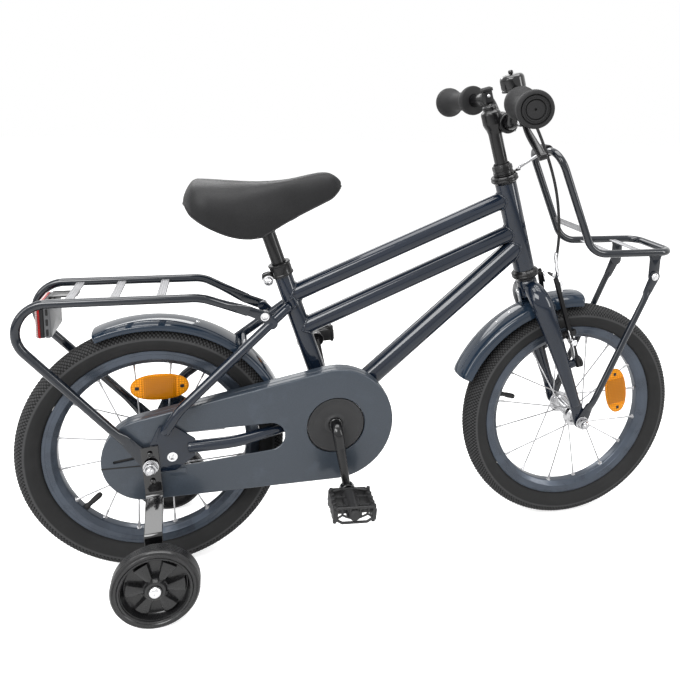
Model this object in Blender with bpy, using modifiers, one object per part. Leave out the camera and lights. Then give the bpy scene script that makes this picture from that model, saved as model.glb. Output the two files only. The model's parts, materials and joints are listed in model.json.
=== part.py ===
"""Kids bike with stabilisers, front and rear racks, full chain case and a front rim brake.

Metres, +Z up, +X forward, +Y to the rider's left. The floor is z = 0 and the origin lies under
the middle of the bike. Every piece is placed from the rear axle, the front axle, the bottom
bracket, the seat tube line or the steering line, which all follow from the sizes below.
"""
import math

import bmesh
import bpy
from mathutils import Matrix, Vector

# General sizes
GAP = 0.0003                    # clearance between pieces that touch
WHEELBASE = 0.714
TYRE_RADIUS = 0.200             # 16 inch wheel
TYRE_WIDTH = 0.046
TYRE_HEIGHT = 0.039             # tread to rim edge
RIM_WIDTH = 0.026
RIM_DEPTH = 0.021
RIM_WALL = 0.0025

# Frame geometry
BRACKET_SETBACK = 0.279         # rear axle to bottom bracket, level
BRACKET_RISE = 0.034            # bottom bracket above the axles
SEAT_ANGLE = math.radians(18.7)     # back from upright
SEAT_TUBE_LENGTH = 0.262
SEAT_TUBE_RADIUS = 0.0143
HEAD_ANGLE = math.radians(16.3)     # back from upright
FORK_OFFSET = 0.0236
CROWN_ABOVE_TYRE = 0.0674       # top of the fork crown above the tyre, along the steering line
HEAD_TUBE_LENGTH = 0.156
HEAD_TUBE_RADIUS = 0.018
TOP_TUBE_RADIUS = 0.0143
TOP_TUBE_SEAT = 0.2146          # where it meets the seat tube, from the bottom bracket
TOP_TUBE_DROP = 0.0266          # below the top of the head tube
MID_TUBE_SEAT = 0.156
MID_TUBE_DROP = 0.085
DOWN_TUBE_RADIUS = 0.0175
DOWN_TUBE_DROP = 0.110
TUBE_WALL = 0.0025
SHELL_RADIUS = 0.027            # bottom bracket shell
SHELL_LENGTH = 0.070
CHAINSTAY_RADIUS = 0.009
SEATSTAY_RADIUS = 0.0075
SEATSTAY_DROP = 0.060           # seat stay tops below the top of the seat tube
REAR_SPACING = 0.110            # between the dropout plates
DROPOUT_THICKNESS = 0.004
FRONT_SPACING = 0.099
FORK_END_THICKNESS = 0.005

# Headset, fork and stem
CUP_RADIUS = 0.0232
CUP_HEIGHT = 0.0135
RACE_RADIUS = 0.016
RACE_HEIGHT = 0.0045
STEERER_RADIUS = 0.0127
LOCKNUT_RADIUS = 0.017
LOCKNUT_HEIGHT = 0.0173
STAY_RING_THICKNESS = 0.002
QUILL_RADIUS = 0.0111
QUILL_DEPTH = 0.070             # of the stem in the steerer
STEM_RISE = 0.0934               # locknut to the top of the stem
STEM_HEAD_RADIUS = 0.0165
BAR_BELOW_STEM_TOP = 0.0294
BAR_REACH = 0.0212              # bar clamp ahead of the steering line
CROWN_RADIUS = 0.0175
BLADE_TOP_RADIUS = 0.0145
BLADE_END_RADIUS = 0.0092
BLADE_SPREAD = 0.0435           # blade centre to the middle plane beside the mudguard

# Handlebar and what is on it
BAR_RADIUS = 0.0111
BAR_HALF_WIDTH = 0.186
BAR_RISE = 0.038
BAR_SWEEP = 0.027
BAR_FLAT_START = 0.056          # where the raised part starts, from the middle
STEM_CLAMP_HALF = 0.018
GRIP_INNER = 0.098              # inner end of the grip, from the middle
GRIP_RADIUS = 0.0165
GRIP_FLANGE_RADIUS = 0.026
GRIP_OVERHANG = 0.007           # grip end past the bar end
BELL_RADIUS = 0.019
BELL_HEIGHT = 0.025
BELL_PLACE = 0.0728
LEVER_PLACE = 0.0882            # middle of the lever clamp
LEVER_PIVOT_DROP = 0.030
LEVER_REACH = 0.066             # pivot to tip, along the bar
LEVER_DROP = 0.045              # pivot to tip, below
BARREL_DROP = 0.0245            # cable barrel below the bar
BARREL_LENGTH = 0.016

# Front rack
RACK_TUBE_RADIUS = 0.0064
RACK_HALF_WIDTH = 0.056
FRONT_DECK_ABOVE_TYRE = 0.103
FRONT_DECK_BACK = -0.006        # deck bend, ahead of the front axle
FRONT_DECK_FRONT = 0.148
FRONT_RISER_RISE = 0.169
FRONT_RISER_LEAN = 0.072
FRONT_PLATE_AHEAD = 0.113
FRONT_PLATE_DROP = 0.041        # strut bolt below the deck
STRUT_RADIUS = 0.0055
BAR_STRIP_WIDTH = 0.013
BAR_STRIP_THICKNESS = 0.0025
STAY_ROD_RADIUS = 0.0026

# Rear rack
REAR_DECK_ABOVE_TYRE = 0.055
REAR_DECK_FRONT = 0.076         # ahead of the rear axle
REAR_DECK_CORNER = -0.2236      # where deck line and strut line would meet
REAR_RACK_BEND = 0.042
REAR_RACK_TAB_BACK = 0.0396     # rack bolt behind the top of the seat stay
REAR_RACK_TAB_DROP = 0.010
RACK_TAB_PLACE = 0.0285          # rack tab, from the middle of the bike
REFLECTOR_WIDTH = 0.076
REFLECTOR_HEIGHT = 0.050

# Mudguards
MUDGUARD_HALF_WIDTH = 0.0285
MUDGUARD_WALL = 0.0016
REAR_GUARD_ABOVE_TYRE = 0.0105
REAR_GUARD_DEPTH = 0.011        # how far the sides come down
REAR_GUARD_ANGLES = (22.0, 113.0)
FRONT_GUARD_ABOVE_TYRE = 0.0255
FRONT_GUARD_DEPTH = 0.0175
FRONT_GUARD_BACK = 0.009        # its centre behind and below the axle
FRONT_GUARD_BELOW = 0.004
FRONT_GUARD_ANGLES = (86.0, 157.0)

# Drive
CHAIN_LINE = 0.040
CHAINRING_TEETH = 28
SPROCKET_TEETH = 16
CHAIN_PITCH = 0.0127
CHAIN_WIDTH = 0.007
CHAIN_HEIGHT = 0.008
TOOTH_HEIGHT = 0.003
CRANK_LENGTH = 0.097
CRANK_RADIUS = 0.0085
CRANK_ANGLE = math.radians(-81.3)   # right arm, above level
PEDAL_PLACE = 0.084             # pedal eye from the middle plane
PEDAL_LENGTH = 0.066
PEDAL_WIDTH = 0.062
PEDAL_HEIGHT = 0.022
PEDAL_TILT = math.radians(4.0)
CASE_FRONT_RADIUS = 0.093
CASE_REAR_RADIUS = 0.0655
CASE_REAR_BACK = 0.006
CASE_REAR_RISE = 0.005
CASE_INNER = 0.0295             # open edge from the middle plane
CASE_WALL = 0.002
CASE_DISC_RADIUS = 0.045

# Brake
BRAKE_PIVOT_HEIGHT = 0.1094     # above the axle foot, along the steering line
BRAKE_PIVOT_SPREAD = 0.0485
BRAKE_ARM_AHEAD = 0.036         # rear face of the arms ahead of the steering line
BRAKE_ARM_THICKNESS = 0.008
BRAKE_ARM_LENGTH = 0.149
COASTER_ARM = 0.104             # hub brake's arm, axle to its clip
BRAKE_TOP_SPREAD = 0.033
PAD_CLEARANCE = 0.002
PAD_LENGTH = 0.050
PAD_THICKNESS = 0.010
CABLE_RADIUS = 0.0025

# Hubs and axles
FRONT_AXLE_RADIUS = 0.0045
REAR_AXLE_RADIUS = 0.005
FLANGE_RADIUS = 0.020
REAR_FLANGE_RADIUS = 0.028
FLANGE_SPREAD = 0.027
FRONT_VALVE_ANGLE = math.radians(163.5)
REAR_VALVE_ANGLE = math.radians(222.0)
SPOKES = 16
SPOKE_RADIUS = 0.0011
SPOKE_LEAN = math.radians(24.0)

# Stabilisers
STABILISER_RADIUS = 0.061
STABILISER_WIDTH = 0.0245
STABILISER_OUTER = 0.157        # outer face from the middle plane
STABILISER_AHEAD = 0.010        # wheel ahead of the axle, as the bracket leans
ARM_WIDTH = 0.025
ARM_THICKNESS = 0.003
ARM_EDGE = 0.008
ARM_PLATE_TOP = 0.030
ARM_KNEE_HEIGHT = -0.047        # start of the outward slope, from the axle
ARM_FOOT_HEIGHT = -0.077
ARM_FOOT_SPREAD = 0.120

# Saddle and post
POST_RADIUS = 0.0111
POST_INSERT = 0.075
POST_TOP = 0.325                # from the bottom bracket, along the seat tube
SADDLE_LENGTH = 0.238
SADDLE_WIDTH = 0.150
SADDLE_NOSE_WIDTH = 0.052
SADDLE_BACK = 0.124             # rear of the saddle behind the post top
SADDLE_HEIGHT = 0.076           # saddle top at the rear above the post top
SADDLE_WALL = 0.008
CLAMP_RADIUS = 0.0178
CLAMP_HEIGHT = 0.021

# Places that follow from the sizes
REAR = Vector((-WHEELBASE / 2, 0, TYRE_RADIUS))
FRONT = Vector((WHEELBASE / 2, 0, TYRE_RADIUS))
BRACKET = REAR + Vector((BRACKET_SETBACK, 0, BRACKET_RISE))
SEAT_UP = Vector((-math.sin(SEAT_ANGLE), 0, math.cos(SEAT_ANGLE)))
SEAT_AHEAD = Vector((math.cos(SEAT_ANGLE), 0, math.sin(SEAT_ANGLE)))
STEER_UP = Vector((-math.sin(HEAD_ANGLE), 0, math.cos(HEAD_ANGLE)))
STEER_AHEAD = Vector((math.cos(HEAD_ANGLE), 0, math.sin(HEAD_ANGLE)))
LEFT = Vector((0, 1, 0))
STEER_FOOT = FRONT - FORK_OFFSET * STEER_AHEAD
CROWN_TOP = TYRE_RADIUS + CROWN_ABOVE_TYRE
HEAD_BOTTOM = CROWN_TOP + RACE_HEIGHT + GAP + CUP_HEIGHT
HEAD_TOP = HEAD_BOTTOM + HEAD_TUBE_LENGTH
STACK_BOTTOM = HEAD_TOP + CUP_HEIGHT + GAP
LOCKNUT_BOTTOM = STACK_BOTTOM + STAY_RING_THICKNESS + GAP
LOCKNUT_TOP = LOCKNUT_BOTTOM + LOCKNUT_HEIGHT
STEM_TOP = LOCKNUT_TOP + STEM_RISE
BAR_LEVEL = STEM_TOP - BAR_BELOW_STEM_TOP
RIM_RADIUS = TYRE_RADIUS - TYRE_HEIGHT
RIM_INNER = RIM_RADIUS - RIM_DEPTH
REAR_GUARD_RADIUS = TYRE_RADIUS + REAR_GUARD_ABOVE_TYRE
FRONT_GUARD_RADIUS = TYRE_RADIUS + FRONT_GUARD_ABOVE_TYRE
REAR_DECK = TYRE_RADIUS + REAR_DECK_ABOVE_TYRE
FRONT_DECK = TYRE_RADIUS + FRONT_DECK_ABOVE_TYRE
CHAINRING_RADIUS = CHAIN_PITCH / 2 / math.sin(math.pi / CHAINRING_TEETH)
SPROCKET_RADIUS = CHAIN_PITCH / 2 / math.sin(math.pi / SPROCKET_TEETH)
CASE_OUTER = REAR_SPACING / 2 - 0.0005
DROPOUT_OUTER = REAR_SPACING / 2 + DROPOUT_THICKNESS
FOOT_THICKNESS = 0.003
ARM_PLATE = DROPOUT_OUTER + GAP + FOOT_THICKNESS + GAP
REAR_NUT = ARM_PLATE + ARM_THICKNESS + GAP
FORK_END_OUTER = FRONT_SPACING / 2 + FORK_END_THICKNESS
FRONT_NUT = FORK_END_OUTER + GAP + FOOT_THICKNESS + GAP

PARTS = "kids_bike"
CUTTERS = "kids_bike_cutters"

PAINT = (0.040, 0.055, 0.075)
BLACK = (0.018, 0.018, 0.020)
CHROME = (0.72, 0.72, 0.74)


def clear_scene():
    for obj in list(bpy.data.objects):
        bpy.data.objects.remove(obj, do_unlink=True)
    for name in (PARTS, CUTTERS):
        bpy.context.scene.collection.children.link(bpy.data.collections.new(name))


def principled(name, colour, roughness, metallic):
    mat = bpy.data.materials.new(name)
    mat.use_nodes = True
    shader = mat.node_tree.nodes["Principled BSDF"]
    shader.inputs["Base Color"].default_value = (*colour, 1.0)
    shader.inputs["Roughness"].default_value = roughness
    shader.inputs["Metallic"].default_value = metallic
    mat.diffuse_color = (*colour, 1.0)
    return mat


def link_to(obj, collection):
    for old in list(obj.users_collection):
        old.objects.unlink(obj)
    bpy.data.collections[collection].objects.link(obj)


def keep(obj, name, colour, roughness=0.4, metallic=0.0, angle=35.0):
    """Name a finished piece, give it its material and shade its round faces smooth."""
    obj.name = name
    obj.data.materials.clear()
    obj.data.materials.append(principled(name, colour, roughness, metallic))
    obj.data.shade_smooth()
    obj.data.set_sharp_from_angle(angle=math.radians(angle))
    link_to(obj, PARTS)
    return obj


def helper(obj):
    """Hide a cutter or a joined shape that only another piece uses."""
    obj.hide_render = True
    obj.display_type = "WIRE"
    link_to(obj, CUTTERS)


def combine(obj, other, operation):
    modifier = obj.modifiers.new(operation.lower(), "BOOLEAN")
    modifier.operation = operation
    modifier.solver = "EXACT"
    modifier.object = other
    helper(other)
    return obj


def cut(obj, *others):
    for other in others:
        combine(obj, other, "DIFFERENCE")
    return obj


def join(obj, *others):
    for other in others:
        combine(obj, other, "UNION")
    return obj


def mesh_object(name, verts, edges=(), faces=()):
    mesh = bpy.data.meshes.new(name)
    mesh.from_pydata([tuple(v) for v in verts], list(edges), list(faces))
    obj = bpy.data.objects.new(name, mesh)
    link_to(obj, PARTS)
    return obj


def facing(axis, centre):
    """Matrix that turns local Z to the axis and moves the origin to the centre."""
    return Matrix.Translation(centre) @ axis.to_track_quat("Z", "Y").to_matrix().to_4x4()


def upright(ahead, up, centre):
    """Matrix whose local X is ahead, local Y is up and local Z is their cross product."""
    turn = Matrix((ahead, up, ahead.cross(up))).transposed().to_4x4()
    return Matrix.Translation(centre) @ turn


def rod(start, end, radius, sides=16, end_radius=None):
    """Round bar between two points."""
    mesh = bpy.data.meshes.new("rod")
    bm = bmesh.new()
    bmesh.ops.create_cone(bm, cap_ends=True, segments=sides, radius1=radius,
                          radius2=radius if end_radius is None else end_radius,
                          depth=(end - start).length)
    bm.to_mesh(mesh)
    bm.free()
    obj = bpy.data.objects.new("rod", mesh)
    link_to(obj, PARTS)
    obj.matrix_world = facing((end - start).normalized(), (start + end) / 2)
    return obj


def block(size, matrix):
    """Box of the given size, its middle at the matrix."""
    mesh = bpy.data.meshes.new("block")
    bm = bmesh.new()
    bmesh.ops.create_cube(bm, size=1.0, matrix=Matrix.Diagonal((*size, 1.0)))
    bm.to_mesh(mesh)
    bm.free()
    obj = bpy.data.objects.new("block", mesh)
    link_to(obj, PARTS)
    obj.matrix_world = matrix
    return obj


def bevel(obj, width, segments=1):
    modifier = obj.modifiers.new("bevel", "BEVEL")
    modifier.width = width
    modifier.segments = segments
    modifier.limit_method = "ANGLE"
    return obj


def turned(profile, matrix, steps=32, ring=False, sweep=360.0):
    """Turned solid from (radius, height) points that run down the outer side.

    A ring profile is closed; a partial sweep gives an open sheet.
    """
    edges = [(i, i + 1) for i in range(len(profile) - 1)]
    if ring:
        edges.append((len(profile) - 1, 0))
    obj = mesh_object("turned", [(r, 0, h) for r, h in profile], edges)
    screw = obj.modifiers.new("screw", "SCREW")
    screw.axis = "Z"
    screw.angle = math.radians(sweep)
    screw.steps = steps
    screw.render_steps = steps
    screw.use_merge_vertices = sweep == 360.0
    screw.merge_threshold = 0.00001
    obj.matrix_world = matrix
    return obj


def pipe(points, radius, scales=None, resolution=2, cyclic=False):
    """Bent tube along points, made a mesh with welded caps."""
    data = bpy.data.curves.new("pipe", "CURVE")
    data.dimensions = "3D"
    data.bevel_depth = radius
    data.bevel_resolution = resolution
    data.use_fill_caps = not cyclic
    spline = data.splines.new("POLY")
    spline.points.add(len(points) - 1)
    spline.use_cyclic_u = cyclic
    for index, point in enumerate(points):
        spline.points[index].co = (*point, 1.0)
        spline.points[index].radius = 1.0 if scales is None else scales[index]
    obj = bpy.data.objects.new("pipe", data)
    link_to(obj, PARTS)
    return as_mesh(obj)


def slab(outlines, thickness, matrix):
    """Flat plate from closed outlines, the first the edge and the rest its holes."""
    data = bpy.data.curves.new("slab", "CURVE")
    data.dimensions = "2D"
    data.fill_mode = "BOTH"
    data.extrude = thickness / 2
    for outline in outlines:
        spline = data.splines.new("POLY")
        spline.points.add(len(outline) - 1)
        spline.use_cyclic_u = True
        for index, (x, y) in enumerate(outline):
            spline.points[index].co = (x, y, 0, 1.0)
    obj = bpy.data.objects.new("slab", data)
    link_to(obj, PARTS)
    obj.matrix_world = matrix
    return as_mesh(obj)


def as_mesh(obj):
    """Replace a curve object by its mesh, with its caps welded on."""
    bpy.context.view_layer.update()
    graph = bpy.context.evaluated_depsgraph_get()
    mesh = bpy.data.meshes.new_from_object(obj.evaluated_get(graph))
    bm = bmesh.new()
    bm.from_mesh(mesh)
    bmesh.ops.remove_doubles(bm, verts=bm.verts, dist=0.00001)
    bmesh.ops.recalc_face_normals(bm, faces=bm.faces)
    bm.to_mesh(mesh)
    bm.free()
    result = bpy.data.objects.new(obj.name, mesh)
    link_to(result, PARTS)
    result.matrix_world = obj.matrix_world.copy()
    bpy.data.objects.remove(obj, do_unlink=True)
    return result


def loft(rings):
    """Closed solid through rings of equally many points, capped at both ends."""
    count = len(rings[0])
    faces = [tuple(range(count)), tuple(range(len(rings) * count - count, len(rings) * count))]
    for ring in range(len(rings) - 1):
        for index in range(count):
            after = (index + 1) % count
            low = ring * count
            faces.append((low + index, low + after, low + count + after, low + count + index))
    obj = mesh_object("loft", [v for ring in rings for v in ring], faces=faces)
    bm = bmesh.new()
    bm.from_mesh(obj.data)
    bmesh.ops.recalc_face_normals(bm, faces=bm.faces)
    bm.to_mesh(obj.data)
    bm.free()
    return obj


def rounded_path(corners, radii, step=15.0, cyclic=False):
    """Points of a path through corners, each corner an arc of its bend radius."""
    points = []
    count = len(corners)
    for index, corner in enumerate(corners):
        radius = radii[index]
        if radius == 0 or (not cyclic and index in (0, count - 1)):
            points.append(corner.copy())
            continue
        back = (corners[index - 1] - corner).normalized()
        ahead = (corners[(index + 1) % count] - corner).normalized()
        turn = math.pi - back.angle(ahead)
        reach = radius * math.tan(turn / 2)
        inward = (back + ahead).normalized()
        centre = corner + inward * (radius / math.cos(turn / 2))
        start = corner + back * reach - centre
        spin = back.cross(ahead).normalized()
        pieces = max(2, round(math.degrees(turn) / step))
        for piece in range(pieces + 1):
            angle = -turn * piece / pieces
            points.append(centre + Matrix.Rotation(angle, 3, spin) @ start)
    return points


def smooth_route(points, pieces):
    """Smooth curve through points, with each span cut in the given number of pieces."""
    route = []
    last = len(points) - 1
    for index in range(last):
        before = points[max(index - 1, 0)]
        start = points[index]
        end = points[index + 1]
        after = points[min(index + 2, last)]
        for piece in range(pieces):
            t = piece / pieces
            route.append(0.5 * (2 * start + (end - before) * t
                                + (2 * before - 5 * start + 4 * end - after) * t ** 2
                                + (3 * start - before - 3 * end + after) * t ** 3))
    route.append(points[-1])
    return route


def smooth_taper(route, pieces):
    """Smooth points through (point, scale) pairs, and the scale at each point."""
    points = smooth_route([point for point, _ in route], pieces)
    scales = []
    for index in range(len(points)):
        low = min(index // pieces, len(route) - 2)
        share = index / pieces - low
        scales.append(route[low][1] * (1 - share) + route[low + 1][1] * share)
    return points, scales


def arc(centre, radius, start, end, pieces):
    """Points of a flat arc, angles in degrees."""
    angles = [math.radians(start + (end - start) * i / pieces) for i in range(pieces + 1)]
    return [(centre[0] + radius * math.cos(a), centre[1] + radius * math.sin(a)) for a in angles]


def circle(centre, radius, pieces=16):
    return arc(centre, radius, 0, 360 * (pieces - 1) / pieces, pieces - 1)


def capsule(start, end, start_radius, end_radius, pieces=8):
    """Outline of two round ends and the straight sides that touch both."""
    along = math.degrees(math.atan2(end[1] - start[1], end[0] - start[0]))
    length = math.hypot(end[0] - start[0], end[1] - start[1])
    lean = math.degrees(math.acos((start_radius - end_radius) / length))
    return (arc(end, end_radius, along - lean, along + lean, pieces)
            + arc(start, start_radius, along + lean, along + 360 - lean, pieces))


def side_view(base, place):
    """Matrix of a plate in the XZ plane, its middle at the given y."""
    return upright(Vector((1, 0, 0)), Vector((0, 0, 1)), Vector((base.x, place, base.z)))


def steer(up, ahead=0.0, left=0.0):
    """Point by its height along the steering line, its reach ahead of it and its side."""
    return STEER_FOOT + STEER_UP * up + STEER_AHEAD * ahead + LEFT * left


def seat(up, ahead=0.0, left=0.0):
    """Point by its distance from the bottom bracket along the seat tube."""
    return BRACKET + SEAT_UP * up + SEAT_AHEAD * ahead + LEFT * left


def hollow_tube(start, end, radius, wall=TUBE_WALL, sides=20):
    length = (end - start).length
    profile = [(radius, length), (radius, 0), (radius - wall, 0), (radius - wall, length)]
    return turned(profile, facing((end - start).normalized(), start), sides, ring=True)


def build_frame():
    head_low = steer(HEAD_BOTTOM)
    head_high = steer(HEAD_TOP)
    seat_top = seat(SEAT_TUBE_LENGTH)
    top_ends = (seat(TOP_TUBE_SEAT), steer(HEAD_TOP - TOP_TUBE_DROP))
    mid_ends = (seat(MID_TUBE_SEAT), steer(HEAD_TOP - MID_TUBE_DROP))
    down_high = steer(HEAD_TOP - DOWN_TUBE_DROP)
    down_ends = (BRACKET.lerp(down_high, 0.04), down_high)

    def head_cutter():
        return rod(head_low, head_high, HEAD_TUBE_RADIUS + GAP, 24)

    def seat_cutter():
        return rod(seat(-0.012), seat_top + SEAT_UP * 0.01, SEAT_TUBE_RADIUS + GAP, 24)

    def shell_cutter():
        return rod(BRACKET - LEFT * SHELL_LENGTH, BRACKET + LEFT * SHELL_LENGTH,
                   SHELL_RADIUS + GAP, 24)

    head = HEAD_TUBE_LENGTH
    bore = STEERER_RADIUS + 0.0012
    lip = 0.004
    head_profile = [(HEAD_TUBE_RADIUS, head), (HEAD_TUBE_RADIUS, 0), (CUP_RADIUS - 0.002, 0),
                    (CUP_RADIUS, -lip), (CUP_RADIUS, -CUP_HEIGHT + lip),
                    (CUP_RADIUS - 0.002, -CUP_HEIGHT), (bore, -CUP_HEIGHT), (bore, head)]
    keep(turned(head_profile, facing(STEER_UP, head_low), 20, ring=True),
         "head_tube", PAINT, 0.3)
    cup_profile = [(HEAD_TUBE_RADIUS, CUP_HEIGHT), (CUP_RADIUS, CUP_HEIGHT - lip),
                   (CUP_RADIUS, lip), (HEAD_TUBE_RADIUS + 0.001, GAP), (bore, GAP),
                   (bore, CUP_HEIGHT)]
    keep(turned(cup_profile, facing(STEER_UP, head_high), 20, ring=True),
         "upper_headset_cup", BLACK, 0.35, 0.6)

    top = hollow_tube(*top_ends, TOP_TUBE_RADIUS)
    keep(cut(top, head_cutter(), seat_cutter()), "top_tube", PAINT, 0.3)
    mid = hollow_tube(*mid_ends, TOP_TUBE_RADIUS)
    keep(cut(mid, head_cutter(), seat_cutter()), "mid_tube", PAINT, 0.3)
    down = hollow_tube(*down_ends, DOWN_TUBE_RADIUS)
    mid_cutter = rod(mid_ends[0], mid_ends[1] + (mid_ends[1] - mid_ends[0]) * 0.1,
                     TOP_TUBE_RADIUS + GAP, 20)
    short_seat = rod(seat(-0.012), seat(0.060), SEAT_TUBE_RADIUS + GAP, 22)
    keep(cut(down, short_seat, shell_cutter(), head_cutter(), mid_cutter), "down_tube", PAINT, 0.3)

    post_bore = POST_RADIUS + GAP
    tube = turned([(SEAT_TUBE_RADIUS, SEAT_TUBE_LENGTH), (SEAT_TUBE_RADIUS, 0),
                   (post_bore, 0), (post_bore, SEAT_TUBE_LENGTH)],
                  facing(SEAT_UP, BRACKET), 20, ring=True)
    half = SHELL_LENGTH / 2
    shell_bore = CRANK_RADIUS + 0.004
    shell_core = rod(BRACKET - LEFT * SHELL_LENGTH, BRACKET + LEFT * SHELL_LENGTH, shell_bore, 20)
    shell = rod(BRACKET - LEFT * half, BRACKET + LEFT * half, SHELL_RADIUS, 24)
    keep(cut(join(tube, shell), shell_core), "seat_tube", PAINT, 0.3)

    for side, name in ((1, "left"), (-1, "right")):
        build_rear_triangle(side, name, shell_cutter(), seat_cutter())


def chainstay_route(side):
    """Chain stay with its thickness: outside the case, in through its slot and to the shell."""
    outside = REAR_SPACING / 2 + 0.002
    wheel_side = TYRE_WIDTH / 2 + 0.0115
    ring_side = CHAIN_LINE - 0.0125
    span = BRACKET_SETBACK - 0.009
    places = ((0.054, -0.012, outside, 1.0), (0.120, -0.0095, outside, 1.0),
              (0.160, -0.007, outside - 0.0095, 0.95), (0.197, -0.005, wheel_side, 0.88),
              (0.2215, -0.003, ring_side, 0.88), (span, 0.0, ring_side - 0.0025, 0.95))
    return [(Vector((REAR.x + x, side * y, BRACKET.z + rise)), scale) for x, rise, y, scale in places]


def build_rear_triangle(side, name, shell_cutter, seat_cutter):
    plate_middle = side * (REAR_SPACING / 2 + DROPOUT_THICKNESS / 2)
    reach = CHAINSTAY_RADIUS + 0.004
    nose = (0.058, BRACKET_RISE - 0.012)
    outline = (arc((0, 0), 0.015, 150, 290, 6)
               + [(0.036, -0.013), (nose[0] + 0.006, nose[1] - reach), (nose[0] + 0.006, nose[1] + reach)]
               + [(0.034, 0.058), (0.012, 0.060)])
    hole = circle((0, 0), REAR_AXLE_RADIUS + 0.0004, 12)
    plate = slab([outline, hole], DROPOUT_THICKNESS, side_view(REAR, plate_middle))
    route = chainstay_route(side)
    points, scales = smooth_taper(route, 2)
    stay = pipe(points, CHAINSTAY_RADIUS, scales)
    cut(stay, shell_cutter)
    keep(join(stay, plate), "chainstay_" + name, PAINT, 0.3)

    foot = REAR + Vector((0.020, side * (DROPOUT_OUTER + SEATSTAY_RADIUS + GAP), 0.052))
    lower = foot + Vector((0.022, 0, 0.034))
    upper = seat(SEAT_TUBE_LENGTH - SEATSTAY_DROP, -0.006, side * 0.0135)
    route = rounded_path([foot, lower, upper], [0, 0.05, 0], 10)
    wishbone = pipe(route, SEATSTAY_RADIUS)
    cut(wishbone, seat_cutter)
    join(wishbone, *seatstay_tabs(side, lower, upper))
    if side > 0:
        join(wishbone, seatstay_bridge(lower, upper))
    keep(wishbone, "seatstay_" + name, PAINT, 0.3)


def rack_bolt_place(side):
    """Centre of the bolt that holds the rack to the tab on the seat stay."""
    upper = seat(SEAT_TUBE_LENGTH - SEATSTAY_DROP, -0.006, 0)
    return Vector((upper.x - REAR_RACK_TAB_BACK, side * RACK_TAB_PLACE, upper.z - REAR_RACK_TAB_DROP))


def seatstay_tabs(side, lower, upper):
    """Tab for the rack bolt near the top of the stay."""
    bolt = rack_bolt_place(side)
    along = upper - lower
    along.y = 0
    share = (bolt - lower).dot(along) / along.dot(along)
    on_stay = lower.lerp(upper, share)
    outline = capsule((on_stay.x - bolt.x, on_stay.z - bolt.z), (0, 0), 0.009, 0.007, 5)
    middle = (abs(on_stay.y) + RACK_TAB_PLACE) / 2
    thickness = abs(RACK_TAB_PLACE - abs(on_stay.y)) + 0.003
    return [slab([outline], thickness, side_view(bolt, side * middle))]


def seatstay_bridge(lower, upper):
    """Bar from the left stay to the right one, just above the mudguard that hangs on it."""
    radius = 0.0045
    wanted = REAR_GUARD_RADIUS + MUDGUARD_WALL / 2 + GAP + radius
    share = 0.5
    for _ in range(30):
        spot = lower.lerp(upper, share)
        reach = math.hypot(spot.x - REAR.x, spot.z - REAR.z)
        share += (wanted - reach) / (upper - lower).length
    spot = lower.lerp(upper, share)
    far_end = Vector((spot.x, SEATSTAY_RADIUS + 0.0024 - spot.y, spot.z))
    return rod(spot, far_end, radius, 10)


def build_seat_clamp():
    base = SEAT_TUBE_LENGTH + 0.009 - CLAMP_HEIGHT
    low = base
    inner_low = SEAT_TUBE_RADIUS + GAP
    inner_high = POST_RADIUS + GAP
    step = SEAT_TUBE_LENGTH + GAP - base
    profile = [(CLAMP_RADIUS, CLAMP_HEIGHT), (CLAMP_RADIUS, 0), (inner_low, 0), (inner_low, step),
               (inner_high, step), (inner_high, CLAMP_HEIGHT)]
    ring = turned(profile, facing(SEAT_UP, seat(low)), 16, ring=True)
    ear_length = 0.017
    ear_height = 0.017
    ear_up = low + 0.0035
    ear_middle = seat(ear_up, -(SEAT_TUBE_RADIUS + 0.0015 + ear_length / 2))
    ears = bevel(block((ear_length, ear_height, 0.014), upright(SEAT_AHEAD, SEAT_UP, ear_middle)), 0.004)
    slit_middle = seat(ear_up, -(CLAMP_RADIUS + ear_length / 2))
    slit = block((ear_length * 1.7, CLAMP_HEIGHT * 2.4, 0.003), upright(SEAT_AHEAD, SEAT_UP, slit_middle))
    bolt_middle = seat(low, -(SEAT_TUBE_RADIUS + 0.010))
    bolt = rod(bolt_middle - LEFT * 0.012, bolt_middle + LEFT * 0.012, 0.003, 8)
    head = rod(bolt_middle - LEFT * 0.0135, bolt_middle - LEFT * 0.006, 0.0055, 10)
    keep(join(cut(join(ring, ears), slit), bolt, head), "seat_clamp", BLACK, 0.35, 0.5)


def build_fork():
    crown_low = CROWN_TOP - 0.030
    bore = QUILL_RADIUS + GAP
    steerer_top = LOCKNUT_TOP - 0.002
    bore_low = LOCKNUT_TOP - QUILL_DEPTH - 0.010
    profile = [(bore, steerer_top), (STEERER_RADIUS, steerer_top),
               (STEERER_RADIUS, CROWN_TOP + RACE_HEIGHT),
               (RACE_RADIUS, CROWN_TOP + RACE_HEIGHT), (RACE_RADIUS, CROWN_TOP),
               (CROWN_RADIUS, CROWN_TOP - 0.002), (CROWN_RADIUS, crown_low), (0, crown_low - 0.001)]
    steerer = turned([(0, bore_low), (bore, bore_low)] + profile, facing(STEER_UP, STEER_FOOT), 16)
    fork = steerer
    for side in (1, -1):
        join(fork, fork_blade(side), fork_end(side), brake_boss(side))
    keep(fork, "fork", PAINT, 0.3)


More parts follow.
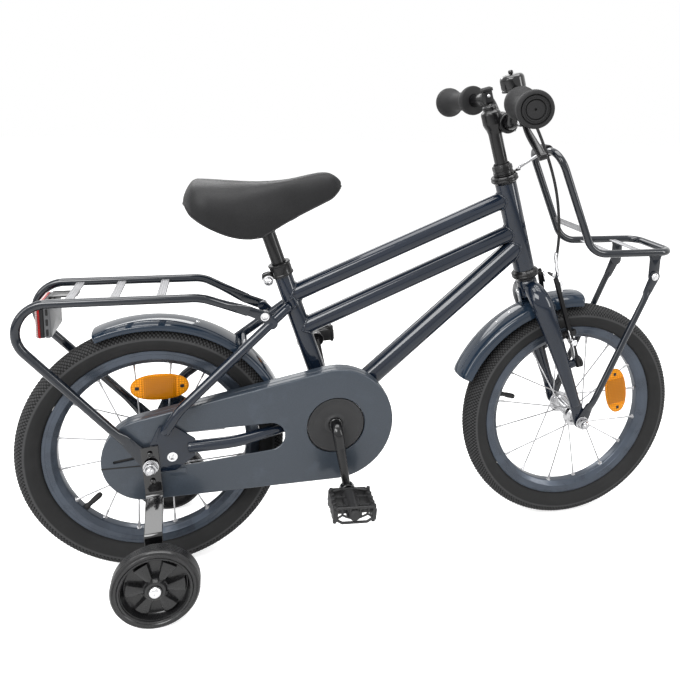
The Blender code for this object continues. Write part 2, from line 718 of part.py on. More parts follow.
def blade_route(side):
    """Centre line of a fork blade with its thickness, from the crown to the fork end."""
    end_spread = FRONT_SPACING / 2 + FORK_END_THICKNESS / 2
    top = CROWN_TOP - 0.016
    places = ((top, 0.006, 1.0), (top - 0.004, 0.025, 1.0), (top - 0.018, 0.0385, 0.97),
              (top - 0.042, BLADE_SPREAD, 0.87), (top * 0.62, (BLADE_SPREAD + end_spread) / 2, 0.80),
              (top * 0.35, end_spread - 0.001, 0.72),
              (0.034, end_spread, BLADE_END_RADIUS / BLADE_TOP_RADIUS))
    points = []
    for up, left, scale in places:
        ahead = FORK_OFFSET * (1 - up / CROWN_TOP)
        points.append((steer(up, ahead, side * left), scale))
    return points


def fork_blade(side):
    route = blade_route(side)
    return pipe([point for point, _ in route], BLADE_TOP_RADIUS, [scale for _, scale in route])


def fork_end(side):
    middle = side * (FRONT_SPACING / 2 + FORK_END_THICKNESS / 2)
    top = steer(0.044, FORK_OFFSET * 0.85) - FRONT
    outline = capsule((0, 0), (top.x, top.z), 0.0125, 0.0095, 6)
    hole = circle((0, 0), FRONT_AXLE_RADIUS + 0.0004, 12)
    return slab([outline, hole], FORK_END_THICKNESS, side_view(FRONT, middle))


def brake_boss(side):
    """Round boss on the blade that carries the brake arm, with its pivot pin."""
    blade_ahead = FORK_OFFSET * (1 - BRAKE_PIVOT_HEIGHT / CROWN_TOP)
    root = steer(BRAKE_PIVOT_HEIGHT, blade_ahead, side * BRAKE_PIVOT_SPREAD)
    face = steer(BRAKE_PIVOT_HEIGHT, BRAKE_ARM_AHEAD - GAP, side * BRAKE_PIVOT_SPREAD)
    boss = rod(root, face, 0.007, 12)
    pin_end = steer(BRAKE_PIVOT_HEIGHT, BRAKE_ARM_AHEAD + BRAKE_ARM_THICKNESS + 0.004,
                    side * BRAKE_PIVOT_SPREAD)
    return join(boss, rod(face - STEER_AHEAD * 0.002, pin_end, 0.0036, 12))


def build_headset_top():
    bore = STEERER_RADIUS + GAP
    height = LOCKNUT_HEIGHT
    profile = [(bore, height), (LOCKNUT_RADIUS - 0.0015, height), (LOCKNUT_RADIUS, height - 0.0015),
               (LOCKNUT_RADIUS, 0), (bore, 0)]
    keep(turned(profile, facing(STEER_UP, steer(LOCKNUT_BOTTOM)), 20, ring=True),
         "headset_locknut", BLACK, 0.35, 0.5)


def build_stem():
    low = LOCKNUT_TOP - QUILL_DEPTH
    high = STEM_TOP
    head = STEM_HEAD_RADIUS
    quill = QUILL_RADIUS
    profile = [(0, high + 0.004), (0.010, high + 0.004), (0.012, high + 0.002), (0.012, high - 0.003),
               (head - 0.002, high - 0.005), (head, high - 0.009), (head, high - 0.026),
               (quill + 0.0015, high - 0.035), (quill, high - 0.042), (quill, low), (0, low)]
    body = turned(profile, facing(STEER_UP, STEER_FOOT), 16)
    centre = steer(BAR_LEVEL, BAR_REACH)
    clamp = rod(centre - LEFT * STEM_CLAMP_HALF, centre + LEFT * STEM_CLAMP_HALF, head, 16)
    bar_bore = rod(centre - LEFT * 0.03, centre + LEFT * 0.03, BAR_RADIUS + GAP, 16)
    bolt_place = steer(BAR_LEVEL, BAR_REACH + head - 0.004)
    bolt = rod(bolt_place - STEER_UP * 0.019, bolt_place - STEER_UP * 0.004, 0.0042, 10)
    keep(cut(join(body, clamp, bolt), bar_bore), "stem", BLACK, 0.3, 0.3)


def bar_point(place):
    """Centre of the raised part of the bar at a distance from the middle, right side minus."""
    share = (abs(place) - BAR_FLAT_START) / (BAR_HALF_WIDTH - BAR_FLAT_START)
    return steer(BAR_LEVEL + BAR_RISE - 0.002 * share, BAR_REACH - BAR_SWEEP * share, place)


def build_handlebar():
    clamp_corner = STEM_CLAMP_HALF + 0.016
    corners = [bar_point(BAR_HALF_WIDTH), bar_point(BAR_FLAT_START),
               steer(BAR_LEVEL, BAR_REACH, clamp_corner), steer(BAR_LEVEL, BAR_REACH, -clamp_corner),
               bar_point(-BAR_FLAT_START), bar_point(-BAR_HALF_WIDTH)]
    bend = 0.024
    path = rounded_path(corners, [0, bend, bend, bend, bend, 0], 15)
    keep(pipe(path, BAR_RADIUS), "handlebar", BLACK, 0.25, 0.4)

    for side, name in ((1, "left"), (-1, "right")):
        build_grip(side, name)


def build_grip(side, name):
    inner = bar_point(side * GRIP_INNER)
    outer = bar_point(side * BAR_HALF_WIDTH)
    along = (outer - inner).normalized()
    length = (outer - inner).length + GRIP_OVERHANG
    bore = BAR_RADIUS + GAP
    flange = GRIP_FLANGE_RADIUS
    body = GRIP_RADIUS
    wall = 0.004
    profile = [(0.0015, length), (0.021, length), (flange + 0.001, length - 0.003),
               (flange + 0.001, length - 0.009), (flange - 0.001, length - 0.016),
               (body + 0.004, length - 0.024), (body + 0.0008, length - 0.033), (body, length * 0.5),
               (body + 0.0008, 0.030), (body + 0.004, 0.021), (flange - 0.001, 0.012),
               (flange, 0.005), (flange - 0.001, 0.001), (flange - 0.004, 0), (bore, 0),
               (bore, length - wall), (0.0015, length - wall)]
    keep(turned(profile, facing(along, inner), 16, ring=True), "grip_" + name, BLACK, 0.75)


def build_bell():
    along = (bar_point(-BAR_HALF_WIDTH) - bar_point(-BAR_FLAT_START)).normalized()
    place = bar_point(-BELL_PLACE)
    half = 0.0035
    band = rod(place - along * half, place + along * half, BAR_RADIUS + 0.003, 16)
    bar_way = rod(place - along * 0.02, place + along * 0.02, BAR_RADIUS + GAP, 16)
    base = BAR_RADIUS + 0.002
    seat_height = base + 0.004
    top = seat_height + BELL_HEIGHT
    dome = [(0, top - 0.009), (0.0022, top - 0.009), (0.0022, top), (BELL_RADIUS - 0.007, top)]
    for angle in (math.radians(60), math.radians(30), 0):
        dome.append((BELL_RADIUS - 0.007 + 0.007 * math.cos(angle), top - 0.007 + 0.007 * math.sin(angle)))
    dome += [(BELL_RADIUS, seat_height), (0.006, seat_height), (0.006, base - 0.001), (0, base - 0.001)]
    cap = turned(dome, facing(STEER_UP, place), 20)
    keep(cut(join(band, cap), bar_way), "bell", BLACK, 0.25)

    # The striker is a knob on a pin that is pulled up against a spring in the cap.
    knob = turned([(0, top + 0.007), (0.003, top + 0.006), (0.004, top + 0.003), (0.004, top + GAP),
                   (0.0018, top + GAP), (0.0018, top - 0.008), (0, top - 0.008)],
                  facing(STEER_UP, place), 12)
    keep(knob, "bell_striker", CHROME, 0.2, 1.0)


def lever_point(along, drop):
    """Point of the brake lever by its place along the right bar and its drop below it."""
    share = (along - BAR_FLAT_START) / (BAR_HALF_WIDTH - BAR_FLAT_START)
    return bar_point(-along) - STEER_UP * drop + STEER_AHEAD * BAR_SWEEP * share * 0.25


def build_brake_lever():
    place = bar_point(-LEVER_PLACE)
    along = (bar_point(-BAR_HALF_WIDTH) - bar_point(-BAR_FLAT_START)).normalized()
    half = 0.0075
    outer = BAR_RADIUS + 0.0045
    band = rod(place - along * half, place + along * half, outer, 16)
    pivot = lever_point(LEVER_PLACE, LEVER_PIVOT_DROP)
    arm_middle = lever_point(LEVER_PLACE, (outer + LEVER_PIVOT_DROP) / 2)
    turn = upright(LEFT, STEER_UP, arm_middle)
    cheek = bevel(block((0.013, LEVER_PIVOT_DROP - outer + 0.012, 0.018), turn), 0.0015)
    slot_middle = lever_point(LEVER_PLACE, LEVER_PIVOT_DROP + 0.002)
    slot = block((0.030, 0.019, 0.0086), upright(LEFT, STEER_UP, slot_middle))
    pin = rod(pivot - STEER_AHEAD * 0.0105, pivot + STEER_AHEAD * 0.0105, 0.0022, 10)
    barrel_start = lever_point(LEVER_PLACE - 0.005, BARREL_DROP)
    barrel_end = lever_point(LEVER_PLACE - BARREL_LENGTH, BARREL_DROP)
    barrel = rod(barrel_start, barrel_end, 0.0048, 12)
    bar_way = rod(place - along * 0.03, place + along * 0.03, BAR_RADIUS + GAP, 16)
    bracket = cut(join(band, cheek, barrel), slot, bar_way)
    keep(join(bracket, pin), "brake_lever_bracket", BLACK, 0.35, 0.3)

    # The blade hooks round the pin, drops past the grip flange and runs out under the grip.
    tip_place = LEVER_PLACE + LEVER_REACH
    tip_drop = LEVER_PIVOT_DROP + LEVER_DROP
    spots = ((LEVER_PLACE, LEVER_PIVOT_DROP), (LEVER_PLACE + 0.010, LEVER_PIVOT_DROP + 0.013),
             (LEVER_PLACE + 0.026, LEVER_PIVOT_DROP + 0.024),
             (LEVER_PLACE + 0.048, LEVER_PIVOT_DROP + 0.036),
             (tip_place, tip_drop))
    line = smooth_route([lever_point(*spot) for spot in spots], 2)
    rings = []
    for index, point in enumerate(line):
        ahead = line[min(index + 1, len(line) - 1)] - line[max(index - 1, 0)]
        normal = STEER_AHEAD.cross(ahead).normalized()
        share = index / (len(line) - 1)
        width = 0.0040 if index < 2 else 0.0040 + 0.0030 * math.sin(math.pi * min(share * 1.4, 1.0) / 2)
        depth = 0.0050 - 0.0014 * share
        rings.append([point + STEER_AHEAD * width * math.cos(a) + normal * depth * math.sin(a)
                      for a in (math.radians(30 + 60 * k) for k in range(6))])
    blade = loft(rings)
    boss = rod(pivot - STEER_AHEAD * 0.0040, pivot + STEER_AHEAD * 0.0040, 0.0058, 12)
    pin_hole = rod(pivot - STEER_AHEAD * 0.012, pivot + STEER_AHEAD * 0.012, 0.0025, 10)
    tip = line[-1]
    ball = rod(tip - STEER_AHEAD * 0.0068, tip + STEER_AHEAD * 0.0068, 0.0050, 10)
    keep(cut(join(blade, boss, ball), pin_hole), "brake_lever", BLACK, 0.3, 0.4)


def front_place(ahead, height, left=0.0):
    """Point by its distance ahead of the front axle and above the axle."""
    return FRONT + Vector((ahead, left, height))


def front_rack_top():
    return FRONT_DECK_BACK - FRONT_RISER_LEAN, FRONT_DECK + FRONT_RISER_RISE


def build_front_rack():
    top_ahead, top_height = front_rack_top()
    wide = RACK_HALF_WIDTH
    corners = [front_place(top_ahead, top_height, -wide), front_place(FRONT_DECK_BACK, FRONT_DECK, -wide),
               front_place(FRONT_DECK_FRONT, FRONT_DECK, -wide),
               front_place(FRONT_DECK_FRONT, FRONT_DECK, wide),
               front_place(FRONT_DECK_BACK, FRONT_DECK, wide), front_place(top_ahead, top_height, wide)]
    radii = [0.030, 0.040, 0.024, 0.024, 0.040, 0.030]
    loop = pipe(rounded_path(corners, radii, 23, cyclic=True), RACK_TUBE_RADIUS, cyclic=True)
    plates = [front_rack_plate(side) for side in (1, -1)]
    keep(join(loop, *plates), "front_rack", PAINT, 0.3)

    riser = (front_place(top_ahead, top_height) - front_place(FRONT_DECK_BACK, FRONT_DECK)).normalized()
    riser_spot = front_place(FRONT_DECK_BACK, FRONT_DECK) + riser * 0.044
    spots = ((riser_spot, riser), (front_place(0.034, FRONT_DECK), Vector((1, 0, 0))),
             (front_place(0.094, FRONT_DECK), Vector((1, 0, 0))))
    for number, (spot, along) in enumerate(spots, 1):
        strip(spot, along, "front_rack_bar_%d" % number)


def strip(middle, along, name):
    """Flat cross bar between the two side tubes of a rack."""
    length = 2 * (RACK_HALF_WIDTH - RACK_TUBE_RADIUS - GAP)
    turn = upright(along, LEFT, middle)
    bar = bevel(block((BAR_STRIP_WIDTH, length, BAR_STRIP_THICKNESS), turn), 0.0008)
    keep(bar, name, (0.55, 0.56, 0.58), 0.35, 0.9)


def front_bolt():
    return FRONT_PLATE_AHEAD, FRONT_DECK - FRONT_PLATE_DROP


def front_rack_plate(side):
    """Plate under the rack tube that the strut is bolted to."""
    ahead, height = front_bolt()
    drop = FRONT_PLATE_DROP
    outline = arc((0, 0), 0.010, 180, 360, 8) + [(0.010, drop - 0.012), (0.013, drop), (-0.013, drop),
                                                 (-0.010, drop - 0.012)]
    middle = side * (RACK_HALF_WIDTH + 0.0035)
    return slab([outline], 0.003, side_view(front_place(ahead, height), middle))


def build_front_struts():
    ahead, height = front_bolt()
    plate_face = RACK_HALF_WIDTH + 0.005 + GAP
    for side, name in ((1, "left"), (-1, "right")):
        low_middle = side * (FORK_END_OUTER + GAP + FOOT_THICKNESS / 2)
        high_middle = side * (plate_face + FOOT_THICKNESS / 2)
        direction = Vector((ahead, 0, height)).normalized()
        foot_end = direction * 0.030
        foot = slab([capsule((0, 0), (foot_end.x, foot_end.z), 0.0105, 0.0075, 6),
                     circle((0, 0), FRONT_AXLE_RADIUS + 0.0004, 12)], FOOT_THICKNESS,
                    side_view(FRONT, low_middle))
        hand_end = direction * -0.030
        hand = slab([capsule((0, 0), (hand_end.x, hand_end.z), 0.0095, 0.0075, 6)], FOOT_THICKNESS,
                    side_view(front_place(ahead, height), high_middle))
        low = FRONT + direction * 0.024
        high = front_place(ahead, height) - direction * 0.024
        low.y = side * (abs(low_middle) + 0.0045)
        high.y = side * (abs(high_middle) + 0.0020)
        tube = rod(low, high, STRUT_RADIUS, 12)
        bolt_at = front_place(ahead, height, high_middle)
        bolt = rod(bolt_at, bolt_at + LEFT * side * 0.005, 0.0058, 6)
        keep(join(foot, tube, hand, bolt), "front_rack_strut_" + name, PAINT, 0.3)


def build_rack_stay():
    """Bright rod from a ring in the headset to a clamp on the top of the front rack."""
    bore = STEERER_RADIUS + GAP
    ring = turned([(LOCKNUT_RADIUS, STAY_RING_THICKNESS), (LOCKNUT_RADIUS, 0), (bore, 0),
                   (bore, STAY_RING_THICKNESS)], facing(STEER_UP, steer(STACK_BOTTOM)), 18, ring=True)
    top_ahead, top_height = front_rack_top()
    tube = front_place(top_ahead, top_height)
    tab_end = CUP_RADIUS + 0.007
    tab_start = STEERER_RADIUS + 0.0025
    tab_middle = steer(STACK_BOTTOM + STAY_RING_THICKNESS / 2, (tab_end + tab_start) / 2)
    tab_size = (tab_end - tab_start, STAY_RING_THICKNESS * 0.9, 0.010)
    tab = block(tab_size, upright(STEER_AHEAD, STEER_UP, tab_middle))
    start = steer(STACK_BOTTOM + STAY_RING_THICKNESS, tab_end - 0.003)
    towards = (tube - start).normalized()
    clamp_radius = RACK_TUBE_RADIUS + 0.0035
    link = rod(start, tube - towards * (RACK_TUBE_RADIUS + 0.0015), STAY_ROD_RADIUS, 10)
    clamp = rod(tube - LEFT * 0.012, tube + LEFT * 0.012, clamp_radius, 14)
    bore_cut = rod(tube - LEFT * 0.02, tube + LEFT * 0.02, RACK_TUBE_RADIUS + GAP, 14)
    keep(cut(join(ring, tab, link, clamp), bore_cut), "front_rack_stay", CHROME, 0.2, 1.0)


def mudguard(centre, crown, depth, angles, steps=14):
    """Curved sheet round a wheel between two angles, counted up from straight ahead."""
    start, end = angles
    half = MUDGUARD_HALF_WIDTH
    right = [(crown - depth, -half), (crown - depth * 0.42, -half * 0.97),
             (crown - depth * 0.12, -half * 0.70), (crown, -half * 0.25)]
    profile = right + [(r, -y) for r, y in reversed(right)]
    turn = Matrix.Rotation(math.radians(-start), 4, "Y") @ Matrix.Rotation(math.radians(90), 4, "X")
    sheet = turned(profile, Matrix.Translation(centre) @ turn, steps, sweep=end - start)
    wall = sheet.modifiers.new("wall", "SOLIDIFY")
    wall.thickness = MUDGUARD_WALL
    wall.offset = 0.0
    return sheet


def build_mudguards():
    keep(mudguard(REAR, REAR_GUARD_RADIUS, REAR_GUARD_DEPTH, REAR_GUARD_ANGLES), "rear_mudguard", PAINT, 0.3)
    centre = FRONT - Vector((FRONT_GUARD_BACK, 0, FRONT_GUARD_BELOW))
    guard = mudguard(centre, FRONT_GUARD_RADIUS, FRONT_GUARD_DEPTH, FRONT_GUARD_ANGLES)
    top = CROWN_TOP - 0.012
    low = steer(0, -CROWN_RADIUS - 0.0013) - centre
    along = low.dot(STEER_UP)
    aside = low.dot(STEER_AHEAD)
    foot = math.sqrt(FRONT_GUARD_RADIUS ** 2 - aside ** 2) - along
    middle = steer((top + foot) / 2, -CROWN_RADIUS - 0.0013)
    tab = block((0.002, top - foot, 0.014), upright(STEER_AHEAD, STEER_UP, middle))
    keep(join(guard, tab), "front_mudguard", PAINT, 0.3)


def build_rear_rack():
    for side, name in ((1, "left"), (-1, "right")):
        bolt = rack_bolt_place(side)
        plate_middle = RACK_TAB_PLACE + 0.0015 + GAP + 0.0015
        tube_front = Vector((bolt.x - 0.024, side * (plate_middle + 0.004), bolt.z + 0.010))
        wide = side * RACK_HALF_WIDTH
        bend = REAR + Vector((REAR_DECK_FRONT, wide, REAR_DECK))
        corner = REAR + Vector((REAR_DECK_CORNER, wide, REAR_DECK))
        foot_y = side * (DROPOUT_OUTER + 0.0048)
        foot = REAR + Vector((-0.030, foot_y, 0.0375))
        tube = pipe(rounded_path([tube_front, bend, corner, foot], [0, 0.05, REAR_RACK_BEND, 0], 22),
                    RACK_TUBE_RADIUS)
        hand = slab([capsule((0, 0), (-0.026, 0.011), 0.008, 0.0075, 6)], 0.003,
                    side_view(bolt, side * plate_middle))
        sole_middle = side * (DROPOUT_OUTER + GAP + FOOT_THICKNESS / 2)
        sole = slab([capsule((0, 0), (-0.030, 0.0375), 0.0115, 0.0085, 6),
                     circle((0, 0), REAR_AXLE_RADIUS + 0.0004, 12)], FOOT_THICKNESS,
                    side_view(REAR, sole_middle))
        bolt_at = Vector((bolt.x, side * plate_middle, bolt.z))
        head = rod(bolt_at, bolt_at + LEFT * side * 0.005, 0.0055, 6)
        keep(join(tube, hand, sole, head), "rear_rack_" + name, PAINT, 0.3)
    for number, ahead in enumerate((-0.105, -0.045, 0.019), 1):
        strip(REAR + Vector((ahead, 0, REAR_DECK)), Vector((1, 0, 0)), "rear_rack_bar_%d" % number)


def build_reflector():
    height = REFLECTOR_HEIGHT
    top = REAR_DECK - 0.008
    middle = REAR + Vector((-0.141, 0, top - height / 2))
    housing = bevel(block((0.020, REFLECTOR_WIDTH, height), Matrix.Translation(middle)), 0.004)
    plate_middle = REAR + Vector((-0.118, 0, REAR_DECK - BAR_STRIP_THICKNESS / 2 - GAP - 0.001))
    plate = block((0.038, 0.030, 0.002), Matrix.Translation(plate_middle))
    neck_middle = REAR + Vector((-0.135, 0, REAR_DECK - 0.006))
    neck = block((0.004, 0.030, 0.010), Matrix.Translation(neck_middle))
    keep(join(housing, plate, neck), "rear_reflector", (0.45, 0.02, 0.02), 0.3)


def case_outline(grow=0.0, pieces=11):
    """Chain case outline from the rear axle: two round ends and their common sides."""
    return capsule((-CASE_REAR_BACK, CASE_REAR_RISE), (BRACKET_SETBACK, BRACKET_RISE),
                   CASE_REAR_RADIUS + grow, CASE_FRONT_RADIUS + grow, pieces)


def build_chain_case():
    depth = CASE_OUTER - CASE_INNER
    middle = -(CASE_OUTER + CASE_INNER) / 2
    shell = slab([case_outline()], depth, side_view(REAR, middle))
    pocket_depth = depth
    pocket = slab([case_outline(-CASE_WALL)], pocket_depth, side_view(REAR, middle + CASE_WALL))
    face = -CASE_OUTER + CASE_WALL / 2
    opening = rod(BRACKET - LEFT * (CASE_OUTER + 0.01), BRACKET - LEFT * (CASE_OUTER - 0.01),
                  CASE_DISC_RADIUS + 0.0015, 28)
    slot_start = (0.052, BRACKET_RISE - 0.016)
    slot_end = (BRACKET_SETBACK - 0.103, BRACKET_RISE - 0.009)
    slot = slab([capsule(slot_start, slot_end, 0.0265, 0.0225, 6)], CASE_WALL * 3, side_view(REAR, face))
    axle_hole = rod(REAR - LEFT * (CASE_OUTER + 0.01), REAR - LEFT * (CASE_OUTER - 0.01), 0.013, 16)
    vent = slab([capsule((-0.052, 0.006), (-0.024, 0.010), 0.0025, 0.0025001, 4)], CASE_WALL * 3,
                side_view(REAR, face))
    keep(cut(shell, pocket, opening, slot, axle_hole, vent), "chain_case", PAINT, 0.35)


def toothed(teeth, pitch_radius):
    """Outline of a chain wheel: a root and a tip to each tooth."""
    outline = []
    root = pitch_radius - TOOTH_HEIGHT / 2
    tip = pitch_radius + TOOTH_HEIGHT / 2
    pitch = 2 * math.pi / teeth
    for tooth in range(teeth):
        base = tooth * pitch
        for share, radius in ((-0.5, root), (0.0, tip)):
            angle = base + share * pitch
            outline.append((radius * math.cos(angle), radius * math.sin(angle)))
    return outline


def build_drive():
    wheel_view = side_view(BRACKET, -CHAIN_LINE)
    plate = slab([toothed(CHAINRING_TEETH, CHAINRING_RADIUS)], 0.003, wheel_view)
    rim = CASE_DISC_RADIUS
    hub = CRANK_RADIUS + 0.008
    inner = CHAIN_LINE - 0.0015
    outer = CASE_OUTER
    profile = [(0, outer - 0.006), (hub, outer - 0.006), (hub + 0.002, inner + 0.0045),
               (rim - 0.008, outer - 0.004),
               (rim, outer), (rim, outer - 0.003), (hub + 0.006, inner), (0, inner)]
    disc = turned(profile, facing(-LEFT, Vector((BRACKET.x, 0, BRACKET.z))), 26)
    bore = rod(BRACKET - LEFT * 0.02, BRACKET - LEFT * 0.07, CRANK_RADIUS + GAP, 16)
    keep(cut(join(plate, disc), bore), "chainring", BLACK, 0.45)

    teeth = slab([toothed(SPROCKET_TEETH, SPROCKET_RADIUS)], 0.003, side_view(REAR, -CHAIN_LINE))
    sleeve = rod(REAR - LEFT * (CHAIN_LINE - 0.006), REAR - LEFT * (REAR_SPACING / 2 - 0.003), 0.0105, 16)
    axle_bore = rod(REAR - LEFT * 0.02, REAR - LEFT * 0.07, REAR_AXLE_RADIUS + 0.0005, 12)
    keep(cut(join(teeth, sleeve), axle_bore), "rear_sprocket", (0.45, 0.45, 0.47), 0.35, 1.0)

    clear = TOOTH_HEIGHT / 2 + 0.0006
    inside = [CHAINRING_RADIUS + clear, SPROCKET_RADIUS + clear]
    loops = []
    for grow in (CHAIN_HEIGHT, 0.0):
        loops.append(capsule((0, 0), (BRACKET_SETBACK, BRACKET_RISE), inside[1] + grow,
                             inside[0] + grow, 12))
    chain = slab(loops, CHAIN_WIDTH, side_view(REAR, -CHAIN_LINE))
    keep(chain, "chain", (0.30, 0.28, 0.26), 0.4, 1.0)


def crank_route():
    """Centre line of the one-piece crank, from the left pedal eye to the right one."""
    arm = Vector((math.cos(CRANK_ANGLE), 0, math.sin(CRANK_ANGLE)))
    knee = CASE_OUTER + 0.012
    eye_place = PEDAL_PLACE - 0.001
    right = [BRACKET + arm * CRANK_LENGTH - LEFT * eye_place,
             BRACKET + arm * 0.030 - LEFT * (knee + 0.002),
             BRACKET - LEFT * knee]
    left = [BRACKET - arm * CRANK_LENGTH + LEFT * eye_place,
            BRACKET - arm * 0.030 + LEFT * (knee + 0.002),
            BRACKET + LEFT * knee]
    return arm, left + right[::-1]


def build_crank():
    arm, corners = crank_route()
    path = rounded_path(corners, [0, 0, 0.014, 0.014, 0, 0], 22)
    crank = pipe(path, CRANK_RADIUS)
    for side in (1, -1):
        eye = BRACKET - arm * side * CRANK_LENGTH + LEFT * side * PEDAL_PLACE
        boss = rod(eye - LEFT * side * 0.007, eye + LEFT * side * 0.007, 0.0125, 16)
        spindle = rod(eye, eye + LEFT * side * (PEDAL_WIDTH + 0.008), 0.0045, 12)
        join(crank, boss, spindle)
    keep(crank, "crank", BLACK, 0.3, 0.4)
    for side, name in ((1, "left"), (-1, "right")):
        eye = BRACKET - arm * side * CRANK_LENGTH + LEFT * side * PEDAL_PLACE
        build_pedal(eye, side, name)


def build_pedal(eye, side, name):
    inner = 0.0085
    middle = eye + LEFT * side * (inner + PEDAL_WIDTH / 2)
    ahead = Vector((math.cos(PEDAL_TILT), 0, side * math.sin(PEDAL_TILT)))
    half = PEDAL_LENGTH / 2
    wide = PEDAL_WIDTH / 2
    corner = 0.006
    edge = []
    for turn, forward, outward in ((0, 1, 1), (90, -1, 1), (180, -1, -1), (270, 1, -1)):
        centre = (forward * (half - corner), outward * (wide - corner))
        edge += arc(centre, corner, turn, turn + 90, 2)
    windows = []
    for forward in (1, -1):
        for outward in (1, -1):
            near, far = forward * 0.0125, forward * (half - 0.0075)
            low, high = outward * 0.003, outward * (wide - 0.0065)
            windows.append([(near, low), (far, low), (far, high), (near, high)])
    body = slab([edge] + windows, PEDAL_HEIGHT, upright(ahead, LEFT, middle))
    bore = rod(eye - LEFT * side * 0.01, eye + LEFT * side * (PEDAL_WIDTH + 0.02), 0.0050, 12)
    cut(body, bore)
    keep(body, "pedal_" + name, BLACK, 0.6)


def arm_view(side):
    """Matrix of an outline drawn in side and height, extruded along the bike, with the lean."""
    lean = math.atan2(STABILISER_AHEAD, TYRE_RADIUS - STABILISER_RADIUS)
    up = Vector((-math.sin(lean), 0, math.cos(lean)))
    return upright(LEFT * side, up, REAR)


def build_stabilisers():
    reach = math.hypot(STABILISER_AHEAD, TYRE_RADIUS - STABILISER_RADIUS)
    for side, name in ((1, "left"), (-1, "right")):
        view = arm_view(side)
        inner = STABILISER_OUTER - STABILISER_WIDTH
        plate_in = ARM_PLATE
        thick = ARM_THICKNESS
        path = [(plate_in, ARM_PLATE_TOP), (plate_in, ARM_KNEE_HEIGHT), (ARM_FOOT_SPREAD, ARM_FOOT_HEIGHT),
                (ARM_FOOT_SPREAD, -reach - 0.012)]
        body = slab([strip_outline(path, 0, ARM_EDGE)], ARM_WIDTH, view)
        longer = [(plate_in, ARM_PLATE_TOP + 0.01)] + path[1:3] + [(ARM_FOOT_SPREAD, -reach - 0.022)]
        channel = slab([strip_outline(longer, thick, ARM_EDGE * 2)], ARM_WIDTH - 0.005, view)
        outside = REAR + LEFT * side * (plate_in + 0.027)
        hole = rod(REAR + LEFT * side * (plate_in - 0.012), outside, REAR_AXLE_RADIUS + 0.0004, 12)
        socket = rod(REAR + LEFT * side * (plate_in + thick), outside, 0.0105, 12)
        hub = REAR + Vector((STABILISER_AHEAD, 0, STABILISER_RADIUS - TYRE_RADIUS))
        foot_face = hub + LEFT * side * (ARM_FOOT_SPREAD + 0.001)
        pin = rod(foot_face, hub + LEFT * side * (STABILISER_OUTER + 0.002), 0.0055, 14)
        cap = turned([(0, 0.006), (0.006, 0.005), (0.009, 0.002), (0.009, 0), (0, 0)],
                     facing(LEFT * side, hub + LEFT * side * (STABILISER_OUTER + 0.0006)), 16)
        spacer = rod(foot_face, hub + LEFT * side * (inner - 0.001), 0.009, 14)
        cut(body, channel, hole, socket)
        keep(join(body, pin, cap, spacer), "stabiliser_bracket_" + name, BLACK, 0.35, 0.3)
        build_stabiliser_wheel(hub, side, name)


def strip_outline(path, inner, outer):
    """Outline of a bent strip between two distances outwards from its path."""
    sides = ([], [])
    for index, (across, height) in enumerate(path):
        directions = []
        for other in (index - 1, index):
            if 0 <= other < len(path) - 1:
                step = Vector(path[other + 1]) - Vector(path[other])
                directions.append(step.normalized())
        normal = sum((Vector((-d.y, d.x)) for d in directions), Vector((0, 0))).normalized()
        lean = Vector((-directions[0].y, directions[0].x)).dot(normal)
        for side, distance in zip(sides, (inner, outer)):
            moved = Vector((across, height)) + normal * (distance / lean)
            side.append((moved.x, moved.y))
    return sides[0] + sides[1][::-1]


def build_stabiliser_wheel(hub, side, name):
    outer = STABILISER_OUTER
    radius = STABILISER_RADIUS
    width = STABILISER_WIDTH
    profile = [(0.0060, width), (0.013, width), (0.015, width - 0.003), (radius - 0.016, width - 0.003),
               (radius - 0.014, width), (radius - 0.006, width), (radius, width - 0.005), (radius, 0.005),
               (radius - 0.006, 0), (0.0060, 0)]
    wheel = turned(profile, facing(LEFT * side, hub + LEFT * side * (outer - width)), 24, ring=True)
    pockets = []
    for number in range(6):
        middle = 60 * number + 30
        wide = 21
        outline = (arc((0, 0), radius - 0.020, middle - wide, middle + wide, 3)
                   + arc((0, 0), 0.019, middle + wide * 0.7, middle - wide * 0.7, 1))
        pockets.append(outline)
    cutter = slab(pockets, 0.018, side_view(hub, side * outer))
    keep(cut(wheel, cutter), "stabiliser_wheel_" + name, BLACK, 0.6)


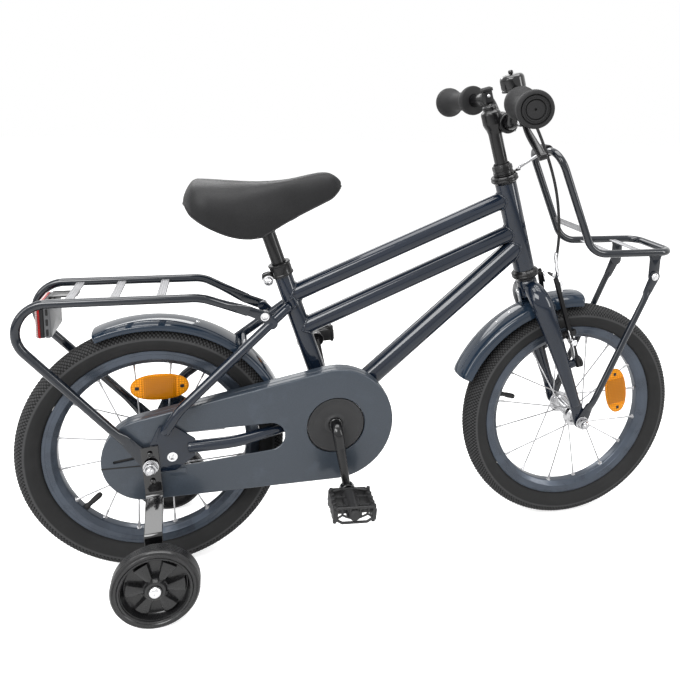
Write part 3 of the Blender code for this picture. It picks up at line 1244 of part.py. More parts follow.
def build_wheel(centre, name, flange, flange_spread, barrel, bore, hub_ends, valve_angle):
    """Tyre, rim and laced hub of one wheel."""
    half = TYRE_WIDTH / 2
    bead = RIM_WIDTH / 2 - 0.0005
    side = [(TYRE_RADIUS, half * 0.28), (TYRE_RADIUS - 0.0040, half * 0.72), (TYRE_RADIUS - 0.0135, half),
            (TYRE_RADIUS - 0.028, half * 0.88), (RIM_RADIUS + GAP, bead)]
    tyre = [(r, -h) for r, h in side] + [(r, h) for r, h in reversed(side)]
    axle = facing(LEFT, centre)
    keep(turned(tyre, axle, 40, ring=True), name + "_tyre", (0.020, 0.020, 0.021), 0.85)

    rim_half = RIM_WIDTH / 2
    waist = rim_half * 0.55
    wall = RIM_WALL
    well = RIM_INNER + wall
    rim = [(RIM_RADIUS, rim_half), (RIM_INNER + 0.006, rim_half), (RIM_INNER, waist), (RIM_INNER, -waist),
           (RIM_INNER + 0.006, -rim_half), (RIM_RADIUS, -rim_half), (RIM_RADIUS, wall - rim_half),
           (well, wall - waist), (well, waist - wall), (RIM_RADIUS, rim_half - wall)]
    wheel_rim = turned(rim[::-1], axle, 40, ring=True)
    valve_way = Vector((math.cos(valve_angle), 0, math.sin(valve_angle)))
    valve_tip = centre + valve_way * (RIM_INNER - 0.030)
    valve = rod(centre + valve_way * (RIM_INNER + 0.001), valve_tip, 0.0032, 8)
    keep(join(wheel_rim, valve), name + "_rim", PAINT, 0.35, 0.5)

    left_end, right_end = hub_ends
    profile = [(bore, left_end), (0.008, left_end), (0.010, flange_spread + 0.0015),
               (flange, flange_spread + 0.0015),
               (flange, flange_spread - 0.0015), (barrel, flange_spread - 0.002),
               (barrel, -flange_spread + 0.002), (flange, -flange_spread + 0.0015),
               (flange, -flange_spread - 0.0015), (0.010, -flange_spread - 0.0015), (0.008, -right_end),
               (bore, -right_end)]
    hub = turned(profile, axle, 14, ring=True)
    join(hub, spokes(centre, flange, flange_spread))
    keep(hub, name + "_hub", CHROME, 0.25, 1.0)


def spokes(centre, flange, flange_spread):
    """All spokes of a wheel in one helper mesh, each from its flange to just short of the rim."""
    bm = bmesh.new()
    for number in range(SPOKES):
        side = 1 if number % 2 == 0 else -1
        lean = SPOKE_LEAN if (number // 2) % 2 == 0 else -SPOKE_LEAN
        angle = 2 * math.pi * (number + 0.5) / SPOKES
        root = angle + lean * 2
        start = Vector((math.cos(root) * (flange - 0.003), side * flange_spread,
                        math.sin(root) * (flange - 0.003)))
        reach = RIM_INNER - 0.0006
        end = Vector((math.cos(angle) * reach, side * 0.003, math.sin(angle) * reach))
        matrix = facing((end - start).normalized(), (start + end) / 2)
        bmesh.ops.create_cone(bm, cap_ends=True, segments=4, radius1=SPOKE_RADIUS,
                              radius2=SPOKE_RADIUS, depth=(end - start).length, matrix=matrix)
    mesh = bpy.data.meshes.new("spokes")
    bm.to_mesh(mesh)
    bm.free()
    obj = bpy.data.objects.new("spokes", mesh)
    link_to(obj, PARTS)
    obj.location = centre
    return obj


def build_axles():
    reach = FRONT_NUT + 0.016
    rod_front = rod(FRONT - LEFT * reach, FRONT + LEFT * reach, FRONT_AXLE_RADIUS, 12)
    for side in (1, -1):
        join(rod_front, *nut(FRONT, side, FRONT_NUT, 0.0085, 0.0095))
    keep(rod_front, "front_axle", CHROME, 0.25, 1.0)

    reach = REAR_NUT + 0.017
    rod_rear = rod(REAR - LEFT * reach, REAR + LEFT * reach, REAR_AXLE_RADIUS, 12)
    for side in (1, -1):
        join(rod_rear, *nut(REAR, side, REAR_NUT, 0.0088, 0.0092))
    arm_middle = REAR_SPACING / 2 - GAP - 0.00175
    outline = capsule((0, 0), (COASTER_ARM, -0.004), 0.011, 0.006, 6)
    brake_arm = slab([outline], 0.0035, side_view(REAR, arm_middle))
    keep(join(rod_rear, brake_arm), "rear_axle", CHROME, 0.25, 1.0)


def nut(centre, side, start, radius, washer):
    """Hexagon nut on its washer, as two shapes to join to an axle."""
    face = centre + LEFT * side * start
    disc = rod(face, face + LEFT * side * 0.002, washer, 12)
    hexagon = rod(face + LEFT * side * 0.0015, face + LEFT * side * 0.011, radius, 6)
    return disc, hexagon


def brake_arm_place(side, up, left, ahead=0.0):
    return steer(BRAKE_PIVOT_HEIGHT + up, BRAKE_ARM_AHEAD + BRAKE_ARM_THICKNESS / 2 + ahead, side * left)


def build_brake():
    for side, name in ((1, "left"), (-1, "right")):
        pivot = brake_arm_place(side, 0, BRAKE_PIVOT_SPREAD)
        top_spread = BRAKE_TOP_SPREAD
        spots = ((-0.006, BRAKE_PIVOT_SPREAD + 0.001, 0.0085), (0.008, BRAKE_PIVOT_SPREAD, 0.0085),
                 (0.035, BRAKE_PIVOT_SPREAD - 0.001, 0.0055), (0.075, BRAKE_PIVOT_SPREAD - 0.006, 0.0038),
                 (BRAKE_ARM_LENGTH, top_spread, 0.0036))
        outline = [(side * (left + wide), up) for up, left, wide in spots]
        outline += [(side * (left - wide), up) for up, left, wide in reversed(spots)]
        view = upright(LEFT, STEER_UP, steer(BRAKE_PIVOT_HEIGHT, BRAKE_ARM_AHEAD + BRAKE_ARM_THICKNESS / 2))
        arm = slab([outline], BRAKE_ARM_THICKNESS, view)
        hole = rod(pivot - STEER_AHEAD * 0.01, pivot + STEER_AHEAD * 0.01, 0.0040, 12)
        pad_up = pad_height()
        pad_in = RIM_WIDTH / 2 + PAD_CLEARANCE
        pad_middle = brake_arm_place(side, pad_up, pad_in + PAD_THICKNESS / 2)
        pad = bevel(block((PAD_THICKNESS, 0.0095, PAD_LENGTH), upright(LEFT, STEER_UP, pad_middle)), 0.0015)
        post_start = brake_arm_place(side, pad_up, pad_in + PAD_THICKNESS - 0.002)
        post_end = brake_arm_place(side, pad_up, BRAKE_PIVOT_SPREAD + 0.008)
        post = rod(post_start, post_end, 0.0038, 10)
        keep(cut(join(arm, pad, post), hole), "brake_arm_" + name, BLACK, 0.4, 0.3)


def pad_height():
    """Height of the pads above the pivot, at the middle of the rim wall."""
    wall_middle = RIM_RADIUS - 0.0105
    ahead = BRAKE_ARM_AHEAD + BRAKE_ARM_THICKNESS / 2 - FORK_OFFSET
    return math.sqrt(wall_middle ** 2 - ahead ** 2) - BRAKE_PIVOT_HEIGHT


def build_cable():
    """Brake cable from the lever barrel down to the noodle and across to the left arm."""
    start = lever_point(LEVER_PLACE - BARREL_LENGTH - 0.0008, BARREL_DROP)
    top = BRAKE_PIVOT_HEIGHT + BRAKE_ARM_LENGTH
    front_face = BRAKE_ARM_AHEAD + BRAKE_ARM_THICKNESS + 0.0045
    level = BAR_LEVEL + BAR_RISE - BARREL_DROP
    knots = [start, start + LEFT * 0.009 - STEER_UP * 0.001 + STEER_AHEAD * 0.0045,
             steer(level - 0.006, BAR_REACH + 0.019, -0.050),
             steer(level - 0.024, BAR_REACH + 0.034, -0.040),
             steer(LOCKNUT_TOP - 0.012, 0.070, -0.031), steer(HEAD_TOP - 0.040, 0.0744, -0.026),
             steer(top + 0.080, 0.066, -0.025), steer(top + 0.030, front_face + 0.002, -0.025),
             steer(top + 0.010, front_face, -0.0245), steer(top + 0.001, front_face, -0.018),
             steer(top - 0.001, front_face, -0.008)]
    points = smooth_route(knots, 3)
    housing = pipe(points, CABLE_RADIUS, resolution=1)
    ferrule = rod(steer(top + 0.042, front_face + 0.0030, -0.025),
                  steer(top + 0.020, front_face + 0.0006, -0.0248), 0.0034, 8)
    wire_end = steer(top - 0.001, front_face, BRAKE_TOP_SPREAD - 0.002)
    wire = rod(points[-1] - LEFT * 0.002, wire_end, 0.0009, 6)
    boot = rod(points[-1] - LEFT * 0.001, points[-1] + LEFT * 0.020, 0.0034, 8, end_radius=0.0022)
    keep(join(housing, ferrule, wire, boot), "brake_cable", BLACK, 0.5)


def build_post():
    low = seat(SEAT_TUBE_LENGTH - POST_INSERT)
    high = seat(POST_TOP)
    length = (high - low).length
    post = turned([(0, length), (POST_RADIUS - 0.001, length), (POST_RADIUS, length - 0.001),
                   (POST_RADIUS, 0.001), (POST_RADIUS - 0.001, 0), (0, 0)], facing(SEAT_UP, low), 20)
    collar = rod(high - SEAT_UP * 0.004, high + SEAT_UP * 0.018, 0.0125, 16)
    grip_middle = high + SEAT_UP * 0.020
    jaws = rod(grip_middle - LEFT * 0.020, grip_middle + LEFT * 0.020, 0.009, 12)
    keep(join(post, collar, jaws), "seat_post", BLACK, 0.3, 0.4)


def saddle_shape(share):
    """Half width, top and lower edge of the saddle at a share of its length from the rear."""
    rear = SADDLE_WIDTH / 2
    nose = SADDLE_NOSE_WIDTH / 2
    ease = 0.5 - 0.5 * math.cos(math.pi * min(max((share - 0.22) / 0.52, 0), 1))
    half = rear + (nose - rear) * ease
    half *= math.sqrt(max(1 - max(0.16 - share, 0) ** 2 / 0.16 ** 2 * 0.82, 0.05))
    half *= math.sqrt(max(1 - max(share - 0.90, 0) ** 2 / 0.10 ** 2 * 0.80, 0.05))
    top = SADDLE_HEIGHT + 0.004 * math.cos(2 * math.pi * share) + 0.016 * share ** 1.5
    top -= 0.020 * max(0.09 - share, 0) ** 2 / 0.09 ** 2
    top -= 0.032 * max(share - 0.84, 0) ** 2 / 0.16 ** 2
    middle_low = -0.001
    edge = middle_low + (0.043 - middle_low) * max(0.42 - share, 0) ** 1.7 / 0.42 ** 1.7
    edge += (0.062 - middle_low) * max(share - 0.48, 0) / 0.52
    return half, top, min(edge, top - 0.009 - 0.016 * (1 - share))


def build_saddle():
    """Soft saddle: a crowned top, sides that draw in and a hollow underside."""
    origin = seat(POST_TOP)
    stations = 15
    across = 14
    rings = []
    for station in range(stations):
        share = station / (stations - 1)
        half, top, edge = saddle_shape(share)
        x = origin.x - SADDLE_BACK + SADDLE_LENGTH * share
        depth = top - edge
        ring = []
        for number in range(across + 1):
            angle = math.pi * number / across
            wide = math.copysign(abs(math.cos(angle)) ** 0.72, math.cos(angle))
            pull = 1 - 0.10 * (1 - math.sin(angle)) ** 2
            ring.append(Vector((x, half * wide * pull, origin.z + edge + depth * math.sin(angle) ** 0.80)))
        hollow = min(SADDLE_WALL, half * 0.45)
        roof = depth - SADDLE_WALL * 1.6
        for number in range(1, across // 2):
            angle = math.pi * (1 - number / (across // 2))
            wide = math.cos(angle) * (half - hollow)
            lift = max(math.sin(angle), 0) ** 0.6 * roof
            cover = 0.0 if share < 0.12 or share > 0.86 else lift
            ring.append(Vector((x, wide, origin.z + edge + cover + 0.0004)))
        rings.append(ring)
    saddle = loft(rings)
    keep(saddle, "saddle", BLACK, 0.55, angle=60)


def main():
    clear_scene()
    build_frame()
    build_seat_clamp()
    build_fork()
    build_headset_top()
    build_stem()
    build_handlebar()
    build_bell()
    build_brake_lever()
    build_front_rack()
    build_front_struts()
    build_rack_stay()
    build_mudguards()
    build_rear_rack()
    build_reflector()
    build_chain_case()
    build_drive()
    build_crank()
    build_stabilisers()
    build_wheel(FRONT, "front", FLANGE_RADIUS, FLANGE_SPREAD, 0.013, FRONT_AXLE_RADIUS + 0.0005,
                (FRONT_SPACING / 2 - GAP, FRONT_SPACING / 2 - GAP), FRONT_VALVE_ANGLE)
    build_wheel(REAR, "rear", REAR_FLANGE_RADIUS, FLANGE_SPREAD - 0.003, 0.021, REAR_AXLE_RADIUS + 0.0005,
                (REAR_SPACING / 2 - 0.005, CHAIN_LINE - 0.006 - GAP), REAR_VALVE_ANGLE)
    build_axles()
    build_brake()
    build_cable()
    build_post()
    build_saddle()


main()
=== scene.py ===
import json
import math
import bpy
import bmesh
import numpy as np
from mathutils import Matrix, Vector

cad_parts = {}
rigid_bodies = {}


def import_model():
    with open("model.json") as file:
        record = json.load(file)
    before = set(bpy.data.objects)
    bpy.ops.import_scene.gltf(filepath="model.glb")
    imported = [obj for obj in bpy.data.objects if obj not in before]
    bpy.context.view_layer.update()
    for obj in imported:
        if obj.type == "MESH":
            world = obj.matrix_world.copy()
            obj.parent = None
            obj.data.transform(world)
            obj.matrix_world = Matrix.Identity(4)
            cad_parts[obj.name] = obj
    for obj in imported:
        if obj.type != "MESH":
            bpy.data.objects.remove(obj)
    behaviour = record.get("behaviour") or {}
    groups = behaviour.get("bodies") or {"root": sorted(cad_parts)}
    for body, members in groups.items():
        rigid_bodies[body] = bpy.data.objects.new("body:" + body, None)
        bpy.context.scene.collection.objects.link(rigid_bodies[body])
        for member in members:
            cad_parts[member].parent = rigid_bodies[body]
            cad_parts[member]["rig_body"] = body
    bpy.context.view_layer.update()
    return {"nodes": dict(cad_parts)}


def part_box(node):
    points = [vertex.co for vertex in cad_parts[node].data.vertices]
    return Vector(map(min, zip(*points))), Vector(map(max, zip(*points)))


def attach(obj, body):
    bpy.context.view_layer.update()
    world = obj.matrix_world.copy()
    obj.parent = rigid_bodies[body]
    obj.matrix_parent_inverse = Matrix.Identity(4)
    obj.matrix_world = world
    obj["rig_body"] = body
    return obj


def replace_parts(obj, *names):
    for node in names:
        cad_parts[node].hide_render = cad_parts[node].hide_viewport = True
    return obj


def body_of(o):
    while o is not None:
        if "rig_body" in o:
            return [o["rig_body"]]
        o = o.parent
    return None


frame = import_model()

# Sizes that several pieces share, in metres, as in the part's own source
bike = {
    "rear": (-0.357, 0.0, 0.2),
    "front": (0.357, 0.0, 0.2),
    "bracket": (-0.078, 0.0, 0.234),
    "seatAngle": 18.7,
    "headAngle": 16.3,
    "forkOffset": 0.0236,
    "tyreRadius": 0.2,
    "headBottom": 0.2857,
    "headTop": 0.4417,
    "crownTop": 0.2674,
    "locknutTop": 0.4751,
    "barLevel": 0.5391,
    "seatTube": 0.262,
}


def vec(x, y, z):
    return np.array((x, y, z), float)


def unit(v):
    v = np.asarray(v, float)
    return v / np.linalg.norm(v, axis=-1, keepdims=True)


def swung(turn):  # the way at this turn from ahead towards up
    return vec(math.cos(turn), 0, math.sin(turn))


rearHub = vec(*bike["rear"])
frontHub = vec(*bike["front"])
bracket = vec(*bike["bracket"])
left = vec(0, 1, 0)
ahead = vec(1, 0, 0)
up = vec(0, 0, 1)
seatAhead = swung(math.radians(bike["seatAngle"]))
seatUp = vec(-seatAhead[2], 0, seatAhead[0])
steerAhead = swung(math.radians(bike["headAngle"]))
steerUp = vec(-steerAhead[2], 0, steerAhead[0])
steerFoot = frontHub - bike["forkOffset"] * steerAhead
sides = ((1, "left"), (-1, "right"))


def steer(along, forward=0.0, side=0.0):  # a point from its height along the steering line
    return steerFoot + steerUp * along + steerAhead * forward + left * side


def seat(along, forward=0.0, side=0.0):  # a point from its distance up the seat tube
    return bracket + seatUp * along + seatAhead * forward + left * side


# Shapes: each returns a shell, which is its points and its faces

def grid(points, loopU=False, caps=False):
    # Faces of a grid of points whose rows are rings; loopU joins the last ring to the first
    rows, columns = points.shape[:2]
    index = np.arange(rows * columns).reshape(rows, columns)
    a = index if loopU else index[:-1]
    b = np.roll(index, -1, 0) if loopU else index[1:]
    faces = np.stack([a, b, np.roll(b, -1, 1), np.roll(a, -1, 1)], -1).reshape(-1, 4).tolist()
    if caps:
        faces += [index[0, ::-1].tolist(), index[-1].tolist()]
    return points.reshape(-1, 3), faces


def joined(*shells):
    points, faces, count = [], [], 0
    for verts, polygons in shells:
        points.append(verts)
        faces += [[i + count for i in polygon] for polygon in polygons]
        count += len(verts)
    return np.vstack(points), faces


def moved(shell, matrix):  # a shell carried by a 4 x 4 matrix
    return shell[0] @ matrix[:3, :3].T + matrix[:3, 3], shell[1]


def axes(xAxis, yAxis, zAxis, origin):
    turn = np.eye(4)
    turn[:3, 0], turn[:3, 1], turn[:3, 2], turn[:3, 3] = xAxis, yAxis, zAxis, origin
    return turn


def flat(first, second, origin):  # a frame from its first two axes
    return axes(first, second, np.cross(first, second), origin)


def facing(axis, origin):  # a frame whose z runs along the axis
    axis = unit(axis)
    first = unit(np.cross(left if abs(axis[1]) < 0.9 else ahead, axis))
    return axes(first, np.cross(axis, first), axis, origin)


def shifted(matrix, z, x=0.0, y=0.0):  # the same frame, its origin moved along its own axes
    made = matrix.copy()
    made[:3, 3] = matrix[:3, 3] + matrix[:3, 0] * x + matrix[:3, 1] * y + matrix[:3, 2] * z
    return made


def onCircle(turn):
    return np.stack([np.cos(turn), np.sin(turn)], -1)


def circle(radius, steps):
    return onCircle(np.arange(steps) * 2 * math.pi / steps) * radius


def arc(radius, start, end, steps):  # from one angle to another, in degrees
    return radius * onCircle(np.radians(np.linspace(start, end, steps)))


def ease(share):  # from 0 to 1 with a slow start and a slow end
    return 0.5 - 0.5 * np.cos(math.pi * np.clip(share, 0, 1))


def raised(outline, height):  # flat points at a height
    return np.column_stack([outline, np.full(len(outline), height)])


def runAlong(path):  # distance from the path's start to each of its points
    return np.concatenate([[0], np.cumsum(np.linalg.norm(np.diff(path, axis=0), axis=1))])


def roundedPath(corners, radii, step=6.0, loop=False):
    # A path through corners in which each corner is an arc of its own bend radius
    corners = [np.asarray(c, float) for c in corners]
    points, count = [], len(corners)
    for i, corner in enumerate(corners):
        if radii[i] == 0 or (not loop and i in (0, count - 1)):
            points.append(corner[None])
            continue
        back = unit(corners[i - 1] - corner)
        on = unit(corners[(i + 1) % count] - corner)
        turn = math.pi - math.acos(float(np.clip(back @ on, -1, 1)))
        reach = radii[i] * math.tan(turn / 2)
        centre = corner + unit(back + on) * radii[i] / math.cos(turn / 2)
        first = unit(corner + back * reach - centre)
        angle = np.linspace(0, turn, max(3, int(round(math.degrees(turn) / step)) + 1))[:, None]
        points.append(centre + radii[i] * (first * np.cos(angle) - back * np.sin(angle)))
    return np.vstack(points)


def smoothRoute(knots, pieces=8):
    # Catmull-Rom curve: each span blends its two ends with the slopes of their neighbours
    knots = np.asarray(knots, float)
    start, end = knots[:-1], knots[1:]
    before, after = np.vstack([knots[:1], knots[:-2]]), np.vstack([knots[2:], knots[-1:]])
    t = (np.arange(pieces) / pieces)[None, :, None]
    start, end, before, after = (k[:, None] for k in (start, end, before, after))
    curve = 0.5 * (2 * start + (end - before) * t + (2 * before - 5 * start + 4 * end - after) * t ** 2
        + (3 * start - before - 3 * end + after) * t ** 3)
    return np.vstack([curve.reshape(-1, knots.shape[1]), knots[-1:]])


def denser(path, step):  # the same path with points no further apart than the step
    path = np.asarray(path, float)
    run = runAlong(path)
    at = np.union1d(np.linspace(0, run[-1], max(2, int(run[-1] / step) + 1)), run)
    return np.stack([np.interp(at, run, path[:, k]) for k in range(path.shape[1])], -1)


def travel(path, side, loop=False):
    # Unit ways at each point: along the path, outward (across the path and the side) and sideways
    along = unit(np.roll(path, -1, 0) - np.roll(path, 1, 0) if loop else np.gradient(path, axis=0))
    outward = unit(np.cross(along, np.broadcast_to(side, path.shape)))
    return along, outward, np.cross(outward, along)


def sweep(path, section, side=left, loop=False):  # a section of (outward, sideways) offsets along a path
    section = np.asarray(section, float)
    if section.ndim == 2:
        section = section[None]
    _, outward, sideways = travel(path, side, loop)
    return path[:, None] + section[..., :1] * outward[:, None] + section[..., 1:] * sideways[:, None]


def ovals(ring, wide, thick):  # sections whose half widths change along a path
    return np.stack([ring[None, :, 0] * wide[:, None], ring[None, :, 1] * thick[:, None]], -1)


def tube(path, radius, side=left, steps=28, loop=False, edge=0.0006, stretch=1.0):
    # Round section along a path, stretched along the side, with a rounded edge and a flat face at each end
    count = len(path)
    thick = np.broadcast_to(np.asarray(radius, float), count)
    if loop:
        return grid(sweep(path, circle(1, steps)[None] * thick[:, None, None], side, True), True)
    order = np.r_[0, 0, 0, 0, np.arange(1, count - 1), [count - 1] * 4]
    scale = np.concatenate([[0], thick[0] - edge * np.array([1, 0.3, 0]), thick[1:-1],
        thick[-1] - edge * np.array([0, 0.3, 1]), [0]])
    start = np.array([0, 0, 0.3, 1]) * edge
    slide = np.concatenate([start, np.zeros(count - 2), -start[::-1]])
    along, outward, sideways = travel(path, side)
    sideways = sideways * np.broadcast_to(np.asarray(stretch, float), count)[:, None]
    ring = circle(1, steps)
    path, along, outward, sideways = (a[order] for a in (path, along, outward, sideways))
    points = ((path + along * slide[:, None])[:, None]
        + scale[:, None, None] * (ring[None, :, :1] * outward[:, None]
        + ring[None, :, 1:] * sideways[:, None]))
    return grid(points)


def bar(start, end, radius, steps=24, edge=0.0006):
    side = left if abs(unit(end - start)[1]) < 0.9 else ahead
    return tube(np.linspace(start, end, 4), radius, side, steps, edge=edge)


def lathe(profile, matrix, steps=64, loop=False, wave=None):
    # Points of (radius, height) turned round the matrix's z axis
    profile = np.asarray(profile, float)
    turn = np.arange(steps) * 2 * math.pi / steps
    radius, height = np.repeat(profile[:, :1], steps, 1), np.repeat(profile[:, 1:], steps, 1)
    if wave is not None:
        radius, height = wave(radius, height, turn[None])
    return moved(grid(np.stack([radius * np.cos(turn), radius * np.sin(turn), height], -1), loop), matrix)


def softCorners(profile, radius, loop=False):  # round every corner of a flat outline
    profile = np.asarray(profile, float)
    sizes = []
    for i, point in enumerate(profile):
        back, on = profile[i - 1] - point, profile[(i + 1) % len(profile)] - point
        turn = math.pi - math.acos(float(np.clip(unit(back) @ unit(on), -1, 1)))
        most = 0.45 * min(np.linalg.norm(back), np.linalg.norm(on)) / max(math.tan(turn / 2), 0.001)
        sizes.append(min(radius, most) if turn > 0.05 else 0)
    return roundedPath(profile, sizes, 20.0, loop)


def turned(profile, soft, matrix, steps=64, loop=False, wave=None):  # a lathe with rounded corners
    return lathe(softCorners(profile, soft, loop), matrix, steps, loop, wave)


def washer(radius, height, matrix, steps=24):
    return lathe([(0, 0), (radius, 0), (radius, height), (0, height)], matrix, steps)


def plate(outline, thickness, matrix, edge=0.0006, hole=None, crown=0.0, centre=(0, 0)):
    # Star-shaped outline in the matrix's xy plane, its section run from the hole over the rounded edge
    centre = np.asarray(centre, float)
    along = unit(np.roll(outline, -1, 0) - np.roll(outline, 1, 0))
    out = np.stack([along[:, 1], -along[:, 0]], -1)
    if np.sum(out * (outline - centre)) < 0:
        out = -out
    inner = np.repeat(centre[None], len(outline), 0)
    if hole is not None:
        inner = centre + unit(outline - centre) * hole
    half = thickness / 2
    bend = [(math.cos(turn), math.sin(turn)) for turn in np.radians([-90, -45, 0])]
    rows = [raised(inner, -half)]
    rows += [raised(outline - out * edge * (1 - c), -half + edge * (1 + s)) for c, s in bend]
    rows += [raised(outline - out * edge * (1 - c), half - edge * (1 + s)) for c, s in bend[::-1]]
    if crown:
        rows += [raised(centre + (outline - centre) * share, half + crown * (1 - share ** 2))
            for share in (0.8, 0.55, 0.3)]
    rows.append(raised(inner, half + crown))
    return moved(grid(np.array(rows), hole is not None), matrix)


def boxOutline(width, height, radius):
    x, y = width / 2, height / 2
    return denser(roundedPath([(x, y), (-x, y), (-x, -y), (x, -y)], [radius] * 4, 15.0, True), 0.006)


def block(width, height, depth, matrix, radius=0.002, edge=0.0008):
    return plate(boxOutline(width, height, radius), depth, matrix, edge)


def capsule(start, end, startRadius, endRadius, pieces=14):
    # Outline of two round ends and the straight sides that touch both
    start, end = np.asarray(start, float), np.asarray(end, float)
    step = end - start
    aim = math.atan2(step[1], step[0])
    lean = math.acos((startRadius - endRadius) / np.linalg.norm(step))
    return np.vstack([end + endRadius * onCircle(np.linspace(aim - lean, aim + lean, pieces)),
        start + startRadius * onCircle(np.linspace(aim + lean, aim + 2 * math.pi - lean, pieces))])


def link(ends, radii, thickness, matrix, edge=0.0008, hole=None, centre=(0, 0), step=0.002, pieces=14):
    # Flat piece with two round ends
    return plate(denser(capsule(*ends, *radii, pieces), step), thickness, matrix, edge, hole, centre=centre)


def hexNut(across, height, matrix, bore=0.0):
    # Six-sided nut whose corners are turned down at both faces
    turn = np.arange(48) * 2 * math.pi / 48
    sixth = math.pi / 3
    hexagon = across / 2 / np.cos((turn + sixth / 2) % sixth - sixth / 2)
    face = across / 2 * 1.01 * 0.9
    rows = [raised(onCircle(turn) * np.reshape(radius, (-1, 1)), z)
        for radius, z in ((bore, 0), (face, 0), (hexagon, 0.0007), (hexagon, height - 0.0007), (face, height),
        (bore, height))]
    return moved(grid(np.array(rows), bore > 0), matrix)


def domeBolt(radius, height, matrix, socket=0.4):
    # Round-headed bolt with a round recess in its face
    reach = radius * socket
    dome = onCircle(np.linspace(0, math.pi / 2 * 0.9, 7)) * (radius, height)
    profile = [(0, 0), (radius, 0), *dome[dome[:, 0] > reach * 1.1], (reach, height * 0.97),
        (reach, height * 0.4), (0, height * 0.4)]
    return lathe(profile, matrix, 28)


def shown(name, mesh, body, crease):  # an object that rides on a body, with its round faces shaded smooth
    mesh.shade_smooth()
    mesh.set_sharp_from_angle(angle=math.radians(crease))
    made = bpy.data.objects.new(name, mesh)
    bpy.context.scene.collection.objects.link(made)
    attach(made, body)
    return made


def piece(name, body, shells, standsFor=None, crease=38):
    # One object from pairs of a shell, or a list of shells, and its finish; it may stand for a CAD node
    shells = [(joined(*shell) if isinstance(shell, list) else shell, finish) for shell, finish in shells]
    points, faces = joined(*[shell for shell, _ in shells])
    mesh = bpy.data.meshes.new(name)
    mesh.from_pydata(points.tolist(), [], faces)
    finishes, slots = [], []
    for shell, finish in shells:
        if finish not in finishes:
            finishes.append(finish)
            mesh.materials.append(finish)
        slots += [finishes.index(finish)] * len(shell[1])
    mesh.polygons.foreach_set("material_index", slots)
    work = bmesh.new()
    work.from_mesh(mesh)
    bmesh.ops.remove_doubles(work, verts=work.verts, dist=0.000002)
    bmesh.ops.dissolve_degenerate(work, dist=0.000001, edges=work.edges)
    bmesh.ops.recalc_face_normals(work, faces=work.faces)
    work.to_mesh(mesh)
    work.free()
    made = shown(name, mesh, body, crease)
    if standsFor:
        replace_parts(made, standsFor)
    return made


def carried(node, finish):
    # A copy of a CAD node, its loose triangles merged into the faces that they belong to
    source = frame["nodes"][node]
    mesh = source.data.copy()
    work = bmesh.new()
    work.from_mesh(mesh)
    bmesh.ops.remove_doubles(work, verts=work.verts, dist=0.00001)
    bmesh.ops.dissolve_limit(work, angle_limit=math.radians(1.0), verts=work.verts, edges=work.edges)
    work.to_mesh(mesh)
    work.free()
    mesh.materials.clear()
    mesh.materials.append(finish)
    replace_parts(shown(node + "_body", mesh, body_of(source)[0], 32), node)


tones = {
    "frame": (0.0052, 0.01, 0.02),
    "guard": (0.014, 0.025, 0.042),
    "case": (0.036, 0.046, 0.06),
    "black": (0.0038, 0.0038, 0.0043),
    "rack": (0.0055, 0.0085, 0.014),
    "grey": (0.11, 0.113, 0.118),
    "clear": (0.62, 0.48, 0.47),
    "plastic": (0.0085, 0.0085, 0.0092),
    "petal": (0.009, 0.009, 0.0096),
    "pedal": (0.02, 0.02, 0.0208),
    "disc": (0.03, 0.03, 0.031),
    "rubber": (0.017, 0.0171, 0.0175),
    "cover": (0.0115, 0.0115, 0.0123),
    "rim": (0.044, 0.056, 0.076),
    "hub": (0.52, 0.52, 0.53),
    "chrome": (0.78, 0.78, 0.79),
    "steel": (0.46, 0.46, 0.47),
    "strip": (0.3, 0.3, 0.31),
    "orange": (0.92, 0.33, 0.006),
    "amber": (0.6, 0.2, 0.001),
    "red": (0.42, 0.01, 0.01),
    "paper": (0.82, 0.82, 0.82),
}


class Wire:  # a shader value that can be used in sums
    def __init__(self, bench, socket):
        self.bench = bench
        self.socket = socket

    def maths(self, operation, a, b=0.0):
        return self.bench.node("Math", {"operation": operation}, {0: a, 1: b})

    def __add__(self, other):
        return self.maths("ADD", self, other)

    def __sub__(self, other):
        return self.maths("SUBTRACT", self, other)

    def __rsub__(self, other):
        return self.maths("SUBTRACT", other, self)

    def __mul__(self, other):
        return self.maths("MULTIPLY", self, other)

    def __pow__(self, other):
        return self.maths("POWER", self, other)

    __radd__ = __add__
    __rmul__ = __mul__


class Nodes:  # a tree of shader nodes; what is fed into a socket is a value or a wire
    def __init__(self, tree):
        self.tree = tree

    def node(self, kind, settings, inputs, output=0):
        made = self.tree.nodes.new("ShaderNode" + kind)
        for key, value in settings.items():
            setattr(made, key, value)
        self.give(made, inputs)
        return Wire(self, made.outputs[output])

    def give(self, node, inputs):
        for key, value in inputs.items():
            if isinstance(value, Wire):
                self.tree.links.new(value.socket, node.inputs[key])
            else:
                node.inputs[key].default_value = value

    def rays(self, *names):  # 1 for the kinds of ray that are named
        most = 0.0
        for name in names:
            most = self.node("Math", {"operation": "MAXIMUM"},
                {0: most, 1: self.node("LightPath", {}, {}, name)})
        return most


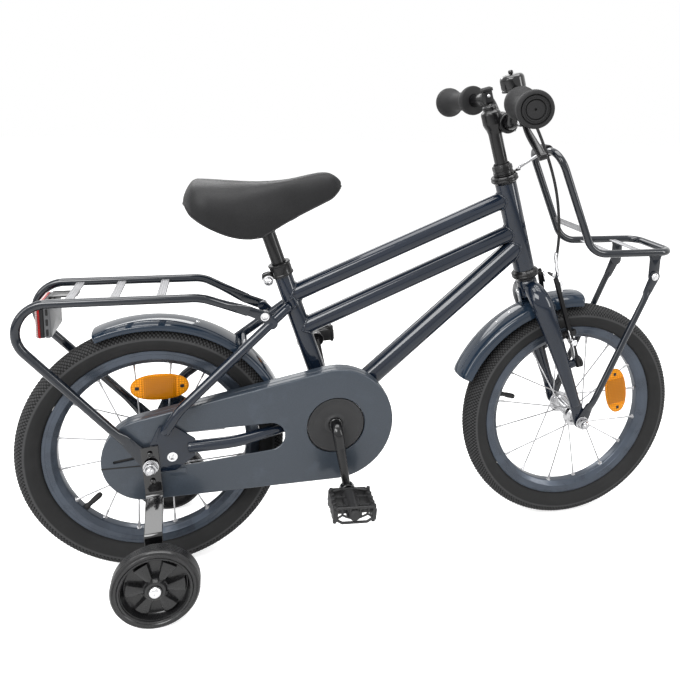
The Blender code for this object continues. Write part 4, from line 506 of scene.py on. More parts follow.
class Bench(Nodes):  # one material and the few kinds of node that its finish needs
    def __init__(self, name, tone, roughness, constants):
        self.colour = tones[tone]
        self.material = bpy.data.materials.new(name)
        self.material.use_nodes = True
        super().__init__(self.material.node_tree)
        self.shader = self.tree.nodes["Principled BSDF"]
        self.material.diffuse_color = (*self.colour, 1.0)
        self.give(self.shader, {"Base Color": (*self.colour, 1.0), "Roughness": roughness, **constants})

    def spot(self):
        return self.node("TexCoord", {}, {}, "Object")

    def place(self, scale=(1, 1, 1), turn=(0, 0, 0)):  # object coordinates, stretched or turned
        return self.node("Mapping", {"vector_type": "TEXTURE"},
            {"Vector": self.spot(), "Rotation": turn, "Scale": scale})

    def noise(self, scale, detail=3.0, roughness=0.5, at=None):
        return self.node("TexNoise", {}, {"Vector": at or self.place(), "Scale": scale, "Detail": detail,
            "Roughness": roughness})

    def cells(self, scale, at=None, feature="F1", randomness=1.0):
        return self.node("TexVoronoi", {"feature": feature},
            {"Vector": at or self.place(), "Scale": scale, "Randomness": randomness})

    def ramp(self, value, low, high):  # 0 below low, 1 above high, smooth between
        return self.node("MapRange", {"interpolation_type": "SMOOTHSTEP"},
            {"Value": value, "From Min": low, "From Max": high})

    def shade(self, factor):
        return (*[min(c * factor, 1.0) for c in self.colour], 1.0)

    def blend(self, share, first, second):  # a number is the finish's own tone times it
        first, second = (x if isinstance(x, Wire) else self.shade(x) for x in (first, second))
        return self.node("Mix", {"data_type": "RGBA"}, {0: share, 6: first, 7: second}, 2)

    def part(self, vector, axis):
        return self.node("SeparateXYZ", {}, {0: vector}, "XYZ".index(axis))

    def done(self, tone, roughness, height, strength, distance):
        normal = self.node("Bump", {}, {"Height": height, "Strength": strength, "Distance": distance})
        self.give(self.shader, {"Base Color": tone, "Roughness": roughness, "Normal": normal})
        return self.material


def paintFinish(name, tone, roughness, coat, peel):
    # Sprayed gloss paint: slow colour drift, faint orange peel, a few dull patches and fine dust
    bench = Bench(name, tone, roughness, {"Coat Weight": coat, "Coat Roughness": 0.04,
        "Specular IOR Level": 0.22})
    drift = bench.ramp(bench.noise(9, 2), 0.3, 0.7)
    dust = bench.ramp(bench.noise(1400, 2, 0.6), 0.66, 0.8)
    tone = bench.blend(drift, 0.9, 1.12)
    tone = bench.blend(dust * 0.25, tone, 3.2)
    dull = bench.ramp(bench.noise(34, 4), 0.45, 0.75)
    return bench.done(tone, roughness + dull * 0.1, bench.noise(420, 2), peel, 0.0006)


def plasticFinish(name, tone, roughness=0.45, grain=900, depth=0.12, coat=0.0):
    # Moulded plastic: fine spark-erosion grain, slow drift and slightly paler worn spots
    bench = Bench(name, tone, roughness, {"Coat Weight": coat, "Coat Roughness": 0.12,
        "Specular IOR Level": 0.35})
    worn = bench.ramp(bench.noise(26, 5, 0.6), 0.52, 0.78)
    fleck = bench.ramp(bench.noise(grain, 3, 0.6), 0.35, 0.75)
    tone = bench.blend(worn, 0.93, 1.28)
    tone = bench.blend(fleck * 0.4, tone, 1.5)
    return bench.done(tone, roughness + worn * 0.08 - fleck * 0.05, bench.noise(grain, 3, 0.6), depth, 0.0005)


def metalFinish(name, tone, roughness=0.12, streak=(1, 1, 1), smear=0.1, depth=0.03):
    # Bright metal: fine polishing marks stretched along one way, and a few duller smears
    bench = Bench(name, tone, roughness, {"Metallic": 1.0})
    marks = bench.noise(700, 3, 0.6, bench.place(scale=streak))
    smears = bench.ramp(bench.noise(45, 3), 0.45, 0.8)
    tone = bench.blend(smears, 1.0, 0.82)
    return bench.done(tone, roughness + marks * 0.1 + smears * smear, marks, depth, 0.0004)


def wheelRadius(bench):  # distance from the nearer hub, and across the bike
    spot = bench.spot()
    forward = bench.node("Math", {"operation": "ABSOLUTE"}, {0: bench.part(spot, "X")}) - bike["front"][0]
    height = bench.part(spot, "Z") - bike["front"][2]
    return (forward * forward + height * height) ** 0.5, bench.part(spot, "Y")


def rubberFinish(name, tone, roughness=0.72, grain=1500, chalk=0.35):
    # Rubber: matt, with a chalky bloom in slow clouds and a very fine skin
    bench = Bench(name, tone, roughness, {"Specular IOR Level": 0.25})
    bloom = bench.ramp(bench.noise(18, 5, 0.65), 0.4, 0.85)
    skin = bench.noise(grain, 2, 0.6)
    tone = bench.blend(bloom * chalk, 0.9, 2.0)
    if name == "tyreRubber":  # the outer band of the tyre is made lighter, and the bottoms of the sunk grooves of the tread get painted shade, both found from the tyre's round section
        radius, across = wheelRadius(bench)
        out = (radius - 0.183) * (1 / 0.017)
        aside = across * (1 / 0.0229)
        groove = bench.ramp(out * out + aside * aside, 0.98, 0.88) * bench.ramp(radius, 0.18, 0.1815)
        tone = bench.blend(bench.ramp(radius, 0.18, 0.1825) * 0.9, tone, 3.2)
        # painted shade: the groove bottoms are darkened to 0.14 of the tone
        tone = bench.blend(groove * 0.95, tone, 0.14)
    return bench.done(tone, roughness + skin * 0.18 - 0.06, skin, 0.1, 0.0004)


def coverFinish(name, tone):
    # Vinyl saddle cover: small pebbles with creases between them, the creases darkened as painted shade,
    # satin, rubbed smoother on top
    bench = Bench(name, tone, 0.5, {"Specular IOR Level": 0.25})
    pebble = bench.cells(620, feature="DISTANCE_TO_EDGE")
    crease = bench.ramp(pebble, 0.02, 0.22)
    rub = bench.ramp(bench.noise(14, 3), 0.4, 0.75)
    # painted shade: the creases between pebbles are darker, 0.72 of the tone against 1.08 on the pebbles
    tone = bench.blend(crease, 0.72, 1.08)
    tone = bench.blend(rub * 0.4, tone, 1.35)
    return bench.done(tone, 0.56 - crease * 0.07 - rub * 0.06, crease * 0.7 + bench.noise(1500, 2) * 0.3,
        0.22, 0.0005)


def lensFinish(name, tone, cell=260, turn=(0, 0, 0)):
    # Reflector lens: rows of small prisms under a clear face, with a painted glint where a prism faces out
    bench = Bench(name, tone, 0.24, {"Coat Weight": 0.06, "Coat Roughness": 0.03, "Specular IOR Level": 0.2})
    prism = bench.cells(cell, bench.place(turn=turn), randomness=0.0)
    paintedGlint = bench.ramp(prism, 0.15, 0.52)
    # painted glint: the middle of each prism cell is lighter and its edges darker
    tone = bench.blend(paintedGlint, 1.1, 0.7)
    return bench.done(tone, 0.24, prism, 0.35, 0.0008)


def rimFinish(name, tone):
    # Painted rim: fine turned rings round each hub in the roughness and the bump, and a slow drift of tone
    bench = Bench(name, tone, 0.3, {"Metallic": 0.55, "Coat Weight": 0.35, "Coat Roughness": 0.1})
    radius = wheelRadius(bench)[0]
    ring = bench.node("Math", {"operation": "SINE"}, {0: radius * 9000.0})
    drift = bench.ramp(bench.noise(30, 3), 0.35, 0.7)
    tone = bench.blend(drift, 0.88, 1.15)
    return bench.done(tone, 0.3 + ring * 0.05 + drift * 0.06, ring, 0.06, 0.0003)


framePaint = paintFinish("framePaint", "frame", 0.12, 0.62, 0.02)
guardPaint = paintFinish("guardPaint", "guard", 0.05, 0.45, 0.01)
casePlastic = plasticFinish("casePlastic", "case", 0.33, 700, 0.05, coat=0.25)
blackPaint = paintFinish("blackPaint", "black", 0.3, 0.35, 0.04)
bellBlack = paintFinish("bellBlack", "black", 0.14, 0.7, 0.02)
rackPaint = paintFinish("rackPaint", "rack", 0.08, 0.75, 0.01)
armPaint = paintFinish("armPaint", "black", 0.1, 1.0, 0.015)
crankPaint = paintFinish("crankPaint", "black", 0.16, 0.5, 0.03)
discPlastic = plasticFinish("discPlastic", "disc", 0.5, 900, 0.1)
pedalPlastic = plasticFinish("pedalPlastic", "pedal", 0.46, 700, 0.16)
wheelPlastic = plasticFinish("wheelPlastic", "petal", 0.3, 800, 0.05, coat=0.3)
greyPlastic = plasticFinish("greyPlastic", "grey", 0.35, 900, 0.06, coat=0.2)
clearRim = lensFinish("clearRim", "clear", 300)
cableSkin = plasticFinish("cableSkin", "plastic", 0.38, 1400, 0.04, coat=0.1)
blackPlastic = plasticFinish("blackPlastic", "plastic", 0.48)
tyreRubber = rubberFinish("tyreRubber", "rubber")
gripRubber = rubberFinish("gripRubber", "pedal", 0.6, 1100, 0.2)
saddleCover = coverFinish("saddleCover", "cover")
rimPaint = rimFinish("rimPaint", "rim")
chromePlate = metalFinish("chromePlate", "chrome")
hubPlate = metalFinish("hubPlate", "hub", 0.14)
dullSteel = metalFinish("dullSteel", "steel", 0.28, (1, 1, 1), 0.18, 0.06)
silverStrip = metalFinish("silverStrip", "strip", 0.26, (1, 0.04, 1), 0.08, 0.05)
orangeLens = lensFinish("orangeLens", "orange")
amberLens = lensFinish("amberLens", "amber", 330)
redLens = lensFinish("redLens", "red", 240, (0, math.radians(90), 0))
print("finishes made")

# Camera at the photograph's place: eye point, turns in radians, focal length in mm, shift in image widths
view = {
    "eye": (-0.248217, -1.065875, 0.762061),
    "yaw": 0.255816,
    "pitch": -0.177187,
    "roll": 0.033525,
    "lens": 36.48,
    "shift": (-0.0890, -0.1845),
}


def linked(data, matrix=None):
    made = bpy.data.objects.new(data.name, data)
    if matrix:
        made.matrix_world = matrix
    bpy.context.scene.collection.objects.link(made)
    return made


def looking(spot, right, above, back):  # placed at the spot and facing away from back
    return Matrix.Translation(spot) @ Matrix((right, above, back)).transposed().to_4x4()


def placeCamera():
    yaw, pitch, roll = view["yaw"], view["pitch"], view["roll"]
    forward = Vector((math.sin(yaw) * math.cos(pitch), math.cos(yaw) * math.cos(pitch), math.sin(pitch)))
    right = Vector((math.cos(yaw), -math.sin(yaw), 0))
    above = right.cross(forward)
    turnedRight = math.cos(roll) * right + math.sin(roll) * above
    turnedUp = math.cos(roll) * above - math.sin(roll) * right
    data = bpy.data.cameras.new("camera")
    data.lens = view["lens"]
    data.sensor_width = 36.0
    data.sensor_fit = "HORIZONTAL"
    data.shift_x, data.shift_y = view["shift"]
    data.clip_start = 0.05
    bpy.context.scene.camera = linked(data, looking(view["eye"], turnedRight, turnedUp, -forward))


placeCamera()

studio = {
    "sky": 0.34,
    "lift": 0.72,
    "lamps": (  # name, place, the point it faces, size, power
        ("key", (-1.6, -1.9, 2.6), (0, 0, 0.35), (2.0, 1.3), 74.0),
        ("top", (-0.1, 0.05, 2.8), (-0.1, 0.05, 0), (2.8, 1.5), 66.0),
        ("fill", (2.4, -1.6, 1.4), (0, 0, 0.35), (0.6, 1.8), 24.0),
        ("side", (-2.5, -1.0, 1.5), (0, 0, 0.45), (0.8, 1.4), 16.0),
        ("back", (-0.6, 2.6, 2.0), (0, 0, 0.35), (2.0, 0.8), 20.0),
    ),
}


def makeStudio():
    world = bpy.data.worlds.new("studio")
    bpy.context.scene.world = world
    world.use_nodes = True
    sky = Nodes(world.node_tree)
    seen = sky.rays("Is Camera Ray", "Is Glossy Ray", "Is Transmission Ray")
    strength = sky.node("MapRange", {}, {"Value": seen, "To Min": studio["sky"], "To Max": 1.0})
    sky.give(sky.tree.nodes["Background"], {"Color": (1, 1, 1, 1), "Strength": strength})

    mesh = bpy.data.meshes.new("floor")
    mesh.from_pydata([(-9, -9, 0), (9, -9, 0), (9, 9, 0), (-9, 9, 0)], [], [(0, 1, 2, 3)])
    linked(mesh)
    paper = Bench("floorPaper", "paper", 0.9, {"Specular IOR Level": 0.1})
    glow = paper.node("Emission", {}, {"Strength": studio["lift"]})
    nothing = paper.node("Emission", {}, {"Strength": 0.0})
    seen = paper.rays("Is Camera Ray", "Is Transmission Ray")
    choose = paper.node("MixShader", {}, {0: seen, 1: nothing, 2: glow})
    both = paper.node("AddShader", {}, {0: Wire(paper, paper.shader.outputs[0]), 1: choose})
    paper.give(paper.tree.nodes["Material Output"], {"Surface": both})
    mesh.materials.append(paper.material)

    for name, spot, target, size, power in studio["lamps"]:
        data = bpy.data.lights.new(name, "AREA")
        data.shape = "RECTANGLE"
        data.size, data.size_y = size
        data.energy = power
        back = (Vector(spot) - Vector(target)).normalized()
        level = Vector((0, 0, 1)).cross(back)
        level = level.normalized() if level.length > 0.01 else Vector((1, 0, 0))
        linked(data, looking(spot, level, back.cross(level), back))


makeStudio()
bpy.context.scene.view_settings.view_transform = "Standard"
print("camera and studio made")

wheel = {
    "tyreKnots": ((0.1613, 0.0122), (0.1634, 0.0152), (0.1685, 0.0186), (0.1755, 0.0217), (0.183, 0.0229),
                  (0.1893, 0.0214), (0.1948, 0.017), (0.1985, 0.0098), (0.2, 0.0)),
    "knobs": 204,           # diamonds of tread round the tyre
    "knobDepth": 0.0014,
    "treadHalf": 0.031,     # of the tread, measured across its curve
    "steps": 1224,
    "rim": ((0.161, 0.013), (0.156, 0.013), (0.1553, 0.0126), (0.1478, 0.0126), (0.147, 0.0118),
            (0.1412, 0.0078), (0.14, 0.0066)),
    "spokes": 16,
    "spokeLean": 24.0,
    "spokeRadius": 0.00115,
    "valves": {"front": 163.5, "rear": 222.0},
}


def mirrored(half):  # a profile of (radius, height) followed by its mirror image, back to front
    half = np.asarray(half, float)
    return np.vstack([half, (half * (1, -1))[::-1]])


def tyreShell(centre):
    # Outer curve of the tyre turned round the hub, with two crossing sets of grooves sunk in the tread
    half = smoothRoute(wheel["tyreKnots"], 14)
    outer = np.vstack([half, (half * (1, -1))[-2::-1]])
    run = runAlong(outer)
    middle, tread = run[-1] / 2, wheel["treadHalf"]
    coarse = np.linspace(0, middle - tread, 11)[:-1]
    at = np.concatenate([coarse, np.linspace(middle - tread, middle + tread, 44), run[-1] - coarse[::-1]])
    profile = np.stack([np.interp(at, run, outer[:, k]) for k in (0, 1)], -1)
    across = (at - middle)[:, None]
    cell = 2 * math.pi * bike["tyreRadius"] / wheel["knobs"]

    def groove(radius, height, turn):
        along = turn * bike["tyreRadius"] / cell
        first = np.abs((along + across / cell / 1.15) % 1 - 0.5) * 2
        second = np.abs((along - across / cell / 1.15) % 1 - 0.5) * 2
        wall = np.clip((np.maximum(first, second) - 0.52) / 0.22, 0, 1)
        fade = np.clip((tread - np.abs(across)) / 0.002, 0, 1)
        ridge = 0.0007 * np.exp(-((np.abs(across) - tread - 0.0012) / 0.0008) ** 2)
        thread = 0.0007 * np.exp(-((np.abs(across) - middle + 0.0055) / 0.0009) ** 2)
        sink = wheel["knobDepth"] * wall * wall * (3 - 2 * wall) * fade - ridge - thread
        out = unit(np.stack([radius - 0.176, height], -1))
        return np.minimum(radius - sink * out[..., 0], bike["tyreRadius"]), height - sink * out[..., 1]

    return lathe(profile, facing(left, centre), wheel["steps"], True, groove)


def hubProfile(flange, spread, barrel, ends):
    # Turned hub: bearing cups, dished flanges and a waisted barrel
    leftHalf, rightHalf = (
        [(0.0052, end), (0.0068, end), (0.0082, end - 0.003), (0.0092, spread + 0.006),
         (0.0125, spread + 0.003), (flange - 0.006, spread + 0.0014), (flange, spread + 0.0014),
         (flange, spread - 0.0014), (flange - 0.006, spread - 0.0016), (barrel + 0.002, spread - 0.0035),
         (barrel, spread - 0.008), (barrel * 0.94, spread * 0.4)] for end in ends)
    return leftHalf + [(r, -h) for r, h in rightHalf[::-1]]


def spokeShells(centre, flange, spread):
    # Each spoke runs from its flange hole to the rim; its neighbour leans the other way
    wires, ends = [], []
    nipple = [(0, -0.001), (0.0022, -0.001), (0.0024, 0.0006), (0.0018, 0.0016), (0.0018, 0.0085),
        (0.0013, 0.012), (0.0011, 0.0128), (0, 0.0128)]
    ferrule = [(0, 0.0004), (0.0036, 0.0004), (0.0042, -0.0004), (0.0042, -0.0008), (0, -0.0008)]
    head = [(0, 0.0013), (0.0013, 0.001), (0.0019, 0.0003), (0.0019, 0), (0, 0)]
    for number in range(wheel["spokes"]):
        side = 1 if number % 2 == 0 else -1
        inner = -1 if (number // 2) % 2 else 1  # 1 for a spoke inside its flange, with its head outside
        angle = 2 * math.pi * (number + 0.5) / wheel["spokes"]
        root = angle + math.radians(wheel["spokeLean"]) * inner * 2
        hole = centre + swung(root) * (flange - 0.003) + left * side * (spread - 0.0021 * inner)
        foot = centre + swung(angle) * 0.1395 + left * side * 0.0032
        along = unit(foot - hole)
        wires.append(bar(hole + left * side * inner * 0.004, hole, wheel["spokeRadius"], 8, 0.0002))
        wires.append(bar(hole, foot, wheel["spokeRadius"], 8, 0.0002))
        wires.append(lathe(head, facing(left * side * inner, hole + left * side * inner * 0.0026), 10))
        ends.append(lathe(nipple, facing(-along, foot - along * 0.0006), 12))
        ends.append(lathe(ferrule, facing(-swung(angle),
            centre + swung(angle) * 0.1398 + left * side * 0.0032), 14))
    return wires, ends


def buildWheel(name, centre, flange, spread, barrel, bearings):
    body, axle = name + "_wheel", facing(left, centre)
    piece(name + "_tyre_tread", body, [(tyreShell(centre), tyreRubber)], name + "_tyre", 50)
    bed = [(0.161, -0.0106), (0.144, -0.0062), (0.144, 0.0062), (0.161, 0.0106)]
    rim = turned(np.vstack([mirrored(wheel["rim"]), bed]), 0.0016, axle, 200, True)
    piece(name + "_rim_hoop", body, [(rim, rimPaint)], name + "_rim")
    way = swung(math.radians(wheel["valves"][name]))
    stem = [(0, 0), (0.0052, 0), (0.0048, 0.004), (0.004, 0.006), (0.0038, 0.0125), (0.0044, 0.0132),
        (0.0046, 0.027), (0.0036, 0.03), (0, 0.0304)]
    piece(name + "_valve", body, [(turned(stem, 0.0006, facing(-way, centre + way * 0.1404), 20),
        gripRubber)])
    hub = turned(hubProfile(flange, spread, barrel, bearings), 0.0008, axle, 64, True)
    wires, ends = spokeShells(centre, flange, spread)
    piece(name + "_hub_shell", body, [(hub, hubPlate)], name + "_hub")
    piece(name + "_spokes", body, [(wires, dullSteel)])
    piece(name + "_nipples", body, [(ends, dullSteel)])


buildWheel("front", frontHub, 0.020, 0.027, 0.013, (0.0490, 0.0490))
buildWheel("rear", rearHub, 0.028, 0.024, 0.021, (0.0495, 0.0335))
print("wheels made")

spokeReflector = {
    "length": 0.086,
    "width": 0.042,
    "places": (("rear", rearHub + vec(0.0111, -0.0125, 0.1026), 0.0),
               ("front", frontHub + vec(0.0906, -0.0125, 0.0328), 100.0)),
}


def buildSpokeReflectors():
    # Oval lens in a thin rim, with two small black clips on the spokes
    half, wide = spokeReflector["length"] / 2, spokeReflector["width"] / 2
    # Each half width is the sign times the cosine or sine to the power 0.88, so the oval has blunt ends
    blunt = circle(1, 72)
    oval = np.sign(blunt) * np.abs(blunt) ** 0.88 * (half, wide)
    for name, centre, lean in spokeReflector["places"]:
        along = swung(math.radians(lean))
        view = axes(along, np.cross(-left, along), -left, centre)
        lens = [plate(oval, 0.003, view, 0.001),
            plate(oval * 0.955, 0.0012, shifted(view, 0.0017), crown=0.0003)]
        middle = denser(oval[np.abs(oval[:, 0]) < half * 0.58] * (1.0, 0.9), 0.004)
        panel = plate(middle, 0.0014, shifted(view, 0.0026), 0.0005, crown=0.0006)
        clips = []
        for end in (-1, 1):
            lens.append(block(0.0014, wide * 1.5, 0.0016, shifted(view, 0.0026, end * 0.62 * half), 0.0005,
                0.0004))
            spot = shifted(view, 0, end * 0.74 * half)
            clips.append(block(0.009, 0.007, 0.0045, shifted(spot, -0.003), 0.0015))
            clips.append(block(0.0058, 0.0052, 0.0016, shifted(spot, 0.0022, end * 0.001), 0.001, 0.0004))
        piece(name + "_spoke_reflector", name + "_wheel",
            [(lens, orangeLens), (panel, amberLens), (clips, blackPlastic)])


buildSpokeReflectors()

axleEnds = {
    "front": {"centre": frontHub, "body": "steering", "start": 0.0581, "radius": 0.0045, "reach": 0.0740},
    "rear": {"centre": rearHub, "body": "frame", "start": 0.0659, "radius": 0.0050, "reach": 0.0825},
}


def buildAxle(name):
    # Threaded axle with a washer, a flanged nut and its rounded cap on each side
    size = axleEnds[name]
    centre, radius, start = size["centre"], size["radius"], size["start"]
    shells = [bar(centre - left * 0.05, centre + left * 0.05, radius, 20)]
    threads = [(0, 0), (radius - 0.0002, 0)]
    for ring in range(14):
        z = 0.0012 * (ring + 0.5)
        threads += [(radius - 0.0006, z), (radius - 0.0001, z + 0.0006)]
    threads += [(radius - 0.0012, 0.018), (0, 0.018)]
    for side in (1, -1):
        out = facing(left * side, centre + left * side * start)
        shells.append(turned([(radius, 0), (0.0114, 0), (0.0114, 0.0018), (radius, 0.0018)], 0.0004, out, 40,
            True))
        shells.append(hexNut(0.0172, 0.008, shifted(out, 0.0018), radius))
        shells.append(lathe(threads, shifted(out, size["reach"] - start - 0.018), 24))
        if name == "front" or side < 0:
            cap = [(0, 0), (0.0074, 0), (0.0074, 0.0016), (0.0062, 0.0042), (0.0034, 0.0056), (0.003, 0.005),
                (0, 0.0048)]
            shells.append(lathe(cap, shifted(out, 0.0096), 28))
    if name == "rear":  # the arm of the coaster brake
        inside = flat(ahead, up, centre + left * (0.055 - 0.0003 - 0.00175))
        shells.append(link(((0, 0), (0.104, -0.004)), (0.011, 0.006), 0.0033, inside, 0.0007, None, (0.02, 0),
            0.004))
    piece(name + "_axle_nuts", size["body"], [(shells, hubPlate)], name + "_axle")


buildAxle("front")
buildAxle("rear")
print("axles and reflectors made")

frameSizes = {
    "seatRadius": 0.0143,
    "topRadius": 0.0143,
    "downRadius": 0.0175,
    "headRadius": 0.018,
    "shellRadius": 0.027,
    "shellHalf": 0.035,
    "topSeat": 0.2146,
    "topDrop": 0.0266,
    "midSeat": 0.156,
    "midDrop": 0.085,
    "downDrop": 0.11,
    "bead": 0.0021,
    "chainstay": 0.009,
    "seatstay": 0.0075,
    "plateOut": 0.057,      # middle of the dropouts, across the bike
    "rackOut": 0.0285,      # inner face of the rear carrier's ends
}
headLow, headHigh = steer(bike["headBottom"]), steer(bike["headTop"])
# What a tube can end on: a point on its axis, its way and its radius
seatPipe = (bracket, seatUp, frameSizes["seatRadius"])
bracketPipe = (bracket, left, frameSizes["shellRadius"])
headPipe = (headLow, steerUp, frameSizes["headRadius"])


def cutRing(start, direction, radius, pipe, inward=1, sunk=0.0):
    # Where a round tube of this radius meets the side of another, followed all round
    axisPoint, axisWay, axisRadius = pipe
    around = facing(direction, start)
    spot = start + radius * circle(1, 120) @ around[:3, :2].T
    offset = spot - axisPoint
    offset = offset - (offset @ axisWay)[:, None] * axisWay
    step = direction - (direction @ axisWay) * axisWay
    a, b = step @ step, offset @ step
    c = np.sum(offset * offset, 1) - (axisRadius - sunk) ** 2
    root = np.sqrt(np.maximum(b * b - a * c, 0))
    return spot + ((-b + inward * root) / a)[:, None] * direction


def weldBead(start, direction, radius, pipe, bead=frameSizes["bead"]):
    # A thin rope of metal with slow ripples along the cut
    direction = unit(direction)
    turn = np.arange(120) * 2 * math.pi / 120
    return tube(cutRing(start, direction, radius, pipe), bead * (1 + 0.1 * np.sin(turn * 26)), direction, 14,
        True)


def buildMainFrame():
    size = frameSizes
    tubes = (
        ("top", seat(size["topSeat"]), size["topDrop"], size["topRadius"], seatPipe),
        ("mid", seat(size["midSeat"]), size["midDrop"], size["topRadius"], seatPipe),
        ("down", bracket, size["downDrop"], size["downRadius"], bracketPipe),
    )
    for key, start, drop, radius, pipe in tubes:
        end = steer(bike["headTop"] - drop)
        way = unit(end - start)
        scales = (0.03, 0.4, 0.8, 1.0)  # each end is closed by rings laid on the tube that it meets
        rows = [cutRing(start, way, radius * k, pipe, 1, 0.0006) for k in scales]
        rows += [cutRing(end, way, radius * k, headPipe, -1, 0.0006) for k in scales[::-1]]
        shells = [grid(np.array(rows), caps=True), weldBead(end, -way, radius, headPipe),
            weldBead(start, way, radius, pipe)]
        piece(key + "_tube_skin", "frame", [(shells, framePaint)], key + "_tube")

    head, radius = bike["headTop"] - bike["headBottom"], frameSizes["headRadius"]
    profile = [(0.014, 0.0002), (radius - 0.0006, 0.0002), (radius, 0.0008), (radius, head - 0.0008),
        (radius - 0.0006, head), (0.014, head)]
    cup = [(0.014, 0), (0.0182, 0), (0.0188, -0.001), (0.0216, -0.003), (0.0232, -0.0045), (0.0232, -0.0065),
        (0.0224, -0.007), (0.0224, -0.0082), (0.023, -0.0088), (0.023, -0.0108), (0.0212, -0.0135),
        (0.014, -0.0135)]
    piece("head_tube_skin", "frame", [(turned(profile, 0.0004, facing(steerUp, headLow), 72, True),
        framePaint), (turned(cup, 0.0005, facing(steerUp, headLow), 64, True), blackPaint)], "head_tube")
    half = frameSizes["shellHalf"]
    seatShell = bar(bracket + seatUp * 0.012, seat(bike["seatTube"]), frameSizes["seatRadius"], 64, 0.0008)
    box = turned([(0.013, -half), (0.027, -half), (0.027, half), (0.013, half)], 0.001, facing(left, bracket),
        72, True)
    bead = weldBead(seat(0.02), seatUp, frameSizes["seatRadius"], bracketPipe)
    piece("seat_tube_skin", "frame", [([seatShell, box, bead], framePaint)], "seat_tube")
    upper = [(0.014, 0.0003), (0.019, 0.0003), (0.0196, 0.0014), (0.0218, 0.0032), (0.0232, 0.0046),
        (0.0232, 0.0068), (0.0222, 0.0074), (0.0222, 0.0086), (0.0228, 0.0092), (0.0228, 0.0112),
        (0.0205, 0.0132), (0.014, 0.0132)]
    piece("upper_cup", "frame", [(turned(upper, 0.0005, facing(steerUp, headHigh), 64, True), blackPaint)],
        "upper_headset_cup")


buildMainFrame()


def stayKnots(side):
    outside = frameSizes["plateOut"]
    rows = ((0.054, -0.012, outside, 1.0), (0.12, -0.0095, outside, 1.0),
        (0.16, -0.007, outside - 0.0095, 0.95), (0.197, -0.005, 0.0345, 0.88), (0.2215, -0.003, 0.0275, 0.88),
        (0.27, 0.0, 0.025, 0.95))
    return [(rearHub[0] + x, side * y, bracket[2] + z, scale) for x, z, y, scale in rows]


def rackBolt(side):  # where the rear carrier is bolted to a seat stay
    upper = seat(0.202, -0.006)
    return vec(upper[0] - 0.0396, side * frameSizes["rackOut"], upper[2] - 0.01)


def buildRearTriangle(side, name):
    route = smoothRoute(stayKnots(side), 10)
    stay = tube(route[:, :3], frameSizes["chainstay"] * route[:, 3], up, 36)
    outline = np.vstack([arc(0.015, 150, 290, 18),
        [(0.036, -0.013), (0.064, 0.009), (0.064, 0.035), (0.034, 0.058), (0.012, 0.06)]])
    dropout = plate(denser(softCorners(outline, 0.005, True), 0.004), 0.004,
        flat(ahead, up, rearHub + left * side * frameSizes["plateOut"]), 0.0008, 0.0054)
    piece("chain_stay_" + name, "frame", [([stay, dropout], framePaint)], "chainstay_" + name)

    foot = rearHub + vec(0.02, side * 0.0668, 0.052)
    lower = foot + vec(0.022, 0, 0.034)
    upper = seat(0.202, -0.006, side * 0.0135)
    path = denser(roundedPath([foot, lower, upper], [0, 0.05, 0], 5), 0.01)
    shells = [tube(path, frameSizes["seatstay"], left, 32, edge=0.003),
        weldBead(upper, lower - upper, frameSizes["seatstay"], seatPipe, 0.0016)]
    bolt = rackBolt(side)
    along = (upper - lower) * (1, 0, 1)
    onStay = lower + (upper - lower) * (((bolt - lower) @ along) / (along @ along))
    reach, rackOut = abs(onStay[1]), frameSizes["rackOut"]
    spot = flat(ahead, up, bolt * (1, 0, 1) + left * side * (reach + rackOut) / 2)
    shells.append(link(((onStay[0] - bolt[0], onStay[2] - bolt[2]), (0, 0)), (0.009, 0.0078),
        abs(rackOut - reach) + 0.003, spot, centre=(0.004, 0.002)))
    if side > 0:  # the bridge crosses where the mudguard passes under it
        share = 0.5
        for _ in range(30):
            bridge = lower + (upper - lower) * share
            reach = math.hypot(bridge[0] - rearHub[0], bridge[2] - rearHub[2])
            share += (0.2105 + 0.0008 + 0.0003 + 0.0045 - reach) / np.linalg.norm(upper - lower)
        shells.append(bar(bridge, vec(bridge[0], 0.0099 - bridge[1], bridge[2]), 0.0045, 24))
    piece("seat_stay_" + name, "frame", [(shells, framePaint)], "seatstay_" + name)


for side, name in sides:
    buildRearTriangle(side, name)
print("frame made")

clamp = {"radius": 0.0178, "height": 0.021, "inner": 0.0146, "earReach": 0.0165, "ear": 0.017}


def buildSeatClamp():
    radius, inner, high = clamp["radius"], clamp["inner"], clamp["height"]
    base = bike["seatTube"] + 0.009 - high
    profile = [(inner, 0), (radius, 0), (radius, 0.003), (radius - 0.0009, 0.004), (radius - 0.0009, 0.017),
        (radius, 0.018), (radius, 0.0204), (radius - 0.0008, high), (0.0116, high), (0.0116, 0.0124),
        (inner, 0.0124)]
    shells = [turned(profile, 0.0005, facing(seatUp, seat(base)), 64, True)]
    for side in (1, -1):
        spot = flat(seatAhead, seatUp, seat(base + 0.0035, -(inner + 0.0012 + clamp["earReach"] / 2),
            side * 0.0042))
        shells.append(block(clamp["earReach"], clamp["ear"], 0.0052, spot, 0.006))
    bolt = seat(base, -0.0243)
    metal = [bar(bolt - left * 0.01, bolt + left * 0.01, 0.003, 20),
        domeBolt(0.0072, 0.0056, facing(-left, bolt - left * 0.007)),
        washer(0.0086, 0.001, facing(-left, bolt - left * 0.0068), 28),
        hexNut(0.0098, 0.0042, facing(left, bolt + left * 0.007))]
    piece("seat_collar", "frame", [(shells, blackPaint), (metal, chromePlate)], "seat_clamp")


buildSeatClamp()

post = {"radius": 0.0111, "insert": 0.075, "top": 0.325}


